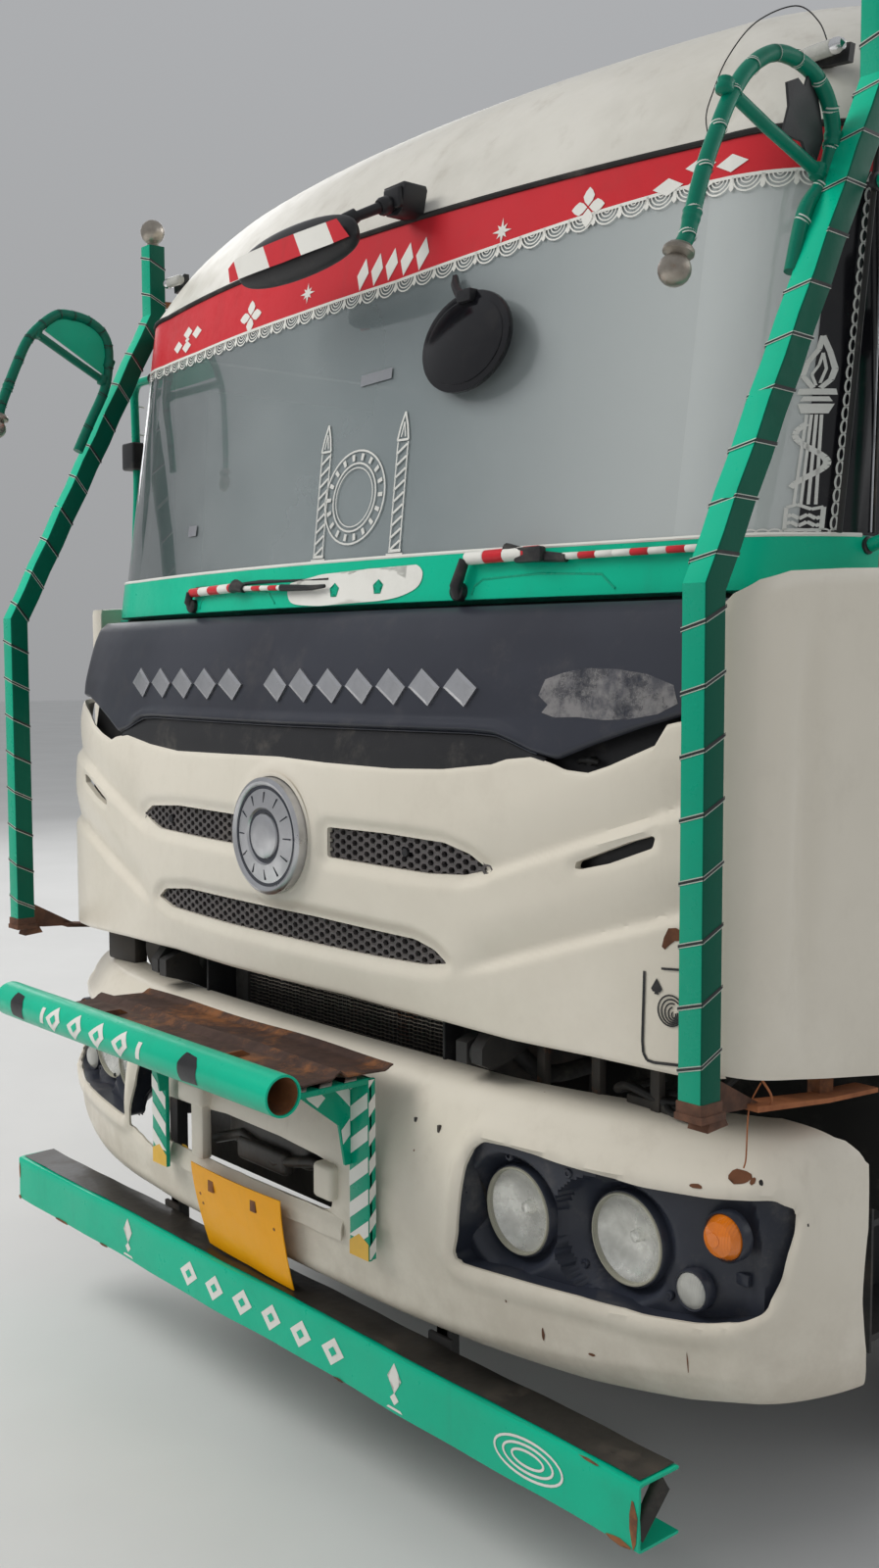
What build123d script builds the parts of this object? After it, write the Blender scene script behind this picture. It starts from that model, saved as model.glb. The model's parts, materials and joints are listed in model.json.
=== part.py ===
from build123d import *
import os
from math import sin, cos, pi, radians, sqrt

os.makedirs("parts", exist_ok=True)

# Decorated haulage truck, three axles, cab over engine, open cargo body.
# Millimetres. +Z up, ground at z = 0, +X is the truck's left, the truck faces -Y.
# Everything is drawn with y = 0 at the bumper's face and moved at the end by
# SHIFT_Y, so that the origin stands midway along the truck on the ground.

# ---------------------------------------------------------------- driving sizes
TYRE_R = 527.0
TYRE_W = 275.0
RIM_R = 254.0
RIM_W = 196.0
AXLE_Z = 527.0
FRONT_Y = 1420.0
REAR_YS = (5720.0, 7090.0)
FRONT_X = 985.0
KINGPIN_X = 830.0
TWIN_XS = (775.0, 1085.0)

RAIL_X = 425.0          # outer face of the rail's web
RAIL_H = 250.0
RAIL_FLANGE = 75.0
RAIL_T = 8.0
RAIL_Z = 790.0          # underside
RAIL_Y0, RAIL_Y1 = 400.0, 8880.0

CAB_HALF = 1150.0
CAB_WALL = 40.0
ROOF_SKIN = 6.0
CAB_REAR_Y = 2050.0
CAB_FLOOR_Z = 1085.0
COWL_Z = 1775.0
SCREEN_Z0, SCREEN_Z1 = 1865.0, 2545.0
RAKE = 0.151            # y per z of the windscreen
ROOF_Z = 2898.0
FIREWALL_Y = 330.0
TUNNEL_HALF, TUNNEL_Z = 475.0, 1430.0
TILT_Y, TILT_Z = 110.0, 935.0

DOOR_Y0, DOOR_Y1 = 480.0, 1400.0
DOOR_Z0, DOOR_Z1 = 1130.0, 2500.0
DOOR_GAP = 6.0

FLAP_HALF = 1085.0
FLAP_Z0 = 985.0
FLAP_T = 26.0
BAND_Z = 1762.0

POST_X, POST_W = 1154.0, 48.0
TUBE_R = 37.5
TUBE_Y, TUBE_Z, TUBE_HALF = -310.0, 921.0, 522.0

BODY_HALF = 1225.0
BODY_Y0, BODY_Y1 = 2350.0, 9000.0
BODY_FLOOR_Z, BODY_TOP_Z = 1190.0, 2500.0
WALL_T = 40.0

FRONT_END = TUBE_Y - TUBE_R          # foremost point
REAR_END = BODY_Y1 + 62.0            # rearmost point
SHIFT_Y = -(FRONT_END + REAR_END) / 2.0

pieces = {}


# ---------------------------------------------------------------- small helpers
def block(x0, x1, y0, y1, z0, z1, mode=Mode.ADD):
    with Locations(((x0 + x1) / 2, (y0 + y1) / 2, (z0 + z1) / 2)):
        Box(abs(x1 - x0), abs(y1 - y0), abs(z1 - z0), mode=mode)


def blocks(x0, x1, y0, y1, z0, z1, mode=Mode.ADD):
    """the same block on both sides of the middle plane"""
    block(x0, x1, y0, y1, z0, z1, mode)
    block(-x1, -x0, y0, y1, z0, z1, mode)


def face_of(plane, pts):
    with BuildSketch(plane) as sk:
        Polygon(*pts, align=None)
    return sk.sketch


def side_plane(x):
    """local x is +Y, local y is +Z, normal +X"""
    return Plane(origin=(x, 0, 0), x_dir=(0, 1, 0), z_dir=(1, 0, 0))


def front_plane(y):
    """local x is -X, local y is +Z, normal +Y"""
    return Plane(origin=(0, y, 0), x_dir=(-1, 0, 0), z_dir=(0, 1, 0))


def prism_x(x0, x1, pts, mode=Mode.ADD):
    """polygon of (y, z) points carried from x0 to x1"""
    extrude(face_of(side_plane(x0), pts), amount=x1 - x0, mode=mode)


def prism_y(y0, y1, pts, mode=Mode.ADD):
    """polygon of (x, z) points carried from y0 to y1"""
    extrude(face_of(front_plane(y0), [(-x, z) for x, z in pts]), amount=y1 - y0, mode=mode)


def prism_z(z0, z1, pts, mode=Mode.ADD):
    extrude(face_of(Plane.XY.offset(z0), pts), amount=z1 - z0, mode=mode)


def rod(a, b, r, hole=0.0, mode=Mode.ADD):
    """round bar or tube from point a to point b"""
    a, b = Vector(*a), Vector(*b)
    d = b - a
    with BuildSketch(Plane(origin=a, z_dir=d.normalized())) as sk:
        Circle(r)
        if hole:
            Circle(hole, mode=Mode.SUBTRACT)
    extrude(sk.sketch, amount=d.length, mode=mode)


def bent_tube(pts, radius, r):
    """round tube along straight runs joined by arcs"""
    with BuildLine() as ln:
        FilletPolyline(*pts, radius=radius)
    path = ln.wires()[0]
    with BuildSketch(Plane(origin=path @ 0, z_dir=path % 0)) as sk:
        Circle(r)
    sweep(sections=sk.sketch, path=path)


def spun(y, z, pts, mode=Mode.ADD):
    """solid of revolution about the cross axis at (y, z); pts are (x, radius)"""
    plane = Plane(origin=(0, y, z), x_dir=(1, 0, 0), z_dir=(0, -1, 0))
    revolve(face_of(plane, pts), axis=Axis((0, y, z), (1, 0, 0)), revolution_arc=360, mode=mode)


def ball(x, y, z, r):
    with Locations((x, y, z)):
        Sphere(r)


# ---------------------------------------------------------------- chassis frame
def rail(s):
    o, i = RAIL_X * s, (RAIL_X - RAIL_FLANGE) * s
    w = (RAIL_X - RAIL_T) * s
    z0, z1 = RAIL_Z, RAIL_Z + RAIL_H
    pts = [(o, z0), (i, z0), (i, z0 + RAIL_T), (w, z0 + RAIL_T), (w, z1 - RAIL_T), (i, z1 - RAIL_T), (i, z1), (o, z1)]
    prism_y(RAIL_Y0, RAIL_Y1, pts)


with BuildPart() as chassis_frame:
    rail(1)
    rail(-1)
    w = RAIL_X - RAIL_T
    # cross members: y, depth, underside, top
    for y, d, z0, z1 in ((2560, 90, 1000, 1032), (3400, 90, 798, 1032), (4500, 90, 798, 1032), (5560, 80, 798, 1032), (6335, 140, 798, 1032), (7180, 80, 798, 1032), (8000, 90, 798, 1032), (8872, 8, 798, 1032)):
        block(-w, w, y, y + d, z0, z1)
    # front foot of each rail: bracket, horn for the bumper, arm for the cab's pivot
    blocks(RAIL_X, 560, 400, 440, 640, 1000)
    blocks(455, 515, 150, 400, 650, 750)
    for s in (1, -1):
        a, b = sorted((522 * s, 552 * s))
        prism_x(a, b, [(400, 840), (400, 985), (140, 975), (82, 955), (82, 915), (140, 897), (240, 850)])
        rod((s * 515, TILT_Y, TILT_Z), (s * 560, TILT_Y, TILT_Z), 11.0, mode=Mode.SUBTRACT)
    # rear suspension: centre bracket under each rail
    blocks(RAIL_X, 545, 6330, 6480, 640, 800)
    # front spring hangers
    blocks(350, 425, 790, 850, 658, 790)
    blocks(350, 425, 1990, 2060, 658, 790)
    # holes for a recovery pin in the end plate
    for s in (1, -1):
        rod((s * 200, 8860, 915), (s * 200, 8890, 915), 20.0, mode=Mode.SUBTRACT)
pieces["chassis_frame"] = chassis_frame

with BuildPart() as engine:
    block(-320, 320, 640, 1700, 660, 1340)
pieces["engine"] = engine

with BuildPart() as driveline:
    # gearbox, then shaft to the first rear axle and a short one between the axles
    block(-210, 210, 1705, 2480, 700, 985)
    rod((0, 2480, 800), (0, 2540, 800), 90)
    rod((0, 2530, 800), (0, 5440, 590), 48)
    rod((0, 5926, 560), (0, 6884, 560), 40)
pieces["driveline"] = driveline

with BuildPart() as radiator:
    block(-440, 400, 250, 320, 600, 1330)
    block(-440, 400, 225, 250, 640, 700)
    block(-440, 400, 225, 250, 1230, 1290)
    block(-440, -390, 225, 250, 700, 1230)
    block(350, 400, 225, 250, 700, 1230)
    # fan cowl
    block(-340, 340, 320, 345, 650, 1290)
pieces["radiator"] = radiator

# ---------------------------------------------------------------- front axle and steering
with BuildPart() as front_axle:
    y0, y1 = FRONT_Y - 45, FRONT_Y + 45
    prism_y(y0, y1, [(-760, 490), (-700, 490), (-560, 400), (560, 400), (700, 490), (760, 490), (760, 575), (680, 575), (540, 500), (-540, 500), (-680, 575), (-760, 575)])
    for s in (1, -1):
        block(s * 740, s * 790, y0, y1, 490, 575)
        rod((s * KINGPIN_X, FRONT_Y, 475), (s * KINGPIN_X, FRONT_Y, 579), 46)
        rod((s * KINGPIN_X, FRONT_Y, 470), (s * KINGPIN_X, FRONT_Y, 585), 21, mode=Mode.SUBTRACT)
    # spring seats
    blocks(345, 430, FRONT_Y - 70, FRONT_Y + 70, 500, 520)
pieces["front_axle"] = front_axle


def knuckle(s):
    with BuildPart() as kn:
        rod((s * KINGPIN_X, FRONT_Y, 435), (s * KINGPIN_X, FRONT_Y, 619), 20.5)
        for z0, z1 in ((435, 468), (586, 619)):
            rod((s * KINGPIN_X, FRONT_Y, z0), (s * KINGPIN_X, FRONT_Y, z1), 44)
            block(s * KINGPIN_X, s * 912, FRONT_Y - 44, FRONT_Y + 44, z0, z1)
        block(s * 884, s * 912, FRONT_Y - 44, FRONT_Y + 44, 435, 619)
        rod((s * 912, FRONT_Y, AXLE_Z), (s * 1090, FRONT_Y, AXLE_Z), 35)
        # steering arm, rearwards
        block(s * 800, s * 850, FRONT_Y + 30, FRONT_Y + 230, 440, 464)
    return kn


pieces["knuckle_left"] = knuckle(1)
pieces["knuckle_right"] = knuckle(-1)


def rim_pts(c, disc_at, s):
    """half section of a pressed wheel as (x, radius): barrel with two lips and a disc; disc_at from the centre, outwards"""
    h = RIM_W / 2
    d = disc_at
    base = [(-h - 7, 272), (-h, 272), (-h, 253.5), (h, 253.5), (h, 272), (h + 7, 272), (h + 7, 241),
            (d + 12, 241), (d + 12, 215), (d + 26, 175), (d + 26, 98), (d + 10, 98), (d + 10, 172), (d - 4, 210), (d - 4, 241), (-h - 7, 241)]
    return [(s * (c + x), r) for x, r in base]


def front_wheel(s):
    with BuildPart() as w:
        spun(FRONT_Y, AXLE_Z, rim_pts(FRONT_X, 20, s))
        # hub with its blind bore for the spindle
        hub = [(-50, 40.5), (-50, 110), (20, 120), (30, 120), (30, 99), (62, 92), (118, 86), (132, 60), (132, 0), (110, 0), (110, 35.6), (-45, 35.6)]
        spun(FRONT_Y, AXLE_Z, [(s * (FRONT_X + x), r) for x, r in hub])
        # wheel nuts on the disc
        for i in range(10):
            a = 2 * pi * i / 10
            y, z = FRONT_Y + 142 * cos(a), AXLE_Z + 142 * sin(a)
            rod((s * (FRONT_X + 44), y, z), (s * (FRONT_X + 68), y, z), 15)
        # hand holes
        for i in range(10):
            a = 2 * pi * (i + 0.5) / 10
            y, z = FRONT_Y + 205 * cos(a), AXLE_Z + 205 * sin(a)
            rod((s * (FRONT_X + 0), y, z), (s * (FRONT_X + 60), y, z), 20, mode=Mode.SUBTRACT)
    return w


def tyre_solid(y, cx):
    pts = [(-94, 254), (-99, 275), (-126, 320), (-137.5, 385), (-135, 440), (-122, 500), (-108, 520), (-90, 527),
           (90, 527), (108, 520), (122, 500), (135, 440), (137.5, 385), (126, 320), (99, 275), (94, 254)]
    spun(y, AXLE_Z, [(cx + x * 0.985, r) for x, r in pts])


def front_tyre(s):
    with BuildPart() as t:
        tyre_solid(FRONT_Y, s * FRONT_X)
    return t


def rear_wheels(y, s):
    """twin wheels on one hub: discs back to back at the middle plane"""
    mid = sum(TWIN_XS) / 2
    with BuildPart() as w:
        # barrel with two lips; the disc is dished out past the barrel's edge to meet its twin
        dish = [(-105, 272), (-98, 272), (-98, 253.5), (98, 253.5), (98, 272), (105, 272), (105, 241), (84, 241), (157, 196), (157, 97), (141, 97), (141, 187), (62, 241), (-105, 241)]
        inner = [(s * (TWIN_XS[0] + x), r) for x, r in dish]
        outer = [(s * (TWIN_XS[1] - x), r) for x, r in dish]
        hub = [(-95, 50.6), (-95, 120), (-36, 150), (36, 150), (36, 97), (120, 92), (205, 86), (222, 62), (222, 0), (200, 0), (200, 50.6)]
        with BuildSketch(Plane(origin=(0, y, AXLE_Z), x_dir=(1, 0, 0), z_dir=(0, -1, 0))) as sk:
            Polygon(*inner, align=None)
            Polygon(*outer, align=None)
            Polygon(*[(s * (mid + x), r) for x, r in hub], align=None)
        revolve(sk.sketch, axis=Axis((0, y, AXLE_Z), (1, 0, 0)), revolution_arc=360)
        for i in range(10):
            a = 2 * pi * i / 10
            yy, zz = y + 126 * cos(a), AXLE_Z + 126 * sin(a)
            rod((s * (mid + 27), yy, zz), (s * (mid + 54), yy, zz), 13)
    return w


def rear_tyres(y, s):
    with BuildPart() as t:
        for x in TWIN_XS:
            tyre_solid(y, s * x)
    return t


for s, side in ((1, "left"), (-1, "right")):
    pieces["front_wheel_" + side] = front_wheel(s)
    pieces["front_tyre_" + side] = front_tyre(s)
    for n, y in enumerate(REAR_YS, 1):
        pieces["rear_wheels_%d_%s" % (n, side)] = rear_wheels(y, s)
        pieces["rear_tyres_%d_%s" % (n, side)] = rear_tyres(y, s)

with BuildPart() as rear_axles:
    for y in REAR_YS:
        rod((-1120, y, AXLE_Z), (1120, y, AXLE_Z), 50)
        rod((-800, y, AXLE_Z), (800, y, AXLE_Z), 78)
        rod((-150, y, AXLE_Z), (150, y, AXLE_Z), 200)
        blocks(450, 540, y - 60, y + 60, 575, 612)
pieces["rear_axles"] = rear_axles

with BuildPart() as leaf_springs:
    # front: leaves laid under the rails, seat down on the axle
    for s in (1, -1):
        a, b = sorted((s * 352, s * 423))
        half = [(0, 580), (305, 603), (610, 658), (610, 640), (480, 616), (480, 596), (340, 574), (340, 554), (150, 530), (75, 520)]
        prism_x(a, b, [(FRONT_Y + y, z) for y, z in half + [(-y, z) for y, z in half[:0:-1]]])
    # rear: leaves arched over the centre bracket, ends resting on both axles
    for s in (1, -1):
        a, b = sorted((s * 455, s * 535))
        yc = sum(REAR_YS) / 2
        prism_x(a, b, [(yc + y, zz) for y, zz in ((-735, 612), (735, 612), (735, 630), (420, 635), (80, 640), (-80, 640), (-420, 635), (-735, 630))])
        block(a, b, yc - 450, yc + 450, 588, 612)
pieces["leaf_springs"] = leaf_springs

# ---------------------------------------------------------------- bumper
# plan of the face at mid height: x, y
BUMPER_PLAN = ((600, 13), (880, 68), (1120, 165), (1190, 250), (1215, 370))
# section of the face: z, set-back
BUMPER_SECTION = ((430, 50), (520, 12), (610, 0), (700, 8), (800, 45), (872, 96))
BUMPER_T = 8.0


def circle3(p, q, r):
    """centre of the circle through three points"""
    ax, ay = p
    bx, by = q
    cx, cy = r
    d = 2 * (ax * (by - cy) + bx * (cy - ay) + cx * (ay - by))
    ux = ((ax * ax + ay * ay) * (by - cy) + (bx * bx + by * by) * (cy - ay) + (cx * cx + cy * cy) * (ay - by)) / d
    uy = ((ax * ax + ay * ay) * (cx - bx) + (bx * bx + by * by) * (ax - cx) + (cx * cx + cy * cy) * (bx - ax)) / d
    return ux, uy


def shrink(c, p, t):
    """point p moved by t towards c"""
    d = sqrt((c[0] - p[0]) ** 2 + (c[1] - p[1]) ** 2)
    return p[0] + (c[0] - p[0]) * t / d, p[1] + (c[1] - p[1]) * t / d


def bumper_ring(z, back, t):
    """closed band in plan, outer face set back by `back`, thickness t"""
    P = BUMPER_PLAN
    narrow = 1.0 if back <= 60 else 1.0 - (back - 60) / 2200.0
    o = [(x * narrow, y + back) for x, y in P]
    c0 = circle3((-o[0][0], o[0][1]), (0, back), o[0])
    c1 = circle3(o[0], o[1], o[2])
    c2 = circle3(o[2], o[3], o[4])
    i = [shrink(c0, o[0], t), shrink(c1, o[1], t), shrink(c1, o[2], t), shrink(c2, o[3], t), shrink(c2, o[4], t)]
    im = (0, back + t)
    neg = lambda p: (-p[0], p[1])
    with BuildSketch(Plane.XY.offset(z)) as sk:
        with BuildLine():
            ThreePointArc(neg(o[0]), (0, back), o[0])
            ThreePointArc(o[0], o[1], o[2])
            ThreePointArc(o[2], o[3], o[4])
            Line(o[4], i[4])
            ThreePointArc(i[4], i[3], i[2])
            ThreePointArc(i[2], i[1], i[0])
            ThreePointArc(i[0], im, neg(i[0]))
            ThreePointArc(neg(i[0]), neg(i[1]), neg(i[2]))
            ThreePointArc(neg(i[2]), neg(i[3]), neg(i[4]))
            Line(neg(i[4]), neg(o[4]))
            ThreePointArc(neg(o[4]), neg(o[3]), neg(o[2]))
            ThreePointArc(neg(o[2]), neg(o[1]), neg(o[0]))
        make_face()
    return sk.sketch


# outline of a headlamp opening in the face: x, z
LAMP_OUTLINE = ((629, 790), (686, 796), (829, 786), (953, 777), (1061, 776), (1149, 782), (1170, 768), (1175, 733), (1168, 658), (1152, 604), (1128, 587), (1060, 571), (974, 567), (858, 574), (720, 574), (611, 573), (596, 584), (601, 629), (602, 743), (611, 778))

with BuildPart() as bumper:
    faces = [bumper_ring(z, back, BUMPER_T) for z, back in BUMPER_SECTION]
    for low, high in zip(faces[:-1], faces[1:]):
        loft([low, high], ruled=True)
    # flat top flange
    extrude(bumper_ring(872, 96, 62), amount=8)
    # openings: centre mouth, headlamps, small hook holes
    prism_y(-60, 200, [(-395, 560), (-395, 690), (-270, 690), (-150, 700), (214, 690), (250, 640), (250, 566), (214, 560)], mode=Mode.SUBTRACT)
    for s in (1, -1):
        prism_y(-60, 330, [(s * x, z) for x, z in LAMP_OUTLINE], mode=Mode.SUBTRACT)
        prism_y(-60, 200, [(s * 425, 570), (s * 470, 530), (s * 560, 560), (s * 548, 700), (s * 425, 705)], mode=Mode.SUBTRACT)
    # ends cut off upright
    block(-1300, 1300, 384, 700, 380, 920, mode=Mode.SUBTRACT)
    # ribs that carry it on the horns
    for s in (1, -1):
        block(s * 448, s * 455, 40, 200, 720, 800)
        block(s * 515, s * 522, 40, 200, 720, 800)
    block(-522, 522, 142, 150, 700, 800)
pieces["bumper"] = bumper

with BuildPart() as headlamp_housings:
    for s in (1, -1):
        inner = [(885 + (x - 885) * 0.975, 682 + (z - 682) * 0.93) for x, z in LAMP_OUTLINE]
        # tray: back wall stepped to follow the bumper's sweep, with a rim
        pts = [(s * x, z) for x, z in inner]
        prism_y(215, 245, pts)
        rim_in = [(s * (885 + (x - 885) * 0.97), 682 + (z - 682) * 0.95) for x, z in inner]
        with BuildPart(mode=Mode.PRIVATE) as rim:
            prism_y(60, 230, pts)
            prism_y(50, 240, rim_in, mode=Mode.SUBTRACT)
            # the rim's front follows the face, a little behind it
            front = [(0, -200), (600, 42), (880, 97), (1120, 194), (1300, 480), (1300, -200)]
            prism_z(500, 900, [(s * x, y) for x, y in front] if s > 0 else [(s * x, y) for x, y in front][::-1], mode=Mode.SUBTRACT)
        add(rim.part)
pieces["headlamp_housings"] = headlamp_housings

# lamps in each cluster: x, front y, z, radius, depth
LAMPS = ((684, 85, 671, 66, 120), (898, 140, 666, 78, 70), (1089, 165, 717, 40, 34), (1030, 152, 612, 27, 40))
with BuildPart() as headlamps:
    for s in (1, -1):
        for x, y, z, r, d in LAMPS:
            rod((s * x, y, z), (s * x, 214.5, z), r)
pieces["headlamps"] = headlamps

with BuildPart() as bumper_tube:
    rod((-TUBE_HALF, TUBE_Y, TUBE_Z), (TUBE_HALF, TUBE_Y, TUBE_Z), TUBE_R, hole=TUBE_R - 4)
    for s in (1, -1):
        a, b = sorted((s * 340, s * 400))
        # foot on the bumper's face, arm forward to the tube
        prism_x(a, b, [(-32, 520), (-12, 520), (-12, 700), (-4, 860), (-4, 878), (-262, 878), (-262, 862), (-32, 862)])
        prism_x(a + 26 if s > 0 else a, b if s > 0 else b - 26, [(-262, 862), (-272, 862), (-272, 905), (-262, 905)])
    # rusty plate behind the tube
    block(-515, 400, -262, 40, 880, 886)
    block(-515, 400, -200, -194, 886, 902)
pieces["bumper_tube"] = bumper_tube

with BuildPart() as number_plate:
    prism_x(-224, 116, [(-44, 567), (-41, 567), (1, 368.5), (-2, 368.5)])
    for x in (-130, 22):
        block(x - 12, x + 12, -44, -38, 520, 545)
pieces["number_plate"] = number_plate

with BuildPart() as underrun_bar:
    with BuildPart(mode=Mode.PRIVATE) as bar:
        block(-1090, 1090, -34, 61, 253, 366)
        block(-1091, 1091, -28, 62, 259, 360, mode=Mode.SUBTRACT)
    add(bar.part)
    blocks(470, 505, 75, 105, 300, 650)
    blocks(470, 505, 105, 200, 590, 650)
    blocks(470, 505, -28, 75, 300, 359.9)
pieces["underrun_bar"] = underrun_bar

# ---------------------------------------------------------------- cab
CORNER_Y = 430.0


def cab_plan(z, t, rear):
    """plan outline of the upper cab at the windscreen's foot, inset by t"""
    h = CAB_HALF - t
    with BuildSketch(Plane.XY.offset(z)) as sk:
        with BuildLine():
            ThreePointArc((-900 + t * 0.2, 245 + t), (0, 150 + t), (900 - t * 0.2, 245 + t))
            ThreePointArc((900 - t * 0.2, 245 + t), (1062 - t * 0.6, 305 + t * 0.75), (h, CORNER_Y + t * 0.2))
            Polyline((h, CORNER_Y + t * 0.2), (h, rear), (-h, rear), (-h, CORNER_Y + t * 0.2))
            ThreePointArc((-h, CORNER_Y + t * 0.2), (-1062 + t * 0.6, 305 + t * 0.75), (-900 + t * 0.2, 245 + t))
        make_face()
    return sk.sketch


# roof sections over the header: z, y at the middle, then x and y at the end of the front
# arc, in the corner and where the straight side starts
ROOF_SECTIONS = (
    (2650, 322, 880, 410, 1045, 480, 1146, 640),
    (2730, 388, 845, 470, 1018, 560, 1134, 740),
    (2802, 462, 800, 543, 985, 645, 1106, 850),
    (2856, 545, 760, 620, 950, 730, 1070, 960),
    (2886, 650, 720, 735, 905, 850, 1020, 1070),
    (ROOF_Z, 820, 670, 890, 850, 1000, 960, 1200),
)
HEADER_Z = 2556.0


def roof_plan(z, yc, xa, ya, xm, ym, h, ys, rear):
    with BuildSketch(Plane.XY.offset(z)) as sk:
        with BuildLine():
            ThreePointArc((-xa, ya), (0, yc), (xa, ya))
            ThreePointArc((xa, ya), (xm, ym), (h, ys))
            Polyline((h, ys), (h, rear), (-h, rear), (-h, ys))
            ThreePointArc((-h, ys), (-xm, ym), (-xa, ya))
        make_face()
    return sk.sketch


def upper_cab(t, z0, rear):
    """upper cab body inset by t: raked plan up to the header, then a domed roof"""
    z1 = HEADER_Z - t * 0.6
    with BuildPart() as up:
        k = sqrt(1 + RAKE * RAKE)
        base = cab_plan(z0, t, rear + 400).moved(Location((0, (z0 - SCREEN_Z0) * RAKE, 0)))
        extrude(base, amount=(z1 - z0) * k, dir=(0, RAKE / k, 1 / k))
        block(-1300, 1300, -300, rear, z0, z1, mode=Mode.INTERSECT)
        if rear > 1500:
            dy = (z1 - SCREEN_Z0) * RAKE
            rows = [roof_plan(z1, 150 + t + dy, 900 - t * 0.2, 245 + t + dy, 1062 - t * 0.6, 305 + t * 0.75 + dy, CAB_HALF - t, CORNER_Y + t * 0.2 + dy, rear)]
            for z, yc, xa, ya, xm, ym, h, ys in ROOF_SECTIONS:
                rows.append(roof_plan(z - t * 0.8, yc + t * 0.75, xa - t * 0.2, ya + t * 0.8, xm - t * 0.6, ym + t * 0.7, h - t, ys + t * 0.2, rear))
            with BuildPart(mode=Mode.PRIVATE) as top:
                loft(rows)
            add(top.part)
    return up.part


CAB_BODY = upper_cab(0, COWL_Z, CAB_REAR_Y)
SCREEN_CUT = [(-400, SCREEN_Z0), (362, SCREEN_Z0), (434, SCREEN_Z1), (-400, SCREEN_Z1)]
SCREEN_CUT_IN = [(-400, SCREEN_Z0 + 1), (360.6, SCREEN_Z0 + 1), (432.4, SCREEN_Z1 - 1), (-400, SCREEN_Z1 - 1)]
DOOR_HOLE = [(DOOR_Y0, DOOR_Z0), (DOOR_Y1, DOOR_Z0), (DOOR_Y1, DOOR_Z1), (DOOR_Y0, DOOR_Z1)]

# fine joint between neighbouring pressings
SEAM = 0.4
with BuildPart() as cab_shell:
    add(CAB_BODY)
    # cavity, with the cowl's shelf left in front of the firewall
    add(upper_cab(CAB_WALL, COWL_Z + 30, CAB_REAR_Y - CAB_WALL), mode=Mode.SUBTRACT)
    # thin skin of the raised roof
    with BuildPart(mode=Mode.PRIVATE) as roof_hollow:
        add(upper_cab(ROOF_SKIN, COWL_Z + 30, CAB_REAR_Y - CAB_WALL))
        block(-1300, 1300, -300, CAB_REAR_Y - CAB_WALL, HEADER_Z + 30, 3000, mode=Mode.INTERSECT)
    add(roof_hollow.part, mode=Mode.SUBTRACT)
    block(-CAB_HALF + CAB_WALL, CAB_HALF - CAB_WALL, FIREWALL_Y + 30, CAB_REAR_Y - CAB_WALL, COWL_Z - 1, COWL_Z + 31, mode=Mode.SUBTRACT)
    # windscreen, door and rear window openings
    prism_x(-1300, 1300, SCREEN_CUT, mode=Mode.SUBTRACT)
    for s in (1, -1):
        a, b = sorted((s * 1080, s * 1200))
        prism_x(a, b, DOOR_HOLE, mode=Mode.SUBTRACT)
    block(-420, 420, CAB_REAR_Y - 60, CAB_REAR_Y + 10, 1950, 2350, mode=Mode.SUBTRACT)
    # lower walls: sills, front and rear quarters, back wall round the engine tunnel
    top = COWL_Z - SEAM
    blocks(CAB_HALF - CAB_WALL, CAB_HALF, FIREWALL_Y, CAB_REAR_Y, CAB_FLOOR_Z, DOOR_Z0 - SEAM)
    blocks(CAB_HALF - CAB_WALL, CAB_HALF, FIREWALL_Y, DOOR_Y0, DOOR_Z0, top)
    blocks(CAB_HALF - CAB_WALL, CAB_HALF, DOOR_Y1, CAB_REAR_Y, DOOR_Z0, top)
    inner = CAB_HALF - CAB_WALL - SEAM
    blocks(TUNNEL_HALF, inner, CAB_REAR_Y - CAB_WALL, CAB_REAR_Y, CAB_FLOOR_Z, top)
    block(-TUNNEL_HALF + SEAM, TUNNEL_HALF - SEAM, CAB_REAR_Y - CAB_WALL, CAB_REAR_Y, TUNNEL_Z, top)
    # skirts under the floor ahead of the front wheels
    blocks(CAB_HALF - 30, CAB_HALF, FIREWALL_Y, 840, 985, CAB_FLOOR_Z - SEAM)
pieces["cab_shell"] = cab_shell

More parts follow.
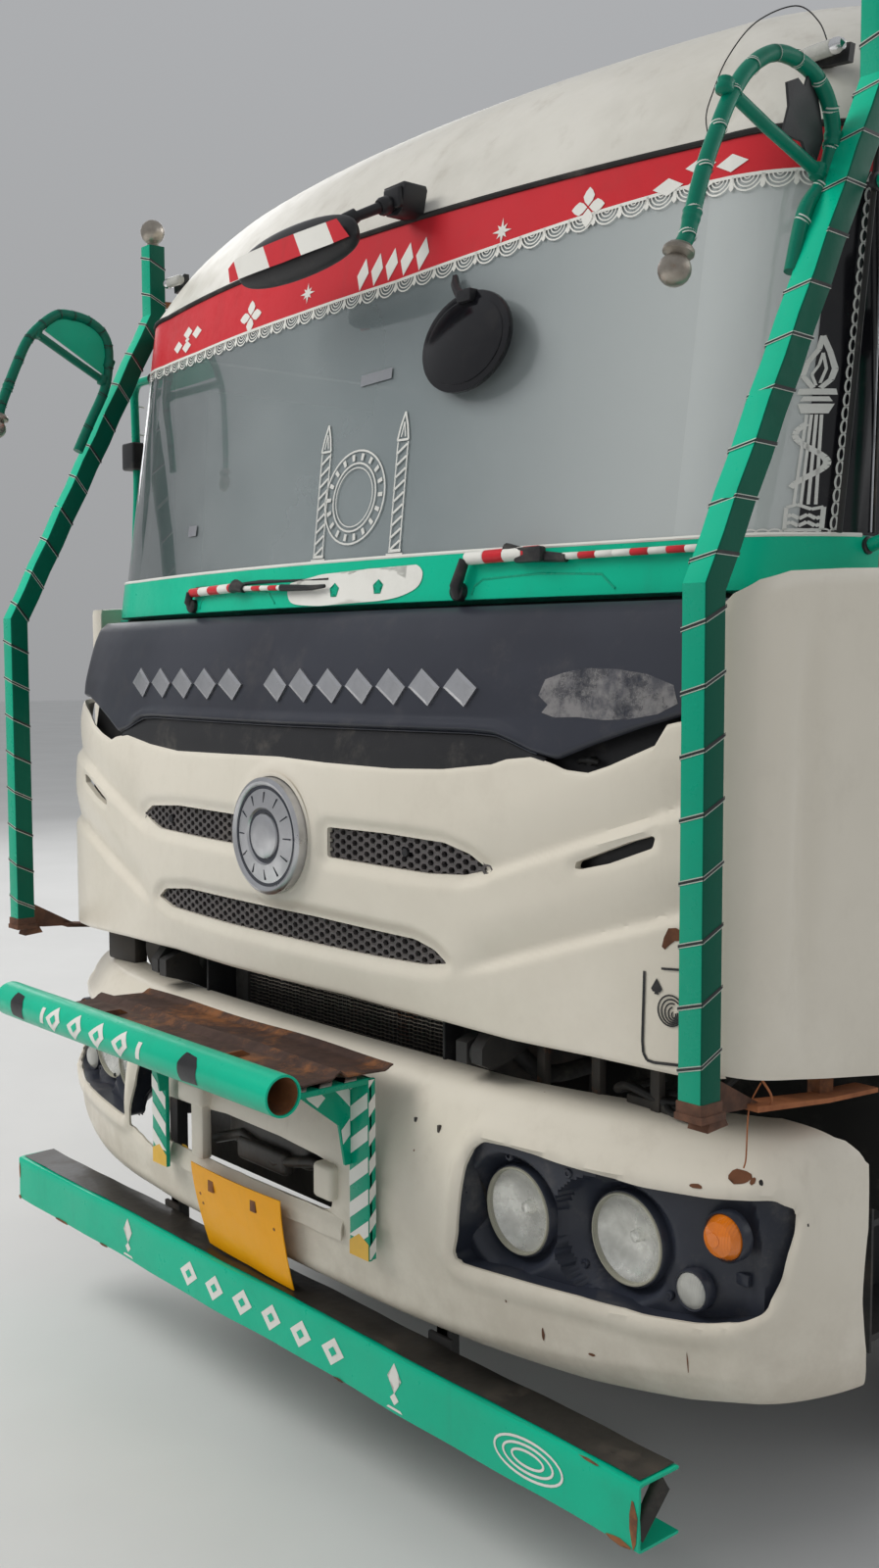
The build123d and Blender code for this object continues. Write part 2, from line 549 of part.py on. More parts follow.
# floor pans, engine tunnel and firewall, each its own pressing with a fine joint to the next
with BuildPart() as cab_floor:
    inner, back, front = CAB_HALF - CAB_WALL - SEAM, CAB_REAR_Y - CAB_WALL - SEAM, FIREWALL_Y + 30 + SEAM
    blocks(TUNNEL_HALF + 25 + SEAM, inner, front, back, CAB_FLOOR_Z, CAB_FLOOR_Z + 30)
    blocks(TUNNEL_HALF, TUNNEL_HALF + 25, front, back, CAB_FLOOR_Z, TUNNEL_Z - SEAM)
    block(-TUNNEL_HALF - 25, TUNNEL_HALF + 25, front, back, TUNNEL_Z, TUNNEL_Z + 25)
    blocks(TUNNEL_HALF, inner, FIREWALL_Y, FIREWALL_Y + 30, CAB_FLOOR_Z, COWL_Z - SEAM)
    block(-TUNNEL_HALF + SEAM, TUNNEL_HALF - SEAM, FIREWALL_Y, FIREWALL_Y + 30, TUNNEL_Z, COWL_Z - SEAM)
    # pivot lugs hanging in front of the firewall
    top = CAB_FLOOR_Z - SEAM
    for s in (1, -1):
        a, b = sorted((s * 562, s * 592))
        prism_x(a, b, [(FIREWALL_Y, top), (FIREWALL_Y, 985), (150, 915), (110, 907), (84, 920), (84, 950), (120, 990), (240, top)])
        rod((s * 554, TILT_Y, TILT_Z), (s * 562, TILT_Y, TILT_Z), 24)
        rod((s * 520, TILT_Y, TILT_Z), (s * 562, TILT_Y, TILT_Z), 10.6)
        block(s * 562, s * 592, FIREWALL_Y, FIREWALL_Y + 200, 985, top)
    # cross beam that carries the front flap and the posts' feet
    blocks(592, CAB_HALF - 30 - SEAM, FIREWALL_Y, FIREWALL_Y + 60, 985, top)
pieces["cab_floor"] = cab_floor

with BuildPart() as windscreen:
    add(upper_cab(1.5, SCREEN_Z0 + 1, 900))
    add(upper_cab(7.5, SCREEN_Z0 - 20, 1000), mode=Mode.SUBTRACT)
    prism_x(-1300, 1300, SCREEN_CUT_IN, mode=Mode.INTERSECT)
    # pane in the cab's rear wall
    block(-418, 418, CAB_REAR_Y - 25, CAB_REAR_Y - 19, 1952, 2348)
pieces["cab_glass"] = windscreen

# ---------------------------------------------------------------- front flap: panel, band, mesh, badge
FLAP_SECTION = ((985, 0), (1300, 0), (1460, 10), (1600, 37), (1762, 88))
# lower outline of the dark band in front view: x, z
BAND_LOW = ((0, 1462), (500, 1463), (650, 1487), (708, 1494), (785, 1473), (833, 1470), (900, 1492), (1000, 1560), (1120, 1568))


def flap_ring(z, back, t, off=0.0):
    with BuildSketch(Plane.XY.offset(z)) as sk:
        e = FLAP_HALF
        b = back
        o = [(0, 37 + b), (500, 56 + b), (970, 116 + b), (1045, 132 + b), (e, 165 + b)]
        o = [(x, y + off) for x, y in o]
        c1 = circle3((-o[2][0], o[2][1]), o[0], o[2])
        i2 = shrink(c1, o[2], t)
        c2 = circle3(o[2], o[3], o[4])
        i3, i4 = shrink(c2, o[3], t), shrink(c2, o[4], t)
        neg = lambda p: (-p[0], p[1])
        with BuildLine():
            ThreePointArc(neg(o[2]), o[0], o[2])
            ThreePointArc(o[2], o[3], o[4])
            Line(o[4], i4)
            ThreePointArc(i4, i3, i2)
            ThreePointArc(i2, (0, o[0][1] + t), neg(i2))
            ThreePointArc(neg(i2), neg(i3), neg(i4))
            Line(neg(i4), neg(o[4]))
            ThreePointArc(neg(o[4]), neg(o[3]), neg(o[2]))
        make_face()
    return sk.sketch


def flap_body(t, off=0.0):
    with BuildPart() as f:
        rings = [flap_ring(z, b, t, off) for z, b in FLAP_SECTION]
        for low, high in zip(rings[:-1], rings[1:]):
            loft([low, high], ruled=True)
    return f.part


def band_outline(gap):
    right = [(x, z + gap) for x, z in BAND_LOW]
    left = [(-x, z + gap) for x, z in BAND_LOW[:0:-1]]
    return left + right


UPPER_MESH = ((145, 1332), (350, 1333), (500, 1328), (575, 1310), (607, 1285), (560, 1271), (465, 1264), (320, 1265), (145, 1266))
LOWER_MESH = ((-519, 1110), (-486, 1133), (-369, 1146), (369, 1146), (486, 1133), (519, 1110), (453, 1091), (196, 1088), (-196, 1088), (-453, 1091))
VENT = ((818, 1306), (822, 1320), (925, 1359), (966, 1372), (973, 1366), (968, 1350), (887, 1320), (828, 1303))

with BuildPart() as front_panel:
    add(flap_body(FLAP_T))
    prism_y(-100, 400, band_outline(-0.0) + [(1300, 1568), (1300, 1900), (-1300, 1900), (-1300, 1568)], mode=Mode.SUBTRACT)
    for s in (1, -1):
        prism_y(-100, 400, [(s * x, z) for x, z in UPPER_MESH], mode=Mode.SUBTRACT)
        prism_y(-100, 400, [(s * x, z) for x, z in VENT], mode=Mode.SUBTRACT)
    prism_y(-100, 400, LOWER_MESH, mode=Mode.SUBTRACT)
    # stiffener round the middle behind the badge
    block(-110, 110, 62, 84, 1240, 1360)
pieces["front_panel"] = front_panel

with BuildPart() as dark_band:
    add(flap_body(FLAP_T))
    prism_y(-100, 400, band_outline(1.0) + [(1300, 1569), (1300, 1900), (-1300, 1900), (-1300, 1569)], mode=Mode.INTERSECT)
    # raised visor lip above the insert
    with BuildPart(mode=Mode.PRIVATE) as lip:
        add(flap_body(FLAP_T, -9.0))
        prism_y(-100, 400, [(-700, 1528), (700, 1528), (640, 1545), (-640, 1545)], mode=Mode.INTERSECT)
    add(lip.part)
    # hinge arms at the top edge
    for s in (1, -1):
        block(s * 500, s * 540, 150, 176, 1690, 1755)
pieces["dark_band"] = dark_band

with BuildPart() as grille_mesh:
    for s in (1, -1):
        with BuildPart(mode=Mode.PRIVATE) as m:
            add(flap_body(6.0, FLAP_T + 0.5))
            prism_y(-100, 400, [(s * 112, 1255), (s * 620, 1255), (s * 620, 1345), (s * 112, 1345)], mode=Mode.INTERSECT)
        add(m.part)
    with BuildPart(mode=Mode.PRIVATE) as m2:
        add(flap_body(6.0, FLAP_T + 0.5))
        prism_y(-100, 400, [(-535, 1078), (535, 1078), (535, 1156), (-535, 1156)], mode=Mode.INTERSECT)
    add(m2.part)
pieces["grille_mesh"] = grille_mesh

with BuildPart() as badge:
    rod((0, 12, 1300), (0, 36.6, 1300), 122)
    rod((0, 4, 1300), (0, 12, 1300), 62)
pieces["badge"] = badge

# ---------------------------------------------------------------- corner panels, posts, canes
with BuildPart() as corner_panels:
    for s in (1, -1):
        out = [(1100, 88), (1150, 98), (1178, 130), (1190, 190), (1190, 468)]
        inn = [(1162, 468), (1162, 330), (1151, 330), (1151, 200), (1140, 150), (1108, 118)]
        with BuildPart(mode=Mode.PRIVATE) as cp:
            prism_z(940, 1815, [(s * x, y) for x, y in (out + inn if s < 0 else (out + inn)[::-1])])
            a, b = sorted((s * 1080, s * 1210))
            prism_x(a, b, [(60, 1017), (190, 997), (320, 977), (500, 951), (500, 1815), (330, 1800), (150, 1772), (100, 1745), (60, 1700)], mode=Mode.INTERSECT)
        add(cp.part)
        # flat pads against the cab's side
        a, b = sorted((s * 1150, s * 1162))
        block(a, b, 340, 460, 1120, 1200)
        block(a, b, 340, 460, 1560, 1640)
pieces["corner_panels"] = corner_panels

with BuildPart() as guard_posts:
    for s in (1, -1):
        a, b = sorted((s * (POST_X - POST_W / 2), s * (POST_X + POST_W / 2)))
        h = POST_W / 2
        pts = [(23 - h, 970), (23 + h, 970), (23 + h, 1763), (453 + h, 2596), (453 + h, 2794), (453 - h, 2794), (453 - h, 2608), (23 - h, 1775)]
        prism_x(a, b, pts)
        rod((s * POST_X, 453, 2794), (s * POST_X, 453, 2806), 16)
        ball(s * POST_X, 453, 2834, 33)
        # foot: plate running back under the corner panel to the cab's cross beam
        p, q = sorted((s * 1126, s * 1184))
        block(p, q, -6, 60, 958, 970)
        p, q = sorted((s * 1128, s * 1178))
        prism_x(p, q, [(50, 958), (50, 966), (330, 936), (470, 928), (470, 920), (330, 928)])
        p, q = sorted((s * 1150, s * 1158))
        prism_x(p, q, [(47, 1018), (47, 962), (80, 960), (165, 952)])
        p, q = sorted((s * 1122, s * 1148))
        prism_x(p, q, [(342, 932), (380, 932), (380, 985), (342, 985)])
        # stay to the roof's corner
        rod((s * 1140, 470, 2640), (s * 1118, 600, 2640), 9)
    add(CAB_BODY, mode=Mode.SUBTRACT)
pieces["guard_posts"] = guard_posts

with BuildPart() as canes:
    for s in (1, -1):
        x = s * 1124
        bent_tube([(x, 205, 2259), (x, 289, 2428), (x, 341, 2466), (x, 369, 2555), (x, 269, 2599), (x, 160, 2585), (x, 94, 2488), (x, 31, 2362), (x, -23, 2259)], 34, 13)
        ball(x, -32, 2224, 27)
        rod((x, -21, 2253), (x, -29, 2237), 20)
        rod((x, 106, 2516), (x, 319, 2446), 11)
        # small leaf-shaped plate between strut and arch
        if s < 0:
            prism_x(x - 3, x + 3, [(130, 2509), (319, 2450), (341, 2506), (240, 2585), (170, 2575)])
pieces["canes"] = canes

# ---------------------------------------------------------------- cab fittings
with BuildPart() as wipers:
    # pivots on the strip, arms and blades: pivot x, blade x0, x1, z at each end
    for px_, x0, x1, z0, z1 in ((-585, -512, 111, 1803, 1812), (505, 545, 1072, 1822, 1850)):
        rod((px_, 112 + px_ * px_ * 1.17e-4, 1800), (px_, 134.5 + px_ * px_ * 1.15e-4, 1800), 14)
        y0 = 118 + px_ * px_ * 1.17e-4
        mid = (x0 + x1) / 2
        ym = 104 + mid * mid * 1.17e-4
        rod((px_, y0, 1800), (mid, ym, (z0 + z1) / 2 + 4), 7)
        n = 6
        for i in range(n):
            a = x0 + (x1 - x0) * i / n
            b = x0 + (x1 - x0) * (i + 1) / n
            za = z0 + (z1 - z0) * i / n
            zb = z0 + (z1 - z0) * (i + 1) / n
            rod((a, 108 + a * a * 1.17e-4, za), (b, 108 + b * b * 1.17e-4, zb), 10)
            ball(b, 108 + b * b * 1.17e-4, zb, 10)
pieces["wipers"] = wipers

with BuildPart() as front_mirror:
    # bracket on the brow, short arm, dished head seen edge on
    block(175, 240, 196, 246, 2545, 2605)
    rod((196, 210, 2578), (180, 118, 2524), 12)
    with BuildPart(mode=Mode.PRIVATE) as head:
        prism_y(62, 125, [(-180, 2490), (-152, 2506), (196, 2513), (236, 2474), (188, 2464), (96, 2428), (32, 2424), (-66, 2438), (-168, 2462)])
    add(head.part)
pieces["front_mirror"] = front_mirror

with BuildPart() as side_mirrors:
    for s in (1, -1):
        bent_tube([(s * 1160, 450, 2440), (s * 1262, 450, 2440), (s * 1262, 455, 2150), (s * 1262, 440, 1880), (s * 1160, 440, 1850)], 40, 12)
        a, b = sorted((s * 1235, s * 1300))
        block(a, b, 425, 480, 2200, 2276)
        for z, y in ((2440, 446), (1850, 440)):
            rod((s * 1150, y, z), (s * 1162, y, z), 26)
    # head on the left arm only; the right arm's is missing
    block(1236, 1300, 380, 424, 2020, 2390)
pieces["side_mirrors"] = side_mirrors

with BuildPart() as roof_lamps:
    for s in (1, -1):
        block(s * 1000, s * 1070, 436, 462, 2668, 2694)
pieces["roof_lamps"] = roof_lamps

with BuildPart() as visor_disc:
    with BuildSketch(Plane(origin=(430, 212, 2262), x_dir=(1, 0, 0), z_dir=(0, -1, 0.15))) as sk:
        Ellipse(125, 96)
    extrude(sk.sketch, amount=14)
    block(415, 445, 196, 242.5, 2350, 2410)
pieces["visor_disc"] = visor_disc

with BuildPart() as dashboard:
    prism_x(-1040, 1040, [(372, 1475), (372, 1790), (520, 1830), (760, 1795), (780, 1700), (720, 1560), (600, 1490), (600, 1475)])
    # steering column
    rod((-560, 849 - 0.55 * 9, 1783.3 - 0.835 * 9), (-560, 849 - 0.55 * 160, 1783.3 - 0.835 * 160), 30)
pieces["dashboard"] = dashboard

with BuildPart() as steering_wheel:
    c, n = (-560, 860, 1800), Vector(0, -0.55, -0.835)
    pl = Plane(origin=c, x_dir=(1, 0, 0), z_dir=(0, 0.55, 0.835))
    with BuildSketch(Plane(origin=(c[0] + 220, c[1], c[2]), x_dir=(1, 0, 0), z_dir=(0, 0.835, -0.55))) as sk:
        Circle(14)
    revolve(sk.sketch, axis=Axis(c, (0, 0.55, 0.835)), revolution_arc=360)
    rod((c[0], c[1] - 0.55 * 20, c[2] - 0.835 * 20), (c[0], c[1] + 0.55 * 20, c[2] + 0.835 * 20), 50)
    for a in (90, 210, 330):
        ux = Vector(1, 0, 0) * cos(radians(a)) + Vector(0, 0.835, -0.55) * sin(radians(a))
        rod(c, (c[0] + ux.X * 218, c[1] + ux.Y * 218, c[2] + ux.Z * 218), 9)
pieces["steering_wheel"] = steering_wheel

with BuildPart() as seats:
    for x0, x1 in ((-970, -520), (520, 970)):
        block(x0 + 30, x1 - 30, 1140, 1500, 1115.3, 1400)
        block(x0, x1, 1080, 1560, 1400, 1510)
        prism_x(x0, x1, [(1500, 1510), (1600, 1510), (1730, 2080), (1650, 2090)])
        block(x0 + 90, x1 - 90, 1655, 1730, 2080, 2250)
    # bench across the back of the cab
    block(-1000, 1000, 1765, 2005, 1460, 1580)
    block(-1000, 1000, 1980, 2005, 1580, 1850)
pieces["seats"] = seats

def door(s):
    g = DOOR_GAP
    with BuildPart() as d:
        a, b = sorted((s * 1112, s * CAB_HALF))
        prism_x(a, b, [(DOOR_Y0 + g, DOOR_Z0 + g), (DOOR_Y1 - g, DOOR_Z0 + g), (DOOR_Y1 - g, DOOR_Z1 - g), (DOOR_Y0 + g, DOOR_Z1 - g)])
        a2, b2 = sorted((s * 1100, s * 1170))
        prism_x(a2, b2, [(560, 1830), (1330, 1830), (1330, 2420), (600, 2420)], mode=Mode.SUBTRACT)
        # handle
        c, e = sorted((s * CAB_HALF, s * 1172))
        block(c, e, 1240, 1260, 1660, 1690)
        block(c, e, 1330, 1350, 1660, 1690)
        c, e = sorted((s * 1164, s * 1174))
        block(c, e, 1235, 1355, 1660, 1690)
    return d


def door_glass(s):
    with BuildPart() as d:
        a, b = sorted((s * 1128, s * 1133))
        prism_x(a, b, [(561, 1831), (1329, 1831), (1329, 2419), (601, 2419)])
    return d


for s, side in ((1, "left"), (-1, "right")):
    pieces["door_" + side] = door(s)
    pieces["door_glass_" + side] = door_glass(s)

# ---------------------------------------------------------------- things hung on the frame
with BuildPart() as cab_steps:
    for s in (1, -1):
        for y0, y1 in ((520, 526), (834, 840)):
            block(s * 1000, s * 1135, y0, y1, 430, 900)
        for z in (450, 660, 860):
            block(s * 1000, s * 1135, 526, 834, z, z + 12)
        block(s * 1000, s * 1006, 526, 834, 450, 872)
        block(s * 560, s * 1000, 560, 600, 660, 700)
        block(s * 425, s * 560, 560, 600, 660, 900)
pieces["cab_steps"] = cab_steps

with BuildPart() as fuel_tank:
    # rounded tank on the truck's right side, with straps and a filler cap
    with BuildSketch(front_plane(3100)) as sk:
        with Locations((790, 700)):
            RectangleRounded(560, 560, 90)
    extrude(sk.sketch, amount=1150)
    rod((-960, 3350, 980), (-960, 3350, 1006), 50)
    for y in (3250, 4040):
        block(-510, -425, y, y + 60, 800, 960)
pieces["fuel_tank"] = fuel_tank

with BuildPart() as air_tanks:
    # battery box and two air reservoirs on the left side
    block(560, 1080, 3100, 3720, 520, 940)
    block(425, 560, 3150, 3210, 800, 900)
    block(425, 560, 3600, 3660, 800, 900)
    for z in (610, 850):
        rod((640, 3800, z), (640, 4600, z), 110)
    for y in (3900, 4450):
        block(425, 531, y, y + 50, 800, 900)
        block(620, 660, y, y + 50, 610, 850)
pieces["air_tanks"] = air_tanks

with BuildPart() as rear_mudguards:
    for s in (1, -1):
        for y0 in (5060, 7742):
            block(s * 640, s * 1215, y0, y0 + 8, 560, 1076)
        block(s * 640, s * 1215, 5060, 7750, 1076, 1084)
        for y in (5080, 6400, 7700):
            block(s * 425, s * 645, y, y + 25, 1050, 1084)
            block(s * 425, s * 450, y, y + 25, 960, 1050)
pieces["rear_mudguards"] = rear_mudguards

with BuildPart() as rear_bumper:
    block(-1150, 1150, 8880.5, 8960, 560, 660)
    blocks(330, 424, 8880.5, 8960, 660, 1035)
pieces["rear_bumper"] = rear_bumper

with BuildPart() as tail_lamps:
    for s in (1, -1):
        block(s * 700, s * 1120, 8960.5, 8990, 660.5, 760)
pieces["tail_lamps"] = tail_lamps

# ---------------------------------------------------------------- cargo body
with BuildPart() as cargo_floor:
    block(-BODY_HALF, BODY_HALF, BODY_Y0, BODY_Y1, BODY_FLOOR_Z - 50, BODY_FLOOR_Z)
    # two long sills on the rails, and cross bearers
    blocks(345, 425, 2600, 8870, 1040.3, 1090)
    for y in range(2420, 9000, 540):
        block(-BODY_HALF, BODY_HALF, y, y + 60, 1090, BODY_FLOOR_Z - 50)
    # slots that let the bearers clear the mudguards
pieces["cargo_floor"] = cargo_floor

STAKES = [BODY_Y0 + 20 + i * 655 for i in range(11)]
with BuildPart() as cargo_sides:
    for s in (1, -1):
        a, b = sorted((s * (BODY_HALF - WALL_T), s * (BODY_HALF - 35)))
        block(s * (BODY_HALF - WALL_T), s * (BODY_HALF - 35), BODY_Y0 + 45, BODY_Y1, BODY_FLOOR_Z, BODY_TOP_Z)
        for y in STAKES:
            block(s * (BODY_HALF - 35), s * (BODY_HALF + 15), max(y, BODY_Y0 + 45), y + 60, BODY_FLOOR_Z, BODY_TOP_Z)
        for z in (BODY_FLOOR_Z, 1620, 2060, BODY_TOP_Z - 70):
            block(s * (BODY_HALF - 35), s * BODY_HALF, BODY_Y0 + 45, BODY_Y1, z, z + 70)
        block(s * (BODY_HALF - 60), s * (BODY_HALF + 15), BODY_Y0 + 45, BODY_Y1, BODY_TOP_Z, BODY_TOP_Z + 40)
pieces["cargo_sides"] = cargo_sides

with BuildPart() as cargo_headboard:
    block(-BODY_HALF, BODY_HALF, BODY_Y0, BODY_Y0 + 44, BODY_FLOOR_Z, 2780)
    for x in (-1200, -620, -40, 540, 1120):
        block(x, x + 80, BODY_Y0 - 40, BODY_Y0, BODY_FLOOR_Z, 2780)
    block(-BODY_HALF, BODY_HALF, BODY_Y0 - 50, BODY_Y0 + 44, 2780, 2840)
pieces["cargo_headboard"] = cargo_headboard

with BuildPart() as tailgate:
    y = BODY_Y1 + 6
    block(-BODY_HALF, BODY_HALF, y, y + 30, 1150, BODY_TOP_Z)
    for x in (-1225, -760, -270, 220, 710, 1165):
        block(x, x + 60, y + 30, y + 56, 1150, BODY_TOP_Z)
    for z in (1150, 1800, BODY_TOP_Z - 70):
        block(-BODY_HALF, BODY_HALF, y + 30, y + 50, z, z + 70)
pieces["tailgate"] = tailgate

for name, piece in pieces.items():
    piece.part.label = name
    moved = piece.part.moved(Location((0, SHIFT_Y, 0)))
    moved.label = name
    export_step(moved, "parts/" + name + ".step")
    box = moved.bounding_box()
    print(name, len(moved.solids()), [round(v) for v in (*box.min, *box.max)])
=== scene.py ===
import bpy, bmesh, json, math, random
from math import sin, cos, pi, radians, sqrt, atan2
from mathutils.bvhtree import BVHTree
from mathutils import Vector, Matrix


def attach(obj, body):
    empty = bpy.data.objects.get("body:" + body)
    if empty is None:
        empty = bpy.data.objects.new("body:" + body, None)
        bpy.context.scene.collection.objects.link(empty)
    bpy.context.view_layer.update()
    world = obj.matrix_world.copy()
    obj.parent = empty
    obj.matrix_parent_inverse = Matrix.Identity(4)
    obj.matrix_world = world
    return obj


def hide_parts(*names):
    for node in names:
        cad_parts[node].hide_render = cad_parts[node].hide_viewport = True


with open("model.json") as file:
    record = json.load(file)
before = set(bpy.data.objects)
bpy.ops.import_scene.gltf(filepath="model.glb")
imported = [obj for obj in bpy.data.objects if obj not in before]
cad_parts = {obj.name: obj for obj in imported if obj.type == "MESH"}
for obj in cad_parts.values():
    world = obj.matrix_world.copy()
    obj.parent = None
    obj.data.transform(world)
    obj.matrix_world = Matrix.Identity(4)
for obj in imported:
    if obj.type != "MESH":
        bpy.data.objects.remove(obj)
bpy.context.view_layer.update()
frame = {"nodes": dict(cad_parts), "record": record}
NODES = frame["nodes"]

# Drawing frame: millimetres, y = 0 at the bumper's face, z = 0 on the ground,
# +x the truck's left. P() turns it into the model's metres.
SHIFT_Y = -(-347.5 + 9062.0) / 2.0


def P(p):
    return (p[0] / 1000.0, (p[1] + SHIFT_Y) / 1000.0, p[2] / 1000.0)


# ------------------------------------------------------------------ camera
CAM = (2674.0, -1805.0, 1660.0)
yaw, pitch, roll = radians(-49.34), radians(-4.5), radians(-0.19)
F = Vector((sin(yaw) * cos(pitch), cos(yaw) * cos(pitch), sin(pitch)))
R = Vector((cos(yaw), -sin(yaw), 0.0))
U = R.cross(F)
c, s_ = cos(roll), sin(roll)
R, U = R * c + U * s_, U * c - R * s_
cam_data = bpy.data.cameras.new("camera")
cam_data.sensor_width = 36.0
cam_data.lens = 35.775
cam_data.clip_start, cam_data.clip_end = 0.05, 200.0
cam = bpy.data.objects.new("camera", cam_data)
cam.matrix_world = Matrix((
    (R.x, U.x, -F.x, P(CAM)[0]),
    (R.y, U.y, -F.y, P(CAM)[1]),
    (R.z, U.z, -F.z, P(CAM)[2]),
    (0, 0, 0, 1)))
bpy.context.scene.collection.objects.link(cam)
bpy.context.scene.camera = cam
try:
    bpy.context.scene.view_settings.view_transform = "Standard"
except Exception:
    pass


# ------------------------------------------------------------------ materials
class NT:
    def __init__(self, name, metallic=0.0, rough=0.5, coat=0.0, coat_rough=0.1, spec=0.5, sheen=0.0, ior=1.45):
        self.m = bpy.data.materials.new(name)
        self.m.use_nodes = True
        self.t = self.m.node_tree
        self.b = self.t.nodes["Principled BSDF"]
        i = self.b.inputs
        i["Metallic"].default_value = metallic
        i["Roughness"].default_value = rough
        i["Coat Weight"].default_value = coat
        i["Coat Roughness"].default_value = coat_rough
        i["Specular IOR Level"].default_value = spec
        i["Sheen Weight"].default_value = sheen
        i["IOR"].default_value = ior
        self.tc = self.t.nodes.new("ShaderNodeTexCoord")

    def co(self, scale=(1, 1, 1), rot=(0, 0, 0), loc=(0, 0, 0)):
        n = self.t.nodes.new("ShaderNodeMapping")
        n.inputs["Scale"].default_value = scale
        n.inputs["Rotation"].default_value = rot
        n.inputs["Location"].default_value = loc
        self.t.links.new(self.tc.outputs["Object"], n.inputs["Vector"])
        return n.outputs["Vector"]

    def noise(self, scale, detail=4.0, rough=0.6, vec=None, dist=0.0):
        n = self.t.nodes.new("ShaderNodeTexNoise")
        n.inputs["Scale"].default_value = scale
        n.inputs["Detail"].default_value = detail
        n.inputs["Roughness"].default_value = rough
        n.inputs["Distortion"].default_value = dist
        self.t.links.new(vec or self.tc.outputs["Object"], n.inputs["Vector"])
        return n.outputs["Fac"]

    def voro(self, scale, vec=None, feature="F1", out="Distance"):
        n = self.t.nodes.new("ShaderNodeTexVoronoi")
        n.feature = feature
        n.inputs["Scale"].default_value = scale
        self.t.links.new(vec or self.tc.outputs["Object"], n.inputs["Vector"])
        return n.outputs[out]

    def wave(self, scale, vec=None, dist=0.0, direction="X", profile="SIN"):
        n = self.t.nodes.new("ShaderNodeTexWave")
        n.bands_direction = direction
        n.wave_profile = profile
        n.inputs["Scale"].default_value = scale
        n.inputs["Distortion"].default_value = dist
        self.t.links.new(vec or self.tc.outputs["Object"], n.inputs["Vector"])
        return n.outputs["Fac"]

    def _in(self, sock, v):
        if isinstance(v, bpy.types.NodeSocket):
            self.t.links.new(v, sock)
        elif isinstance(v, (tuple, list)):
            sock.default_value = (*v, 1.0)[:4] if len(v) == 3 and sock.type == "RGBA" else v
        else:
            sock.default_value = v

    def mix(self, fac, a, b, blend="MIX"):
        n = self.t.nodes.new("ShaderNodeMix")
        n.data_type = "RGBA"
        n.blend_type = blend
        self._in(n.inputs[0], fac)
        self._in(n.inputs[6], a)
        self._in(n.inputs[7], b)
        return n.outputs[2]

    def math(self, op, a, b=0.0, clamp=False):
        n = self.t.nodes.new("ShaderNodeMath")
        n.operation = op
        n.use_clamp = clamp
        self._in(n.inputs[0], a)
        self._in(n.inputs[1], b)
        return n.outputs[0]

    def step(self, v, lo, hi, to_lo=0.0, to_hi=1.0):
        n = self.t.nodes.new("ShaderNodeMapRange")
        n.interpolation_type = "SMOOTHSTEP"
        self._in(n.inputs[0], v)
        n.inputs[1].default_value = lo
        n.inputs[2].default_value = hi
        n.inputs[3].default_value = to_lo
        n.inputs[4].default_value = to_hi
        return n.outputs[0]

    def xyz(self):
        n = self.t.nodes.new("ShaderNodeSeparateXYZ")
        self.t.links.new(self.tc.outputs["Object"], n.inputs[0])
        return n.outputs

    def col(self, v):
        self._in(self.b.inputs["Base Color"], v)

    def rough(self, v):
        self._in(self.b.inputs["Roughness"], v)

    def bump(self, h, strength=0.3, dist=0.002):
        n = self.t.nodes.new("ShaderNodeBump")
        n.inputs["Strength"].default_value = strength
        n.inputs["Distance"].default_value = dist
        self.t.links.new(h, n.inputs["Height"])
        self.t.links.new(n.outputs["Normal"], self.b.inputs["Normal"])


def paint(name, base, shade, dirt=(0.20, 0.15, 0.10), dirty=0.35, rough=0.32, coat=0.25, spec=0.5, low=None, chips=0.0, bumpy=0.08, rust=(0.22, 0.08, 0.03), streak=0.25):
    """Painted sheet metal: uneven tone, streaks down the panel, dust low down, chips to rust."""
    n = NT(name, rough=rough, coat=coat, coat_rough=0.18, spec=spec)
    big = n.noise(1.3, 5, 0.55)
    fine = n.noise(34.0, 4, 0.7)
    c1 = n.mix(n.step(big, 0.35, 0.7), base, shade)
    c1 = n.mix(n.step(fine, 0.45, 0.75, 0, 0.25), c1, shade)
    st = n.noise(1.0, 6, 0.65, vec=n.co(scale=(16, 16, 1.4)))
    blot = n.noise(5.0, 7, 0.7)
    dm = n.math("MULTIPLY", n.step(blot, 0.48, 0.78), dirty)
    sm = n.math("MULTIPLY", n.step(st, 0.55, 0.8), streak)
    fac = n.math("MAXIMUM", dm, sm)
    if low:
        z = n.xyz()[2]
        h = n.step(z, low[0], low[1], low[2], 0.0)
        h = n.math("MULTIPLY", h, n.step(n.noise(7.0, 6, 0.7), 0.25, 0.7))
        fac = n.math("MAXIMUM", fac, h)
    colr = n.mix(fac, c1, dirt)
    if chips:
        v = n.noise(11.0, 8, 0.75, dist=0.6)
        k = n.step(v, 0.74 - 0.06 * chips, 0.755 - 0.06 * chips)
        colr = n.mix(k, colr, rust)
    n.col(colr)
    n.rough(n.math("ADD", n.math("MULTIPLY", fac, 0.4), n.step(fine, 0.3, 0.8, rough - 0.05, rough + 0.1), clamp=True))
    n.bump(n.noise(120.0, 3, 0.6), bumpy, 0.001)
    return n.m


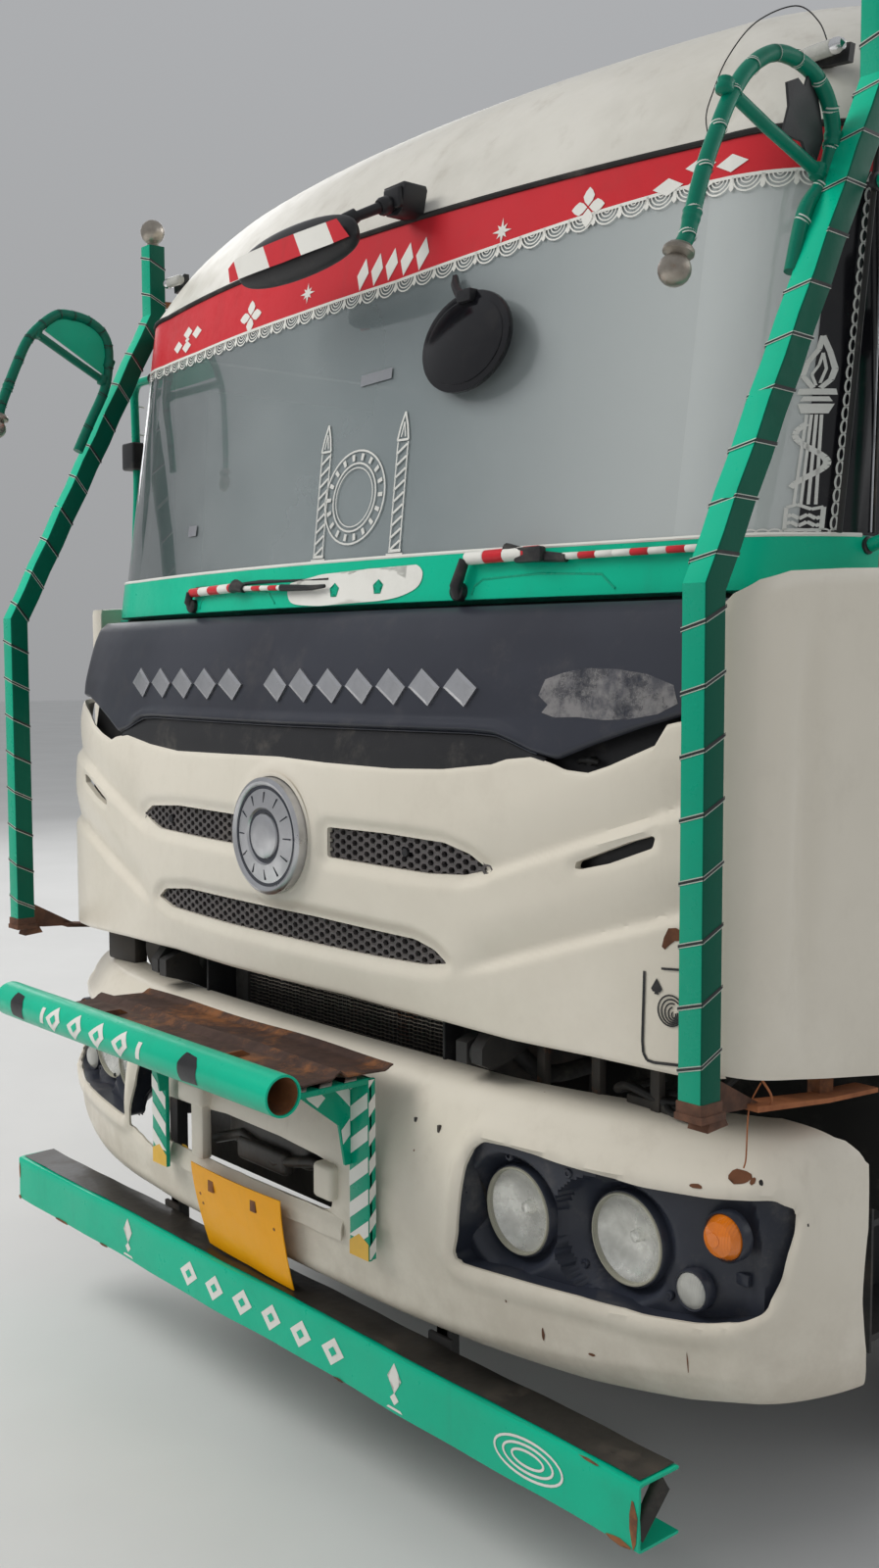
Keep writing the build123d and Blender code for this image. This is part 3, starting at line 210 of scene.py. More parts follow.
def plastic(name, base, shade, rough=0.45, grain=260.0, bumpy=0.15, dust=0.25, dustc=(0.30, 0.27, 0.23)):
    n = NT(name, rough=rough)
    a = n.noise(3.0, 5, 0.6)
    c1 = n.mix(n.step(a, 0.35, 0.7), base, shade)
    d = n.math("MULTIPLY", n.step(n.noise(9.0, 7, 0.72), 0.5, 0.8), dust)
    n.col(n.mix(d, c1, dustc))
    n.rough(n.math("ADD", n.math("MULTIPLY", d, 0.6), n.step(a, 0.3, 0.7, rough - 0.06, rough + 0.06), clamp=True))
    n.bump(n.voro(grain), bumpy, 0.0006)
    return n.m


def metal(name, base, shade, rough=0.35, metallic=1.0, rusty=0.0, rust=(0.20, 0.075, 0.03), bumpy=0.1):
    n = NT(name, metallic=metallic, rough=rough)
    a = n.noise(14.0, 6, 0.65)
    c1 = n.mix(n.step(a, 0.35, 0.7), base, shade)
    if rusty:
        k = n.step(n.noise(6.0, 9, 0.75), 0.62 - 0.25 * rusty, 0.75 - 0.2 * rusty)
        c1 = n.mix(k, c1, n.mix(n.noise(40.0, 5), rust, (rust[0] * 1.9, rust[1] * 2.2, rust[2] * 2.2)))
    n.col(c1)
    n.rough(n.step(a, 0.3, 0.75, rough, min(1.0, rough + 0.25)))
    n.bump(n.noise(90.0, 5, 0.7), bumpy, 0.001)
    return n.m


def glass(name, tint=(0.42, 0.47, 0.48), alpha=0.6, rough=0.03):
    n = NT(name, rough=rough, spec=0.9, coat=1.0, coat_rough=0.02, ior=1.52)
    d = n.step(n.noise(2.0, 6, 0.6), 0.35, 0.75)
    n.col(n.mix(d, tint, tuple(min(1, x * 1.25) for x in tint)))
    n.b.inputs["Alpha"].default_value = alpha
    n.rough(n.step(n.noise(7.0, 7, 0.7), 0.4, 0.8, rough, rough + 0.05))
    return n.m


CREAM = paint("cream_paint", (0.76, 0.71, 0.61), (0.70, 0.65, 0.55), dirt=(0.38, 0.33, 0.26), dirty=0.16, rough=0.34, coat=0.2, low=(0.5, 1.6, 0.25), streak=0.16)
CREAM_BUMPER = paint("cream_bumper", (0.76, 0.71, 0.61), (0.69, 0.64, 0.54), dirt=(0.34, 0.28, 0.21), dirty=0.25, rough=0.36, coat=0.15, low=(0.40, 0.75, 0.4), chips=0.5, streak=0.22)
CREAM_ROOF = paint("cream_roof", (0.70, 0.67, 0.59), (0.62, 0.59, 0.52), dirt=(0.32, 0.28, 0.23), dirty=0.3, rough=0.45, coat=0.1, streak=0.3)
TEAL = paint("teal_enamel", (0.0, 0.36, 0.215), (0.0, 0.30, 0.18), dirt=(0.03, 0.12, 0.08), dirty=0.22, rough=0.30, coat=0.06, spec=0.3, bumpy=0.2, streak=0.15)
# painted shade: darker copy of the teal for the guard posts' sides and backs
TEAL_PAINTED_SHADE = paint("teal_painted_shade", (0.0, 0.115, 0.070), (0.0, 0.085, 0.050), dirt=(0.02, 0.05, 0.04), dirty=0.25, rough=0.40, coat=0.0, spec=0.2, bumpy=0.2, streak=0.1)
TEAL_DEEP = paint("teal_pipe", (0.0, 0.185, 0.115), (0.0, 0.13, 0.08), dirt=(0.03, 0.06, 0.04), dirty=0.35, rough=0.32, coat=0.05, spec=0.3, bumpy=0.25, streak=0.15)
# bright teal paint, also used as a painted highlight on the posts' upward faces
TEAL_BRIGHT_AND_HIGHLIGHT = paint("teal_bright_and_highlight", (0.0, 0.50, 0.30), (0.0, 0.44, 0.26), dirt=(0.04, 0.15, 0.10), dirty=0.2, rough=0.32, coat=0.06, spec=0.3, bumpy=0.2, streak=0.15)
TEAL_BODY = paint("teal_body", (0.01, 0.33, 0.26), (0.01, 0.26, 0.21), dirt=(0.20, 0.17, 0.12), dirty=0.35, rough=0.4, coat=0.15, low=(1.1, 1.9, 0.45), chips=0.2, streak=0.35)
CREAM_BODY = paint("cream_body", (0.70, 0.64, 0.50), (0.62, 0.56, 0.44), dirt=(0.28, 0.22, 0.16), dirty=0.35, rough=0.45, coat=0.1, chips=0.2, streak=0.35)
RED = paint("red_paint", (0.60, 0.025, 0.035), (0.52, 0.02, 0.03), dirt=(0.22, 0.07, 0.06), dirty=0.2, rough=0.35, coat=0.06, spec=0.3)
WHITE = paint("white_paint", (0.80, 0.79, 0.74), (0.72, 0.71, 0.66), dirt=(0.40, 0.38, 0.33), dirty=0.25, rough=0.4, coat=0.1)
YELLOW = paint("yellow_plate", (0.95, 0.42, 0.0), (0.90, 0.37, 0.0), dirt=(0.40, 0.20, 0.03), dirty=0.22, rough=0.36, coat=0.05, spec=0.3)
YELLOW_PAINT = paint("yellow_paint", (0.80, 0.48, 0.05), (0.72, 0.42, 0.05), dirt=(0.30, 0.20, 0.08), dirty=0.3, rough=0.4, coat=0.1)
CHARCOAL = plastic("charcoal_band", (0.034, 0.037, 0.050), (0.028, 0.030, 0.041), rough=0.36, bumpy=0.05, dust=0.12)
BLACK = plastic("black_plastic", (0.014, 0.014, 0.016), (0.022, 0.022, 0.024), rough=0.42, dust=0.25)
BLACK_GLOSS = plastic("black_gloss", (0.006, 0.006, 0.008), (0.010, 0.010, 0.012), rough=0.15, dust=0.05, bumpy=0.02)
HOUSING = plastic("lamp_housing", (0.022, 0.026, 0.038), (0.030, 0.034, 0.048), rough=0.32, dust=0.3, bumpy=0.05)
RUBBER = plastic("rubber_seal", (0.012, 0.012, 0.012), (0.020, 0.019, 0.018), rough=0.6, dust=0.35)
GRIME = plastic("greasy_black", (0.012, 0.011, 0.010), (0.040, 0.035, 0.030), rough=0.38, grain=60.0, bumpy=0.6, dust=0.5, dustc=(0.16, 0.13, 0.10))
CHASSIS = paint("chassis_black", (0.022, 0.022, 0.024), (0.035, 0.033, 0.031), dirt=(0.17, 0.13, 0.10), dirty=0.6, rough=0.55, coat=0.0, bumpy=0.3, chips=0.3)
IRON = metal("oily_iron", (0.05, 0.048, 0.045), (0.09, 0.08, 0.07), rough=0.5, metallic=0.6, rusty=0.35)
RUSTY = metal("rusty_plate", (0.16, 0.07, 0.04), (0.10, 0.05, 0.035), rough=0.7, metallic=0.1, rusty=0.9)
RUST_ORANGE = metal("rust_orange", (0.36, 0.13, 0.05), (0.22, 0.08, 0.035), rough=0.75, metallic=0.1, rusty=0.4, rust=(0.26, 0.09, 0.03))
STEEL = metal("bare_steel", (0.42, 0.38, 0.33), (0.28, 0.25, 0.21), rough=0.28, metallic=0.9, rusty=0.3)
SPRING = metal("spring_steel", (0.10, 0.09, 0.085), (0.16, 0.13, 0.11), rough=0.5, metallic=0.7, rusty=0.7)
SATIN = metal("satin_silver", (0.66, 0.66, 0.68), (0.58, 0.58, 0.60), rough=0.26, bumpy=0.02)
CHROME = metal("chrome", (0.82, 0.82, 0.83), (0.74, 0.74, 0.75), rough=0.10, bumpy=0.02)
REFLECTOR = metal("reflector", (0.88, 0.88, 0.83), (0.52, 0.52, 0.48), rough=0.20, metallic=0.6, bumpy=0.12)
FINS = metal("radiator_fins", (0.13, 0.125, 0.12), (0.08, 0.075, 0.07), rough=0.55, metallic=0.6)
WHEEL = paint("wheel_paint", (0.36, 0.35, 0.32), (0.28, 0.27, 0.25), dirt=(0.14, 0.11, 0.08), dirty=0.65, rough=0.5, coat=0.05, chips=0.4)
MESHM = plastic("mesh_plastic", (0.105, 0.095, 0.095), (0.075, 0.068, 0.068), rough=0.5, dust=0.5, dustc=(0.26, 0.23, 0.21))
SCREEN = NT("screen_glass", rough=0.03, spec=0.9, coat=1.0, coat_rough=0.02, ior=1.52)
# painted reflection: the windscreen's tint runs from dark on the truck's right to pale on its left, standing in for the
# sky seen in the glass
_x = SCREEN.xyz()[0]
_c = SCREEN.mix(SCREEN.step(_x, -1.1, 0.2), (0.10, 0.125, 0.13), (0.27, 0.32, 0.33))
_c = SCREEN.mix(SCREEN.step(_x, 0.2, 1.1), _c, (0.70, 0.74, 0.73))
SCREEN.col(SCREEN.mix(SCREEN.math("MULTIPLY", SCREEN.step(SCREEN.noise(2.0, 6, 0.6), 0.35, 0.75), 0.25), _c, (0.55, 0.60, 0.60)))
SCREEN.b.inputs["Alpha"].default_value = 0.62
SCREEN.rough(SCREEN.step(SCREEN.noise(7.0, 7, 0.7), 0.4, 0.8, 0.03, 0.08))
SCREEN = SCREEN.m
SIDE_GLASS = glass("side_glass", (0.10, 0.12, 0.12), 0.72)
FLOOR_STEEL = paint("floor_steel", (0.16, 0.12, 0.09), (0.10, 0.08, 0.065), dirt=(0.26, 0.15, 0.08), dirty=0.7, rough=0.6, coat=0.0, bumpy=0.4)
TANK = paint("tank_paint", (0.035, 0.036, 0.04), (0.05, 0.05, 0.052), dirt=(0.20, 0.16, 0.12), dirty=0.5, rough=0.4, coat=0.1)
DASH = plastic("dash_plastic", (0.12, 0.12, 0.115), (0.09, 0.09, 0.085), rough=0.6, grain=340.0, bumpy=0.3, dust=0.3)


def tyre_mat():
    n = NT("tyre_rubber", rough=0.7, spec=0.35)
    d = n.step(n.noise(3.5, 7, 0.7), 0.35, 0.75)
    n.col(n.mix(n.math("MULTIPLY", d, 0.55), (0.016, 0.016, 0.017), (0.14, 0.115, 0.09)))
    n.bump(n.noise(160.0, 4, 0.7), 0.25, 0.0015)
    return n.m


def lens_mat(name, colr, alpha=0.75):
    n = NT(name, rough=0.12, coat=0.8, coat_rough=0.05)
    n.col(n.mix(n.step(n.noise(12.0, 4), 0.35, 0.7), colr, tuple(x * 0.8 for x in colr)))
    n.b.inputs["Alpha"].default_value = alpha
    n.bump(n.wave(70.0, direction="X"), 0.35, 0.001)
    return n.m


TYRE = tyre_mat()
AMBER = lens_mat("amber_lens", (0.80, 0.20, 0.007), 0.92)
RED_LENS = lens_mat("red_lens", (0.5, 0.01, 0.01), 0.95)
CLEAR = lens_mat("clear_lens", (0.92, 0.92, 0.86), 0.16)
RIM_LAMP = plastic("lamp_rim", (0.42, 0.41, 0.33), (0.34, 0.33, 0.26), rough=0.4, dust=0.3)
FROST = lens_mat("frosted_lens", (0.50, 0.50, 0.46), 0.9)


def fabric(name, base, shade):
    n = NT(name, rough=0.85, sheen=0.35, spec=0.2)
    w1 = n.wave(420.0, direction="X")
    w2 = n.wave(420.0, direction="Z")
    weave = n.math("MULTIPLY", w1, w2)
    c1 = n.mix(n.step(n.noise(6.0, 5), 0.35, 0.7), base, shade)
    n.col(n.mix(n.math("MULTIPLY", weave, 0.35), c1, tuple(x * 0.5 for x in shade)))
    n.bump(weave, 0.4, 0.0008)
    return n.m


SEAT = fabric("seat_fabric", (0.22, 0.04, 0.045), (0.16, 0.03, 0.035))
SEAT_TRIM = fabric("seat_trim", (0.06, 0.06, 0.065), (0.04, 0.04, 0.045))

CAD_MATS = {
    "cream_paint": CREAM, "teal_paint": TEAL, "charcoal_plastic": CHARCOAL, "black_plastic": BLACK, "chassis_paint": CHASSIS,
    "cast_iron": IRON, "spring_steel": SPRING, "wheel_steel": WHEEL, "tyre": TYRE, "aluminium": FINS, "lamp_glass": REFLECTOR,
    "amber": AMBER, "red_lens": RED_LENS, "screen_glass": SCREEN, "silver_badge": SATIN, "mesh_plastic": MESHM, "plate_yellow": YELLOW,
    "seat_fabric": SEAT, "dash_plastic": DASH, "body_paint": TEAL_BODY, "floor_steel": FLOOR_STEEL, "tank_steel": TANK,
}
slot_of = {p["node"]: p["material_slot"] for p in frame["record"]["subparts"]}
for name, o in NODES.items():
    m = CAD_MATS[slot_of[name]]
    if not o.material_slots:
        o.data.materials.append(m)
    for sl in o.material_slots:
        sl.material = m


# ------------------------------------------------------------------ mesh kit
class Bld:
    """gathers vertices in the drawing frame (mm) and makes one mesh object"""

    def __init__(self):
        self.v, self.f = [], []

    def add(self, verts, faces):
        n = len(self.v)
        self.v += [tuple(p) for p in verts]
        self.f += [tuple(i + n for i in q) for q in faces]
        return self

    def bm(self, b):
        b.verts.index_update()
        self.add([v.co[:] for v in b.verts], [[v.index for v in f.verts] for f in b.faces])
        b.free()
        return self

    def box(self, x0, x1, y0, y1, z0, z1, bev=0.0, seg=2):
        b = bmesh.new()
        bmesh.ops.create_cube(b, size=1.0)
        for v in b.verts:
            v.co = Vector(((x0 + x1) / 2 + v.co.x * abs(x1 - x0), (y0 + y1) / 2 + v.co.y * abs(y1 - y0), (z0 + z1) / 2 + v.co.z * abs(z1 - z0)))
        if bev:
            bmesh.ops.bevel(b, geom=b.edges[:], offset=bev, segments=seg, affect="EDGES", profile=0.5)
        return self.bm(b)

    def rod(self, a, b_, r, r2=None, seg=24, cap=True):
        a, b_ = Vector(a), Vector(b_)
        d = (b_ - a).normalized()
        e = d.orthogonal().normalized()
        g = d.cross(e)
        r2 = r if r2 is None else r2
        n = seg
        vs = [a + (e * cos(2 * pi * i / n) + g * sin(2 * pi * i / n)) * r for i in range(n)]
        vs += [b_ + (e * cos(2 * pi * i / n) + g * sin(2 * pi * i / n)) * r2 for i in range(n)]
        fs = [(i, (i + 1) % n, n + (i + 1) % n, n + i) for i in range(n)]
        if cap:
            fs += [tuple(range(n))[::-1], tuple(range(n, 2 * n))]
        return self.add(vs, fs)

    def lathe(self, prof, o, axis, seg=48, ref=None, closed=False):
        """prof is (distance along the axis, radius)"""
        o, ax = Vector(o), Vector(axis).normalized()
        e = (Vector(ref).normalized() if ref else ax.orthogonal().normalized())
        g = ax.cross(e)
        vs, fs = [], []
        m = len(prof)
        for i in range(seg):
            t = 2 * pi * i / seg
            d = e * cos(t) + g * sin(t)
            vs += [o + ax * h + d * max(r, 0.001) for h, r in prof]
        for i in range(seg):
            j = (i + 1) % seg
            for k in range(m - 1 + (1 if closed else 0)):
                k2 = (k + 1) % m
                fs.append((i * m + k, i * m + k2, j * m + k2, j * m + k))
        return self.add(vs, fs)

    def tube(self, pts, r, seg=12, cap=True, flat=1.0, up=None):
        pts = [Vector(p) for p in pts]
        n = len(pts)
        rs = r if isinstance(r, (list, tuple)) else [r] * n
        tang = [(pts[min(i + 1, n - 1)] - pts[max(i - 1, 0)]).normalized() for i in range(n)]
        e = Vector(up).normalized() if up else tang[0].orthogonal().normalized()
        vs, fs = [], []
        for i in range(n):
            e = (e - tang[i] * e.dot(tang[i])).normalized()
            g = tang[i].cross(e)
            vs += [pts[i] + (e * cos(2 * pi * k / seg) + g * sin(2 * pi * k / seg) * flat) * rs[i] for k in range(seg)]
        for i in range(n - 1):
            for k in range(seg):
                k2 = (k + 1) % seg
                fs.append((i * seg + k, i * seg + k2, (i + 1) * seg + k2, (i + 1) * seg + k))
        if cap:
            fs += [tuple(range(seg))[::-1], tuple(range((n - 1) * seg, n * seg))]
        return self.add(vs, fs)

    def grid(self, fn, us, vs_):
        pts = [fn(u, v) for u in us for v in vs_]
        m = len(vs_)
        fs = [(i * m + k, i * m + k + 1, (i + 1) * m + k + 1, (i + 1) * m + k) for i in range(len(us) - 1) for k in range(m - 1)]
        return self.add(pts, fs)

    def plate(self, pts, fn, t):
        """outline pts mapped by fn(u, v, depth) to 3-D, t thick"""
        n = len(pts)
        vs = [fn(u, v, 0.0) for u, v in pts] + [fn(u, v, t) for u, v in pts]
        fs = [tuple(range(n)), tuple(range(n, 2 * n))[::-1]] + [(i, i + n, (i + 1) % n + n, (i + 1) % n) for i in range(n)]
        return self.add(vs, fs)

    def ball(self, c_, r, seg=24, rings=14, squash=1.0):
        prof = [(-r * squash * cos(pi * i / rings), r * sin(pi * i / rings)) for i in range(rings + 1)]
        return self.lathe(prof, c_, (0, 0, 1), seg)

    def make(self, name, mat, body, slot=None, replaces=(), angle=35, weld=0.0, solid=0.0, bevel=0.0, sub=0):
        me = bpy.data.meshes.new(name)
        me.from_pydata([P(p) for p in self.v], [], self.f)
        b = bmesh.new()
        b.from_mesh(me)
        bmesh.ops.remove_doubles(b, verts=b.verts[:], dist=max(weld, 1e-5))
        dead = [f for f in b.faces if f.calc_area() < 1e-12]
        if dead:
            bmesh.ops.delete(b, geom=dead, context="FACES")
        if solid == 0.0:
            bmesh.ops.recalc_face_normals(b, faces=b.faces[:])
        b.to_mesh(me)
        b.free()
        me.materials.append(mat)
        o = bpy.data.objects.new(name, me)
        bpy.context.scene.collection.objects.link(o)
        if solid:
            md = o.modifiers.new("s", "SOLIDIFY")
            md.thickness = solid / 1000.0
            md.offset = -1.0
        if bevel:
            md = o.modifiers.new("b", "BEVEL")
            md.width = bevel / 1000.0
            md.segments = 2
            md.limit_method = "ANGLE"
            md.angle_limit = radians(40)
        if sub:
            md = o.modifiers.new("u", "SUBSURF")
            md.levels = md.render_levels = sub
        if solid or bevel or sub:
            apply_mods(o)
        me = o.data
        me.shade_smooth()
        me.set_sharp_from_angle(angle=radians(angle))
        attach(o, body)
        if replaces:
            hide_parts(*([replaces] if isinstance(replaces, str) else replaces))
        return o


def apply_mods(o):
    dg = bpy.context.evaluated_depsgraph_get()
    me = bpy.data.meshes.new_from_object(o.evaluated_get(dg))
    mats = list(o.data.materials)
    o.modifiers.clear()
    old = o.data
    o.data = me
    if not me.materials:
        for m in mats:
            me.materials.append(m)
    bpy.data.meshes.remove(old)


def cut(o, cutters, solver="EXACT"):
    """boolean difference with closed cutter meshes (Bld objects)"""
    for k, cb in enumerate(cutters):
        me = bpy.data.meshes.new("cutter")
        me.from_pydata([P(p) for p in cb.v], [], cb.f)
        b = bmesh.new()
        b.from_mesh(me)
        bmesh.ops.recalc_face_normals(b, faces=b.faces[:])
        b.to_mesh(me)
        b.free()
        co_ = bpy.data.objects.new("cutter", me)
        bpy.context.scene.collection.objects.link(co_)
        md = o.modifiers.new("c", "BOOLEAN")
        md.operation = "DIFFERENCE"
        md.object = co_
        md.solver = solver
        bpy.context.view_layer.update()
        apply_mods(o)
        bpy.data.objects.remove(co_)


def lin(a, b, n):
    return [a + (b - a) * i / (n - 1) for i in range(n)]


def smooth(t):
    t = max(0.0, min(1.0, t))
    return t * t * (3 - 2 * t)


def interp(x, table):
    if x <= table[0][0]:
        return table[0][1]
    for (a, fa), (b, fb) in zip(table[:-1], table[1:]):
        if x <= b:
            return fa + (fb - fa) * (x - a) / (b - a)
    return table[-1][1]


def round_path(pts, r, n=6):
    """corner points to a path with rounded corners"""
    pts = [Vector(p) for p in pts]
    out = [pts[0]]
    for i in range(1, len(pts) - 1):
        a, b, c_ = pts[i - 1], pts[i], pts[i + 1]
        d1, d2 = (a - b), (c_ - b)
        k = min(r, d1.length * 0.48, d2.length * 0.48)
        p0, p1 = b + d1.normalized() * k, b + d2.normalized() * k
        for j in range(n + 1):
            t = j / n
            out.append(p0 * (1 - t) ** 2 + b * 2 * t * (1 - t) + p1 * t * t)
    out.append(pts[-1])
    return out


# ------------------------------------------------------------------ surfaces of the cab's front
RAKE = 0.151


def circle3(p, q, r):
    ax, ay = p; bx, by = q; cx, cy = r
    d = 2 * (ax * (by - cy) + bx * (cy - ay) + cx * (ay - by))
    ux = ((ax * ax + ay * ay) * (by - cy) + (bx * bx + by * by) * (cy - ay) + (cx * cx + cy * cy) * (ay - by)) / d
    uy = ((ax * ax + ay * ay) * (cx - bx) + (bx * bx + by * by) * (ax - cx) + (cx * cx + cy * cy) * (bx - ax)) / d
    return ux, uy, sqrt((ax - ux) ** 2 + (ay - uy) ** 2)


C1 = circle3((-900, 245), (0, 150), (900, 245))
C2 = circle3((900, 245), (1062, 305), (1150, 430))


def plan_y(x):
    """y of the upper cab's front at the windscreen's foot"""
    a = abs(x)
    if a <= 900:
        return C1[1] - sqrt(C1[2] ** 2 - (a - C1[0]) ** 2)
    a = min(a, 1149.9)
    return C2[1] - sqrt(max(0.0, C2[2] ** 2 - (a - C2[0]) ** 2))


def plan_pts(n1=36, n2=14, y_end=None):
    """points (x, y) of the plan from the right side round the front to the left side"""
    out = [(900 * (i / n1), plan_y(900 * i / n1)) for i in range(n1 + 1)]
    a0 = atan2(245 - C2[1], 900 - C2[0])
    a1 = atan2(430 - C2[1], 1150 - C2[0])
    for i in range(1, n2 + 1):
        t = a0 + (a1 - a0) * i / n2
        out.append((C2[0] + C2[2] * cos(t), C2[1] + C2[2] * sin(t)))
    if y_end:
        out.append((1150, y_end))
    return [(-x, y) for x, y in out[:0:-1]] + out


def screen_y(x, z):
    return plan_y(x) + RAKE * (z - 1865)


def flap_y(x, z):
    a = min(abs(x), 1090.0)
    y = 37 + 7.582e-5 * min(a, 1040) ** 2 + 6.4e-12 * min(a, 1040) ** 4
    if z > 1300:
        y += 4.1e-4 * (z - 1300) ** 2
    if a > 1030:
        y += ((a - 1030) / 60.0) ** 2 * 52
    return y





def poly_dist(x, z, poly):
    """distance to the outline, negative inside"""
    best, inside, n = 1e9, False, len(poly)
    for i in range(n):
        ax, az = poly[i]
        bx, bz = poly[(i + 1) % n]
        dx, dz = bx - ax, bz - az
        t = max(0.0, min(1.0, ((x - ax) * dx + (z - az) * dz) / (dx * dx + dz * dz + 1e-9)))
        d = (x - ax - t * dx) ** 2 + (z - az - t * dz) ** 2
        if d < best:
            best = d
        if (az > z) != (bz > z) and x < (bx - ax) * (z - az) / (bz - az) + ax:
            inside = not inside
    return -sqrt(best) if inside else sqrt(best)


def near(x, z, poly, m):
    xs = [p[0] for p in poly]
    zs = [p[1] for p in poly]
    return min(xs) - m < x < max(xs) + m and min(zs) - m < z < max(zs) + m


def prism(poly, y0, y1):
    return Bld().plate(poly, lambda x, z, d: (x, y0 + d, z), y1 - y0)


def join(*bs):
    out = Bld()
    for b in bs:
        out.add(b.v, b.f)
    return out


def mirror_x(poly):
    return [(-x, z) for x, z in poly][::-1]


def catmull(pts, n):
    out = []
    p = [pts[0]] + list(pts) + [pts[-1]]
    for i in range(1, len(p) - 2):
        for j in range(n):
            t = j / n
            out.append(tuple(0.5 * (2 * b + (c_ - a) * t + (2 * a - 5 * b + 4 * c_ - d) * t * t + (-a + 3 * b - 3 * c_ + d) * t ** 3)
                             for a, b, c_, d in zip(p[i - 1], p[i], p[i + 1], p[i + 2])))
    out.append(tuple(pts[-1]))
    return out


def rounded(poly, r, n=5):
    """closed outline with its corners rounded"""
    out = []
    m = len(poly)
    for i in range(m):
        a, b, c_ = Vector(poly[i - 1]), Vector(poly[i]), Vector(poly[(i + 1) % m])
        d1, d2 = a - b, c_ - b
        k = min(r, d1.length * 0.45, d2.length * 0.45)
        p0, p1 = b + d1.normalized() * k, b + d2.normalized() * k
        for j in range(n + 1):
            t = j / n
            q = p0 * (1 - t) ** 2 + b * 2 * t * (1 - t) + p1 * t * t
            out.append((q.x, q.y))
    return out


def decal(name, polys, fn, mat, body, step=30.0, slot=None, both=False):
    """flat shapes cut into strips and laid on a surface by fn(u, v)"""
    b = bmesh.new()
    for poly in polys:
        vs = [b.verts.new((u, v, 0)) for u, v in poly]
        try:
            b.faces.new(vs)
        except ValueError:
            pass
    bmesh.ops.triangulate(b, faces=b.faces[:], ngon_method="EAR_CLIP")
    us = [v.co.x for v in b.verts]
    k = math.floor(min(us) / step)
    while k * step < max(us):
        bmesh.ops.bisect_plane(b, geom=b.verts[:] + b.edges[:] + b.faces[:], plane_co=(k * step, 0, 0), plane_no=(1, 0, 0), dist=1e-4)
        k += 1
    if both:
        vv = [v.co.y for v in b.verts]
        k = math.floor(min(vv) / step)
        while k * step < max(vv):
            bmesh.ops.bisect_plane(b, geom=b.verts[:] + b.edges[:] + b.faces[:], plane_co=(0, k * step, 0), plane_no=(0, 1, 0), dist=1e-4)
            k += 1
    out = Bld()
    b.verts.index_update()
    out.add([fn(v.co.x, v.co.y) for v in b.verts], [[v.index for v in f.verts] for f in b.faces])
    b.free()
    return out.make(name, mat, body, slot=slot)


def onto(o, off):
    """laid on the mesh of o, met along the truck from the front"""
    me = o.data
    tree = BVHTree.FromPolygons([v.co.copy() for v in me.vertices], [tuple(p.vertices) for p in me.polygons])

    def fn(x, z):
        a = Vector(P((x, -900, z)))
        hit = tree.ray_cast(a, Vector((0, 1, 0)))
        if hit[0] is None:
            return (x, 200.0, z)
        return (x, -900 - off + (hit[0].y - a.y) * 1000, z)
    return fn


def ring_polys(cx, cz, rx, rz, w, a0=0.0, a1=360.0, n=32):
    out = []
    for i in range(n):
        p, q = radians(a0 + (a1 - a0) * i / n), radians(a0 + (a1 - a0) * (i + 1) / n)
        out.append([(cx + rx * cos(p), cz + rz * sin(p)), (cx + rx * cos(q), cz + rz * sin(q)),
                    (cx + (rx - w) * cos(q), cz + (rz - w) * sin(q)), (cx + (rx - w) * cos(p), cz + (rz - w) * sin(p))])
    return out


def line_polys(pts, w):
    out = []
    for (ax, az), (bx, bz) in zip(pts[:-1], pts[1:]):
        d = sqrt((bx - ax) ** 2 + (bz - az) ** 2) or 1.0
        nx, nz = -(bz - az) / d * w / 2, (bx - ax) / d * w / 2
        out.append([(ax + nx, az + nz), (bx + nx, bz + nz), (bx - nx, bz - nz), (ax - nx, az - nz)])
    return out


def star(cx, cz, n, r1, r2, rot=90.0, sx=1.0):
    return [(cx + sx * (r1 if i % 2 == 0 else r2) * cos(radians(rot + 180.0 * i / n)), cz + (r1 if i % 2 == 0 else r2) * sin(radians(rot + 180.0 * i / n))) for i in range(2 * n)]


def diamond(cx, cz, w, h, lean=0.0):
    return [(cx - w / 2, cz), (cx + lean, cz + h / 2), (cx + w / 2, cz), (cx - lean, cz - h / 2)]


def clip(poly, x0, x1, z0, z1):
    for ax, lim, keep in ((0, x0, 1), (0, x1, -1), (1, z0, 1), (1, z1, -1)):
        out = []
        for i in range(len(poly)):
            a, b = poly[i - 1], poly[i]
            ia, ib = (a[ax] - lim) * keep >= 0, (b[ax] - lim) * keep >= 0
            if ia != ib:
                t = (lim - a[ax]) / (b[ax] - a[ax])
                out.append((a[0] + (b[0] - a[0]) * t, a[1] + (b[1] - a[1]) * t))
            if ib:
                out.append(b)
        poly = out
        if not poly:
            return []
    return poly


# ------------------------------------------------------------------ front flap: white panel
TOP_R = ((0, 1464), (158, 1459), (366, 1457), (498, 1462), (618, 1476), (652, 1487), (709, 1494), (758, 1482), (785, 1473), (833, 1470), (873, 1483), (960, 1521), (968, 1538), (976, 1555), (1001, 1561), (1085, 1564))
TOP_L = ((0, 1464), (424, 1458), (571, 1468), (704, 1485), (782, 1476), (804, 1468), (872, 1482), (933, 1501), (985, 1530), (1055, 1561), (1085, 1564))
BOT = ((-1085, 975), (-944, 976), (-690, 990), (-421, 999), (-186, 996), (227, 999), (508, 992), (677, 985), (849, 985), (1085, 980))
UP_R = rounded([(170, 1330), (349, 1331), (509, 1326), (571, 1310), (609, 1284), (559, 1270), (465, 1264), (320, 1266), (170, 1269)], 9)
UP_L = rounded([(-142, 1331), (-142, 1266), (-319, 1268), (-511, 1272), (-607, 1299), (-552, 1323), (-410, 1333)], 9)
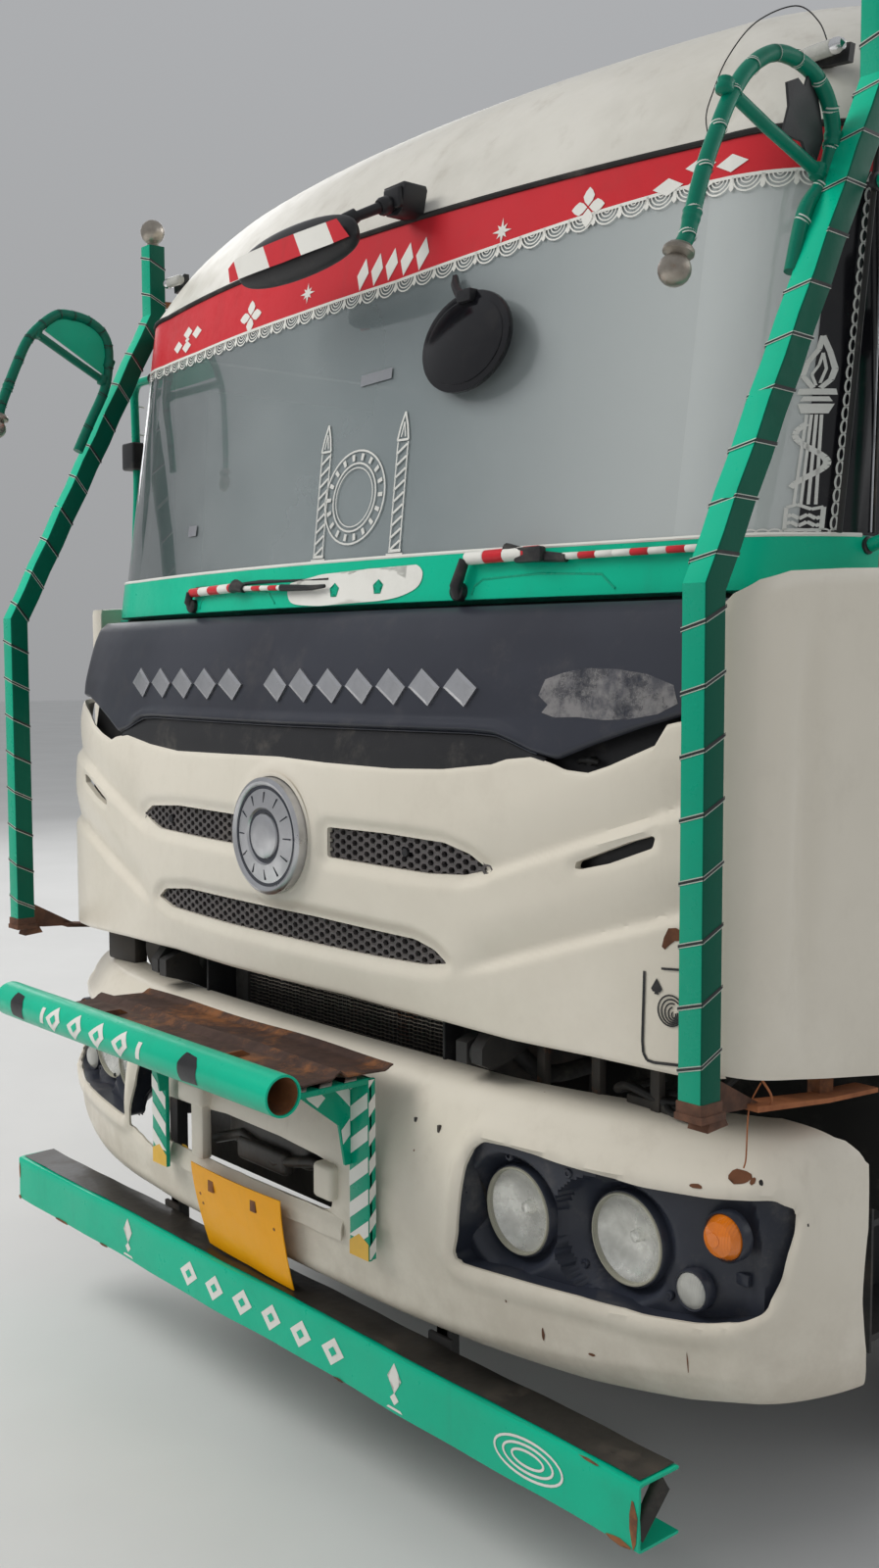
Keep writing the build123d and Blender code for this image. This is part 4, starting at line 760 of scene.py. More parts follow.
LO = rounded([(-521, 1110), (-486, 1133), (-369, 1146), (134, 1144), (430, 1136), (483, 1122), (516, 1100), (453, 1090), (318, 1087), (77, 1087), (-196, 1087), (-454, 1093)], 9)
VENT_R = rounded([(816, 1306), (819, 1317), (925, 1359), (969, 1373), (975, 1369), (970, 1352), (887, 1320), (827, 1305)], 4)
VENT_L = mirror_x(VENT_R)


def crease(x, z):
    a = abs(x)
    f = smooth((a - 520) / 130.0)
    d = 0.0
    for top, low, dep in ((1391 + 0.289 * (a - 604), 1291 + 0.349 * (a - 631), 15.0), (1173 + 0.324 * (a - 521), 1092 + 0.331 * (a - 533), 15.0)):
        if low <= z <= top:
            t = (top - z) / (top - low)
            d += dep * f * (t ** 1.5)
        elif low - 24 <= z < low:
            d += dep * f * (1 - smooth((low - z) / 24.0))
    return d


def panel_pt(x, z):
    y = flap_y(x, z) + crease(x, z)
    for poly, dep, w in ((UP_R, 9.0, 30.0), (UP_L, 9.0, 30.0), (LO, 9.0, 30.0), (VENT_R, 5.0, 12.0), (VENT_L, 5.0, 12.0)):
        if near(x, z, poly, w):
            d = poly_dist(x, z, poly)
            if d < w:
                y += dep * (1 - smooth(max(d, 0.0) / w))
    r = sqrt(x * x + (z - 1300) ** 2)
    if r < 165:
        y -= 4.0 * smooth((165 - r) / 26.0)
    # rolled top and bottom edges
    top = interp(abs(x), TOP_R if x > 0 else TOP_L)
    if top - z < 9:
        y += 5.0 * (1 - (top - z) / 9.0) ** 2
    bot = interp(x, BOT)
    if z - bot < 8:
        y += 4.0 * (1 - (z - bot) / 8.0) ** 2
    return y


xs = lin(-1085, 1085, 242)
ts = [0, 0.004, 0.01, 0.016] + lin(0.03, 0.97, 66) + [0.984, 0.99, 0.996, 1.0]


def panel_fn(x, t):
    z0, z1 = interp(x, BOT), interp(abs(x), TOP_R if x > 0 else TOP_L)
    z = z0 + (z1 - z0) * t
    return (x, panel_pt(x, z), z)


panel = Bld().grid(panel_fn, xs[::-1], ts).make("white_front_panel", CREAM, "front_flap", "cream_paint", "front_panel", solid=14, angle=40)
cut(panel, [join(*[prism(p, -60, 260) for p in (UP_R, UP_L, LO, VENT_R, VENT_L)])])
panel.data.set_sharp_from_angle(angle=radians(40))

# small black strips behind the vents and the voids beside the band: painted shade for the cavity behind the flap
void = Bld()
for s in (1, -1):
    void.grid(lambda x, z: (s * x, flap_y(x, z) + 40 + 0.02 * (x - 700), z), lin(700, 1062, 14), lin(1462, 1600, 5))
    void.grid(lambda x, z: (s * x, flap_y(x, z) + 36, z), lin(800, 990, 8), lin(1290, 1385, 4))
void.make("void_shade_backing", BLACK, "front_flap", solid=2)
# clip and rod seen in the right void
clipb = Bld()
clipb.tube([(788, 134, 1486), (800, 128, 1490), (818, 127, 1490), (832, 136, 1486)], 5, 10)
clipb.rod((815, 130, 1488), (815, 150, 1488), 8)
clipb.make("panel_clip", RUBBER, "front_flap")

# ------------------------------------------------------------------ dark band
BAND_LOW = ((0, 1527), (560, 1529), (622, 1526), (658, 1516), (706, 1500), (764, 1489), (830, 1515), (923, 1547), (1001, 1570), (1085, 1574))


def band_y(x, z):
    y = flap_y(x, z)
    a = abs(x)
    y -= 5.0 * smooth((1762 - z) / 60.0) * smooth((z - 1560) / 60.0)
    if z > 1738:
        y += ((z - 1738) / 24.0) ** 2 * 13
    low = interp(a, BAND_LOW)
    edge = z - low
    mid = 1 - smooth((a - 640) / 70.0)
    if edge < 26:
        # visor lip in the middle, rolled edge beside the voids
        y -= 8.0 * mid * sin(pi * min(1.0, edge / 26.0)) if edge > 0 else 0
    if edge < 8:
        y += (9.0 + 6.0 * mid) * (1 - edge / 8.0) ** 2
    # faint second crease above the lip
    k = z - 1560
    if abs(k) < 10:
        y += 1.6 * mid * (1 - abs(k) / 10.0)
    return y


def band_fn(x, t):
    low = interp(abs(x), BAND_LOW)
    z = low + (1762 - low) * t
    return (x, band_y(x, z), z)


Bld().grid(band_fn, lin(1085, -1085, 200), [0, 0.01, 0.02, 0.035, 0.05, 0.07, 0.09, 0.11, 0.13] + lin(0.15, 0.88, 22) + [0.91, 0.94, 0.97, 0.985, 1.0]).make(
    "dark_upper_band", CHARCOAL, "front_flap", "charcoal_plastic", "dark_band", solid=10, angle=50)
# gloss insert under the visor lip
INS_TOP = ((0, 1531), (600, 1531), (640, 1522), (700, 1504), (742, 1490))


def insert_fn(x, t):
    top = interp(abs(x), INS_TOP)
    low = interp(abs(x), TOP_R if x > 0 else TOP_L) - 8
    z = low + (top - low) * t
    return (x, flap_y(x, z) + 5.0 + 4.0 * t - 3.5 * sin(pi * t), z)


Bld().grid(insert_fn, lin(738, -738, 120), lin(0, 1, 12)).make("band_insert", BLACK, "front_flap", "black_plastic", solid=3)
# bright edge line of the insert
line = [(x, band_y(x, interp(abs(x), BAND_LOW) + 3) + 1.0, interp(abs(x), BAND_LOW) + 0.5) for x in lin(-720, 720, 90)]
Bld().tube(line, 1.6, 6).make("insert_edge", HOUSING, "front_flap")

# raised silver ornaments on the band: plain lozenges in two groups
orn = Bld()


def lozenge(cx, cz, w, h, lift, inset, yfn):
    outer = [(cx - w / 2, cz - 0), (cx - w * 0.18, cz + h / 2), (cx + w / 2, cz + 0), (cx + w * 0.18, cz - h / 2)]
    inner = [(cx + (x - cx) * inset, cz + (z - cz) * inset) for x, z in outer]
    base = [(x, yfn(x, z) + 1.0, z) for x, z in outer]
    mid = [(x, yfn(x, z) - lift, z) for x, z in outer]
    top = [(x, yfn(x, z) - lift - 2.5, z) for x, z in inner]
    n = 4
    orn.add(base + mid + top, [(i, (i + 1) % n, n + (i + 1) % n, n + i) for i in range(n)] + [(n + i, n + (i + 1) % n, 2 * n + (i + 1) % n, 2 * n + i) for i in range(n)] + [(8, 9, 10, 11)])


for x0, x1, n in ((-700, -160, 5), (-83, 573, 7)):
    for i in range(n):
        w = (x1 - x0) / n
        lozenge(x0 + w * (i + 0.5), 1612, w * 0.9, 70, 5.0, 0.72, band_y)
orn.make("band_lozenges", SATIN, "front_flap", "silver_badge", angle=20)

# lighter grey patch with a mottled edge on the band's right end
BAND_PATCH = NT("band_patch_grey", rough=0.55)
BAND_PATCH.col(BAND_PATCH.mix(BAND_PATCH.step(BAND_PATCH.noise(26.0, 8, 0.7), 0.4, 0.65), (0.28, 0.27, 0.27), (0.10, 0.10, 0.115)))
BAND_PATCH.b.inputs["Alpha"].default_value = 0.75
BAND_PATCH._in(BAND_PATCH.b.inputs["Alpha"], BAND_PATCH.step(BAND_PATCH.noise(14.0, 9, 0.75), 0.35, 0.55, 0.0, 0.8))
random.seed(4)
patch_outline = [(712, 1600), (722, 1628), (760, 1640), (806, 1648), (870, 1646), (930, 1638), (984, 1620), (996, 1590), (960, 1572), (905, 1562), (850, 1560), (800, 1564), (752, 1562), (722, 1570), (734, 1584)]
decal("band_light_patch", [patch_outline], lambda x, z: (x, band_y(x, z) - 0.7, z), BAND_PATCH.m, "front_flap", 20.0, both=True)

# ------------------------------------------------------------------ grille meshes: honeycomb with walls
hexes = Bld()
PX, PZ = 23.5, 9.4


def hexcell(cx, cz, yfn):
    pts = [(-0.5, 0.0), (-0.27, 0.62), (0.27, 0.62), (0.5, 0.0), (0.27, -0.62), (-0.27, -0.62)]
    o = [(cx + a * PX * 1.04, cz + b * PZ * 1.62) for a, b in pts]
    i = [(cx + a * PX * 0.74, cz + b * PZ * 0.96) for a, b in pts]
    vs = [(x, yfn(x, z), z) for x, z in o] + [(x, yfn(x, z) - 1.2, z) for x, z in i] + [(x, yfn(x, z) + 9, z) for x, z in i]
    fs = []
    for k in range(6):
        k2 = (k + 1) % 6
        fs.append((k, k2, 6 + k2, 6 + k))
        fs.append((6 + k, 6 + k2, 12 + k2, 12 + k))
    hexes.add(vs, fs)


def fill(poly, grow):
    xs_ = [p[0] for p in poly]
    zs_ = [p[1] for p in poly]
    r, z = 0, min(zs_) - 8
    while z < max(zs_) + 8:
        x = min(xs_) - 12 + (PX * 0.77 if r % 2 else 0)
        while x < max(xs_) + 12:
            if poly_dist(x, z, poly) < grow:
                hexcell(x, z, lambda a, b: flap_y(a, b) + 17)
            x += PX * 1.54
        z += PZ * 1.0
        r += 1


for p in (UP_R, UP_L, LO):
    fill(p, 12)
hexes.make("grille_honeycomb", MESHM, "front_flap", "mesh_plastic", "grille_mesh", angle=30)
# painted shade: black sheet behind the grille openings, standing in for the dark space behind the mesh
dark = Bld()
for p in (UP_R, UP_L, LO):
    g = [(x * 1.0, z) for x, z in p]
    dark.add([(x, flap_y(x, z) + 34, z) for x, z in g], [tuple(range(len(g)))])
dark.make("grille_shade_backing", BLACK, "front_flap")
# plugs seen in the mesh, one on each side
plug = Bld()
for x in (-462, 398):
    plug.lathe([(0, 0.1), (0, 8), (4, 10), (14, 10)], (x, flap_y(x, 1298) + 12, 1298), (0, 1, 0), 18)
plug.make("grille_plugs", BLACK_GLOSS, "front_flap")

# ------------------------------------------------------------------ badge: plain concentric roundel
b1 = Bld().lathe([(24, 122), (0, 122), (-3, 119), (-5, 114), (-3.5, 109), (-1, 106), (1.5, 104), (-2, 84), (-5, 66), (-5.5, 60), (-2, 57), (0, 55), (0, 48), (-5, 46), (-8, 40), (-9.5, 24), (-10, 0.1)], (0, 14, 1300), (0, 1, 0), 96)
b1.make("badge_roundel", SATIN, "front_flap", "silver_badge", "badge", angle=30)
b2 = Bld().lathe([(2.6, 106), (0.6, 105.5), (0.2, 99), (0.6, 98.5), (3, 98)], (0, 13.2, 1300), (0, 1, 0), 96)
b2.lathe([(1, 57), (-1.6, 56.5), (-1.6, 48.5), (1, 48)], (0, 14, 1300), (0, 1, 0), 96)
for i in range(12):
    a = 2 * pi * i / 12
    for k in (0,):
        r0, r1 = 70, 92
        b2.rod((r0 * cos(a), 10.6, 1300 + r0 * sin(a)), (r1 * cos(a), 12.6, 1300 + r1 * sin(a)), 1.6, seg=8)
b2.make("badge_rings", HOUSING, "front_flap")
b3 = Bld().lathe([(0, 132), (-1, 128), (-1, 124), (2, 122.5), (8, 122.5)], (0, 34, 1300), (0, 1, 0), 80)
b3.make("badge_seat", CREAM, "front_flap")

# ------------------------------------------------------------------ bumper
BC0 = circle3((-600, 13), (0, 0), (600, 13))
BC1 = circle3((600, 13), (880, 68), (1120, 165))
BC2 = circle3((1120, 165), (1190, 250), (1215, 370))


def arc_pts(c_, p, q, n):
    a0, a1 = atan2(p[1] - c_[1], p[0] - c_[0]), atan2(q[1] - c_[1], q[0] - c_[0])
    if a1 - a0 > pi:
        a1 -= 2 * pi
    if a0 - a1 > pi:
        a1 += 2 * pi
    return [(c_[0] + c_[2] * cos(a0 + (a1 - a0) * i / n), c_[1] + c_[2] * sin(a0 + (a1 - a0) * i / n)) for i in range(n + 1)]


half = arc_pts(BC0, (0, 0), (600, 13), 46)[:-1] + arc_pts(BC1, (600, 13), (1120, 165), 66)[:-1] + arc_pts(BC2, (1120, 165), (1215, 370), 24)
BPLAN = [(-x, y) for x, y in half[:0:-1]] + half


def bump_plan_y(x):
    a = min(abs(x), 1214.9)
    lo = 0
    for i in range(len(half) - 1):
        if half[i][0] <= a <= half[i + 1][0]:
            t = (a - half[i][0]) / (half[i + 1][0] - half[i][0] + 1e-9)
            return half[i][1] + (half[i + 1][1] - half[i][1]) * t
    return half[-1][1]


CLUSTER = rounded([(629, 793), (686, 796), (829, 786), (953, 777), (1061, 776), (1149, 782), (1173, 768), (1176, 733), (1169, 658), (1154, 602), (1129, 586), (1060, 570), (974, 567), (858, 574), (720, 574), (611, 572), (595, 583), (601, 629), (602, 743), (610, 777)][::-1], 9, 3)
MOUTH = rounded([(-395, 562), (-395, 668), (-268, 672), (-150, 682), (60, 680), (214, 668), (238, 640), (238, 578), (214, 566), (-60, 562)], 10, 4)
HOOK_L = rounded([(-551, 716), (-428, 710), (-436, 574), (-473, 524), (-578, 557)], 6, 3)
COVER_R = rounded([(378, 668), (448, 676), (464, 631), (448, 583), (366, 565)], 14, 4)
SECT = catmull(((396, 66), (408, 42), (431, 18), (470, 12), (540, 5), (610, 0), (700, 8), (770, 29), (830, 57), (862, 78), (874, 96), (879, 120), (880, 150)), 6)
crease_z = lambda a: interp(a, ((0, 431), (398, 431), (800, 452), (1100, 474), (1216, 487)))
bottom_z = lambda a: interp(a, ((0, 396), (425, 398), (633, 403), (842, 406), (1013, 415), (1152, 433), (1217, 447)))
xfrac = len(BPLAN)


def bumper_fn(i, k):
    x, y = BPLAN[i]
    z, back = SECT[k]
    a = abs(x)
    if z <= 431:
        t = (z - 396) / 35.0
        z = bottom_z(a) + (crease_z(a) - bottom_z(a)) * t
    elif z < 600:
        t = (z - 431) / 169.0
        z = crease_z(a) + (600 - crease_z(a)) * t
    narrow = 1.0 if back <= 60 else 1.0 - (back - 60) / 2200.0
    d = 0.0
    for poly, m in ((CLUSTER, 1), (CLUSTER, -1)):
        xx = x * m
        if near(xx, z, poly, 48):
            q = poly_dist(xx, z, poly)
            if 0 <= q < 46:
                d -= 7.0 * smooth((46 - q) / 24.0)
                if q < 12:
                    d += 12.0 * (1 - q / 12.0) ** 2
            elif q < 0:
                d += 6.0
    if near(x, z, COVER_R, 10):
        q = poly_dist(x, z, COVER_R)
        d += 4.0 * max(0.0, 1 - abs(q) / 5.0) - (2.5 if q < -4 else 0.0)
    for poly in (MOUTH, HOOK_L):
        if near(x, z, poly, 14):
            q = poly_dist(x, z, poly)
            if q < 14:
                d += 6.0 * (1 - max(q, 0) / 14.0) ** 2
    # slight dents
    d += 1.8 * sin(x * 0.011 + 1.0) * sin(z * 0.02) * smooth((a - 300) / 400.0)
    return (x * narrow, y + back + d, z)


bmp = Bld().grid(bumper_fn, range(len(BPLAN)), range(len(SECT))).make("bumper_shell", CREAM_BUMPER, "chassis", "cream_paint", "bumper", solid=5, angle=42)
cut(bmp, [Bld().box(-1400, 1400, 382, 700, 300, 1000, 0), join(prism(CLUSTER, -80, 420), prism(mirror_x(CLUSTER), -80, 420), prism(MOUTH, -80, 90), prism(HOOK_L, -80, 120))])
torn = [(286, 940), (290, 905), (300, 900), (322, 886), (336, 872), (350, 866), (366, 848), (374, 832), (398, 812), (430, 790), (430, 940)]
cut(bmp, [Bld().plate([(y, z) for y, z in torn][::-1], lambda y, z, d: (1040 + d, y, z), 220)])
# screw holes
holes = Bld()
for x, z in ((1141, 816), (1187, 744), (1187, 613), (543, 669), (-700, 650)):
    y = bump_plan_y(x)
    holes.lathe([(0, 0.1), (0, 3.6), (-1.0, 4.2), (1.5, 5.2)], (x, y + 12, z), (0.35 if x > 1100 else 0, 1, 0), 12)
holes.make("bumper_screws", RUBBER, "chassis")
# square mounting ribs behind the bumper
ribs = Bld()
for s in (1, -1):
    ribs.box(s * 448, s * 455, 40, 200, 720, 800, 1)
    ribs.box(s * 515, s * 522, 40, 200, 720, 800, 1)
ribs.box(-522, 522, 142, 150, 700, 800, 1)
ribs.make("bumper_ribs", CHASSIS, "chassis")
# bright rust spots and chips on paint
RUSTSPOT = metal("rust_spot", (0.17, 0.07, 0.035), (0.08, 0.038, 0.024), rough=0.8, metallic=0.0, rusty=0.3)


def blob(cx, cz, rx, rz, seed, n=16):
    random.seed(seed)
    return [(cx + rx * (0.65 + 0.5 * random.random()) * cos(2 * pi * i / n), cz + rz * (0.65 + 0.5 * random.random()) * sin(2 * pi * i / n)) for i in range(n)]


def on_bumper(x, z):
    back = interp(z, SECT)
    return (x, bump_plan_y(x) + back - 7.6 if near(x, z, CLUSTER, 40) else bump_plan_y(x) + back - 2.2, z)


decal("bumper_rust", [blob(1098, 816, 18, 10, 2, 22), blob(1041, 794, 11, 4, 3), blob(1120, 812, 4, 6, 5)], onto(bmp, 0.8), RUSTSPOT, "chassis", 12, both=True)
decal("bumper_scratches", [blob(788, 487, 3, 12, 6), blob(880, 474, 7, 3, 7), blob(716, 530, 2, 3, 8), blob(1043, 500, 1.2, 20, 9), blob(470, 745, 2, 2, 10)], onto(bmp, 0.8), RUSTSPOT, "chassis", 12, both=True)
decal("panel_rust", [[(1006, 1224), (1020, 1226), (1032, 1222), (1032, 1206), (1018, 1204), (1008, 1196), (1000, 1188), (994, 1192), (998, 1208)]], onto(panel, 0.8), RUSTSPOT, "front_flap", 12, both=True)

# ------------------------------------------------------------------ headlamp clusters
LAMPS = ((684, 85, 671, 81), (898, 140, 666, 82), (1089, 165, 717, 40), (1031, 152, 612, 33))


def house_y(x, z):
    a = abs(x)
    y = bump_plan_y(a) + 44 + 12 * smooth((a - 960) / 160.0)
    for lx, ly, lz, lr in LAMPS:
        d = sqrt((a - lx) ** 2 + (z - lz) ** 2)
        well = 20.0 if lr > 60 else 9.0
        if d < lr + 4:
            y = max(y, ly + well)
        elif d < lr + 30:
            t = 1 - smooth((d - lr - 4) / 26.0)
            y = y + (max(y, ly + well) - y) * t
    # big cone round the inner edge of the second lamp
    d = sqrt((a - 876) ** 2 + (z - 668) ** 2)
    if d < 106:
        y = max(y, min(205.0, 118 + (106 - d) * 0.8 - max(0, a - 925) * 0.4))
    return min(y, max(213.0, bump_plan_y(a) + interp(z, SECT) + 12.0 + 26.0 * smooth((a - 1100) / 50.0)))


for s, side in ((1, "left"), (-1, "right")):
    h = Bld()
    grow = [(s * (890 + (x - 890) * 1.012), 690 + (z - 690) * 1.03) for x, z in CLUSTER]
    if s < 0:
        grow = grow[::-1]
    gx, gz = lin(592, 1192, 100), lin(556, 820, 46)
    pts = {}
    vs, fs = [], []
    for i, x in enumerate(gx):
        for k, z in enumerate(gz):
            pts[(i, k)] = len(vs)
            vs.append((s * x, house_y(x, z), z))
    for i in range(len(gx) - 1):
        for k in range(len(gz) - 1):
            cx, cz = s * (gx[i] + gx[i + 1]) / 2, (gz[k] + gz[k + 1]) / 2
            # the tray is open behind the two big lamps, whose bowls reach through it
            open_in = min(sqrt((abs(cx) - l_[0]) ** 2 + (cz - l_[2]) ** 2) - l_[3] for l_ in LAMPS if l_[3] > 60)
            if poly_dist(cx, cz, grow) < 4 and open_in > -7:
                fs.append((pts[(i, k)], pts[(i, k + 1)], pts[(i + 1, k + 1)], pts[(i + 1, k)]))
    h.add(vs, fs)
    # wall from the face's edge back to the tray
    m = len(grow)
    ring = []
    for x, z in grow:
        yb = bump_plan_y(x) + interp(z, SECT)
        ring += [(x, yb + 6, z), (x * 0.999, yb + 20, z), (x, house_y(x, z) + 4, z)]
    h.add(ring, [(3 * i + j, 3 * ((i + 1) % m) + j, 3 * ((i + 1) % m) + j + 1, 3 * i + j + 1) for i in range(m) for j in (0, 1)])
    # screws and a small block
    for x, z in ((806, 770), (812, 600), (1004, 778), (985, 590), (672, 772), (665, 610)):
        if min(sqrt((x - l_[0]) ** 2 + (z - l_[2]) ** 2) - l_[3] for l_ in LAMPS) < 6:
            continue
        yy = house_y(x, z)
        h.lathe([(4, 9), (-1, 9), (-3, 7.5), (-3, 4.5), (2, 4), (2, 0.1)], (s * x, yy, z), (0, 1, 0), 16)
    h.box(s * 1084, s * 1112, house_y(1098, 640) - 6, house_y(1098, 640) + 6, 628, 650, 3)
    h.make("lamp_housing_" + side, HOUSING, "chassis", "black_plastic", "headlamp_housings" if s > 0 else (), angle=38, sub=0)
    bez, refl, gl, am, fr, rim = Bld(), Bld(), Bld(), Bld(), Bld(), Bld()
    for n, (lx, ly, lz, lr) in enumerate(LAMPS):
        o = (s * lx, ly, lz)
        ax = (0, 1, 0)
        if n < 2:
            bez.lathe([(30, lr + 3), (6, lr + 3), (2, lr + 1), (2, lr - 1)], o, ax, 64)
            rim.lathe([(9, lr - 1), (1, lr - 1), (-1.5, lr - 2.5), (-1.5, lr - 5), (3, lr - 6.5), (9, lr - 7)], o, ax, 64)
            refl.lathe([(8, lr - 5), (15, lr - 10), (24, lr - 22), (31, lr - 40), (35, 22), (36, 12), (22, 11), (19, 8), (18, 0.1)], o, ax, 64)
            gl.lathe([(6, lr - 4), (1, lr - 8), (-4, lr * 0.72), (-8, lr * 0.4), (-10, 0.1)], o, ax, 64)
        elif n == 2:
            bez.lathe([(24, lr + 3), (5, lr + 3), (1, lr), (4, lr - 3)], o, ax, 48)
            am.lathe([(4, lr - 2), (-4, lr - 5), (-14, lr * 0.72), (-20, lr * 0.35), (-21, 0.1)], o, ax, 48)
            am.lathe([(-18.5, 13), (-21.5, 12), (-22.5, 0.1)], (s * (lx - 4), ly, lz), ax, 24)
        else:
            bez.lathe([(24, lr + 3), (5, lr + 3), (1, lr), (4, lr - 3)], o, ax, 48)
            fr.lathe([(4, lr - 2), (0, lr - 5), (-4, lr * 0.6), (-5, 0.1)], o, ax, 48)
    bez.make("lamp_bezels_" + side, HOUSING, "chassis", angle=50)
    rim.make("lamp_rims_" + side, RIM_LAMP, "chassis", angle=50)
    refl.make("lamp_reflectors_" + side, REFLECTOR, "chassis", "lamp_glass", "headlamps" if s > 0 else ())
    gl.make("lamp_lenses_" + side, CLEAR, "chassis", "lamp_glass")
    am.make("indicator_" + side, AMBER, "chassis", "amber" if "amber" in [m.get("slot") for m in frame["record"]["materials"]] else None)
    fr.make("side_marker_" + side, FROST, "chassis")

# ------------------------------------------------------------------ guard posts with diagonal tape lines
PW = 24.0
RUSTY_DARK = metal("rust_dark", (0.16, 0.075, 0.045), (0.07, 0.04, 0.03), rough=0.85, metallic=0.0, rusty=0.35)
LINE_WHITE = paint("line_white", (0.62, 0.66, 0.60), (0.42, 0.46, 0.41), (0.12, 0.16, 0.12), dirty=0.4, rough=0.6, coat=0.0)
POST_PATH = [(23.0, 970.0), (23.0, 1769.0), (453.0, 2602.0), (453.0, 2794.0)]


def post_frame(q):
    """centre point (y, z), forward direction and height direction at length q along the post"""
    left = q
    for (ay, az), (by, bz) in zip(POST_PATH[:-1], POST_PATH[1:]):
        d = sqrt((by - ay) ** 2 + (bz - az) ** 2)
        if left <= d or (by, bz) == POST_PATH[-1]:
            t = left / d
            ty, tz = (by - ay) / d, (bz - az) / d
            return ay + (by - ay) * t, az + (bz - az) * t, (-tz, ty), (ty, tz)
        left -= d


def square_tube(b, pts, nrm, cx, w, r=5.0):
    """rounded square section along pts (y, z) with mitred bends"""
    sec = rounded([(-w, -w), (w, -w), (w, w), (-w, w)], r, 3)
    m, n = len(sec), len(pts)
    vs, fs = [], []
    for i in range(n):
        ay, az = pts[max(i - 1, 0)]
        by, bz = pts[i]
        cy, cz = pts[min(i + 1, n - 1)]
        d1 = Vector((by - ay, bz - az)).normalized() if i else Vector((cy - by, cz - bz)).normalized()
        d2 = Vector((cy - by, cz - bz)).normalized() if i < n - 1 else d1
        t = (d1 + d2).normalized()
        k = 1.0 / max(0.3, t.dot(d1))
        f = Vector((-t.y, t.x))
        for u, v in sec:
            vs.append((cx + u, by + f.x * v * k, bz + f.y * v * k))
    for i in range(n - 1):
        for j in range(m):
            j2 = (j + 1) % m
            fs.append((i * m + j, i * m + j2, (i + 1) * m + j2, (i + 1) * m + j))
    fs += [tuple(range(m)), tuple(range((n - 1) * m, n * m))]
    b.add(vs, fs)


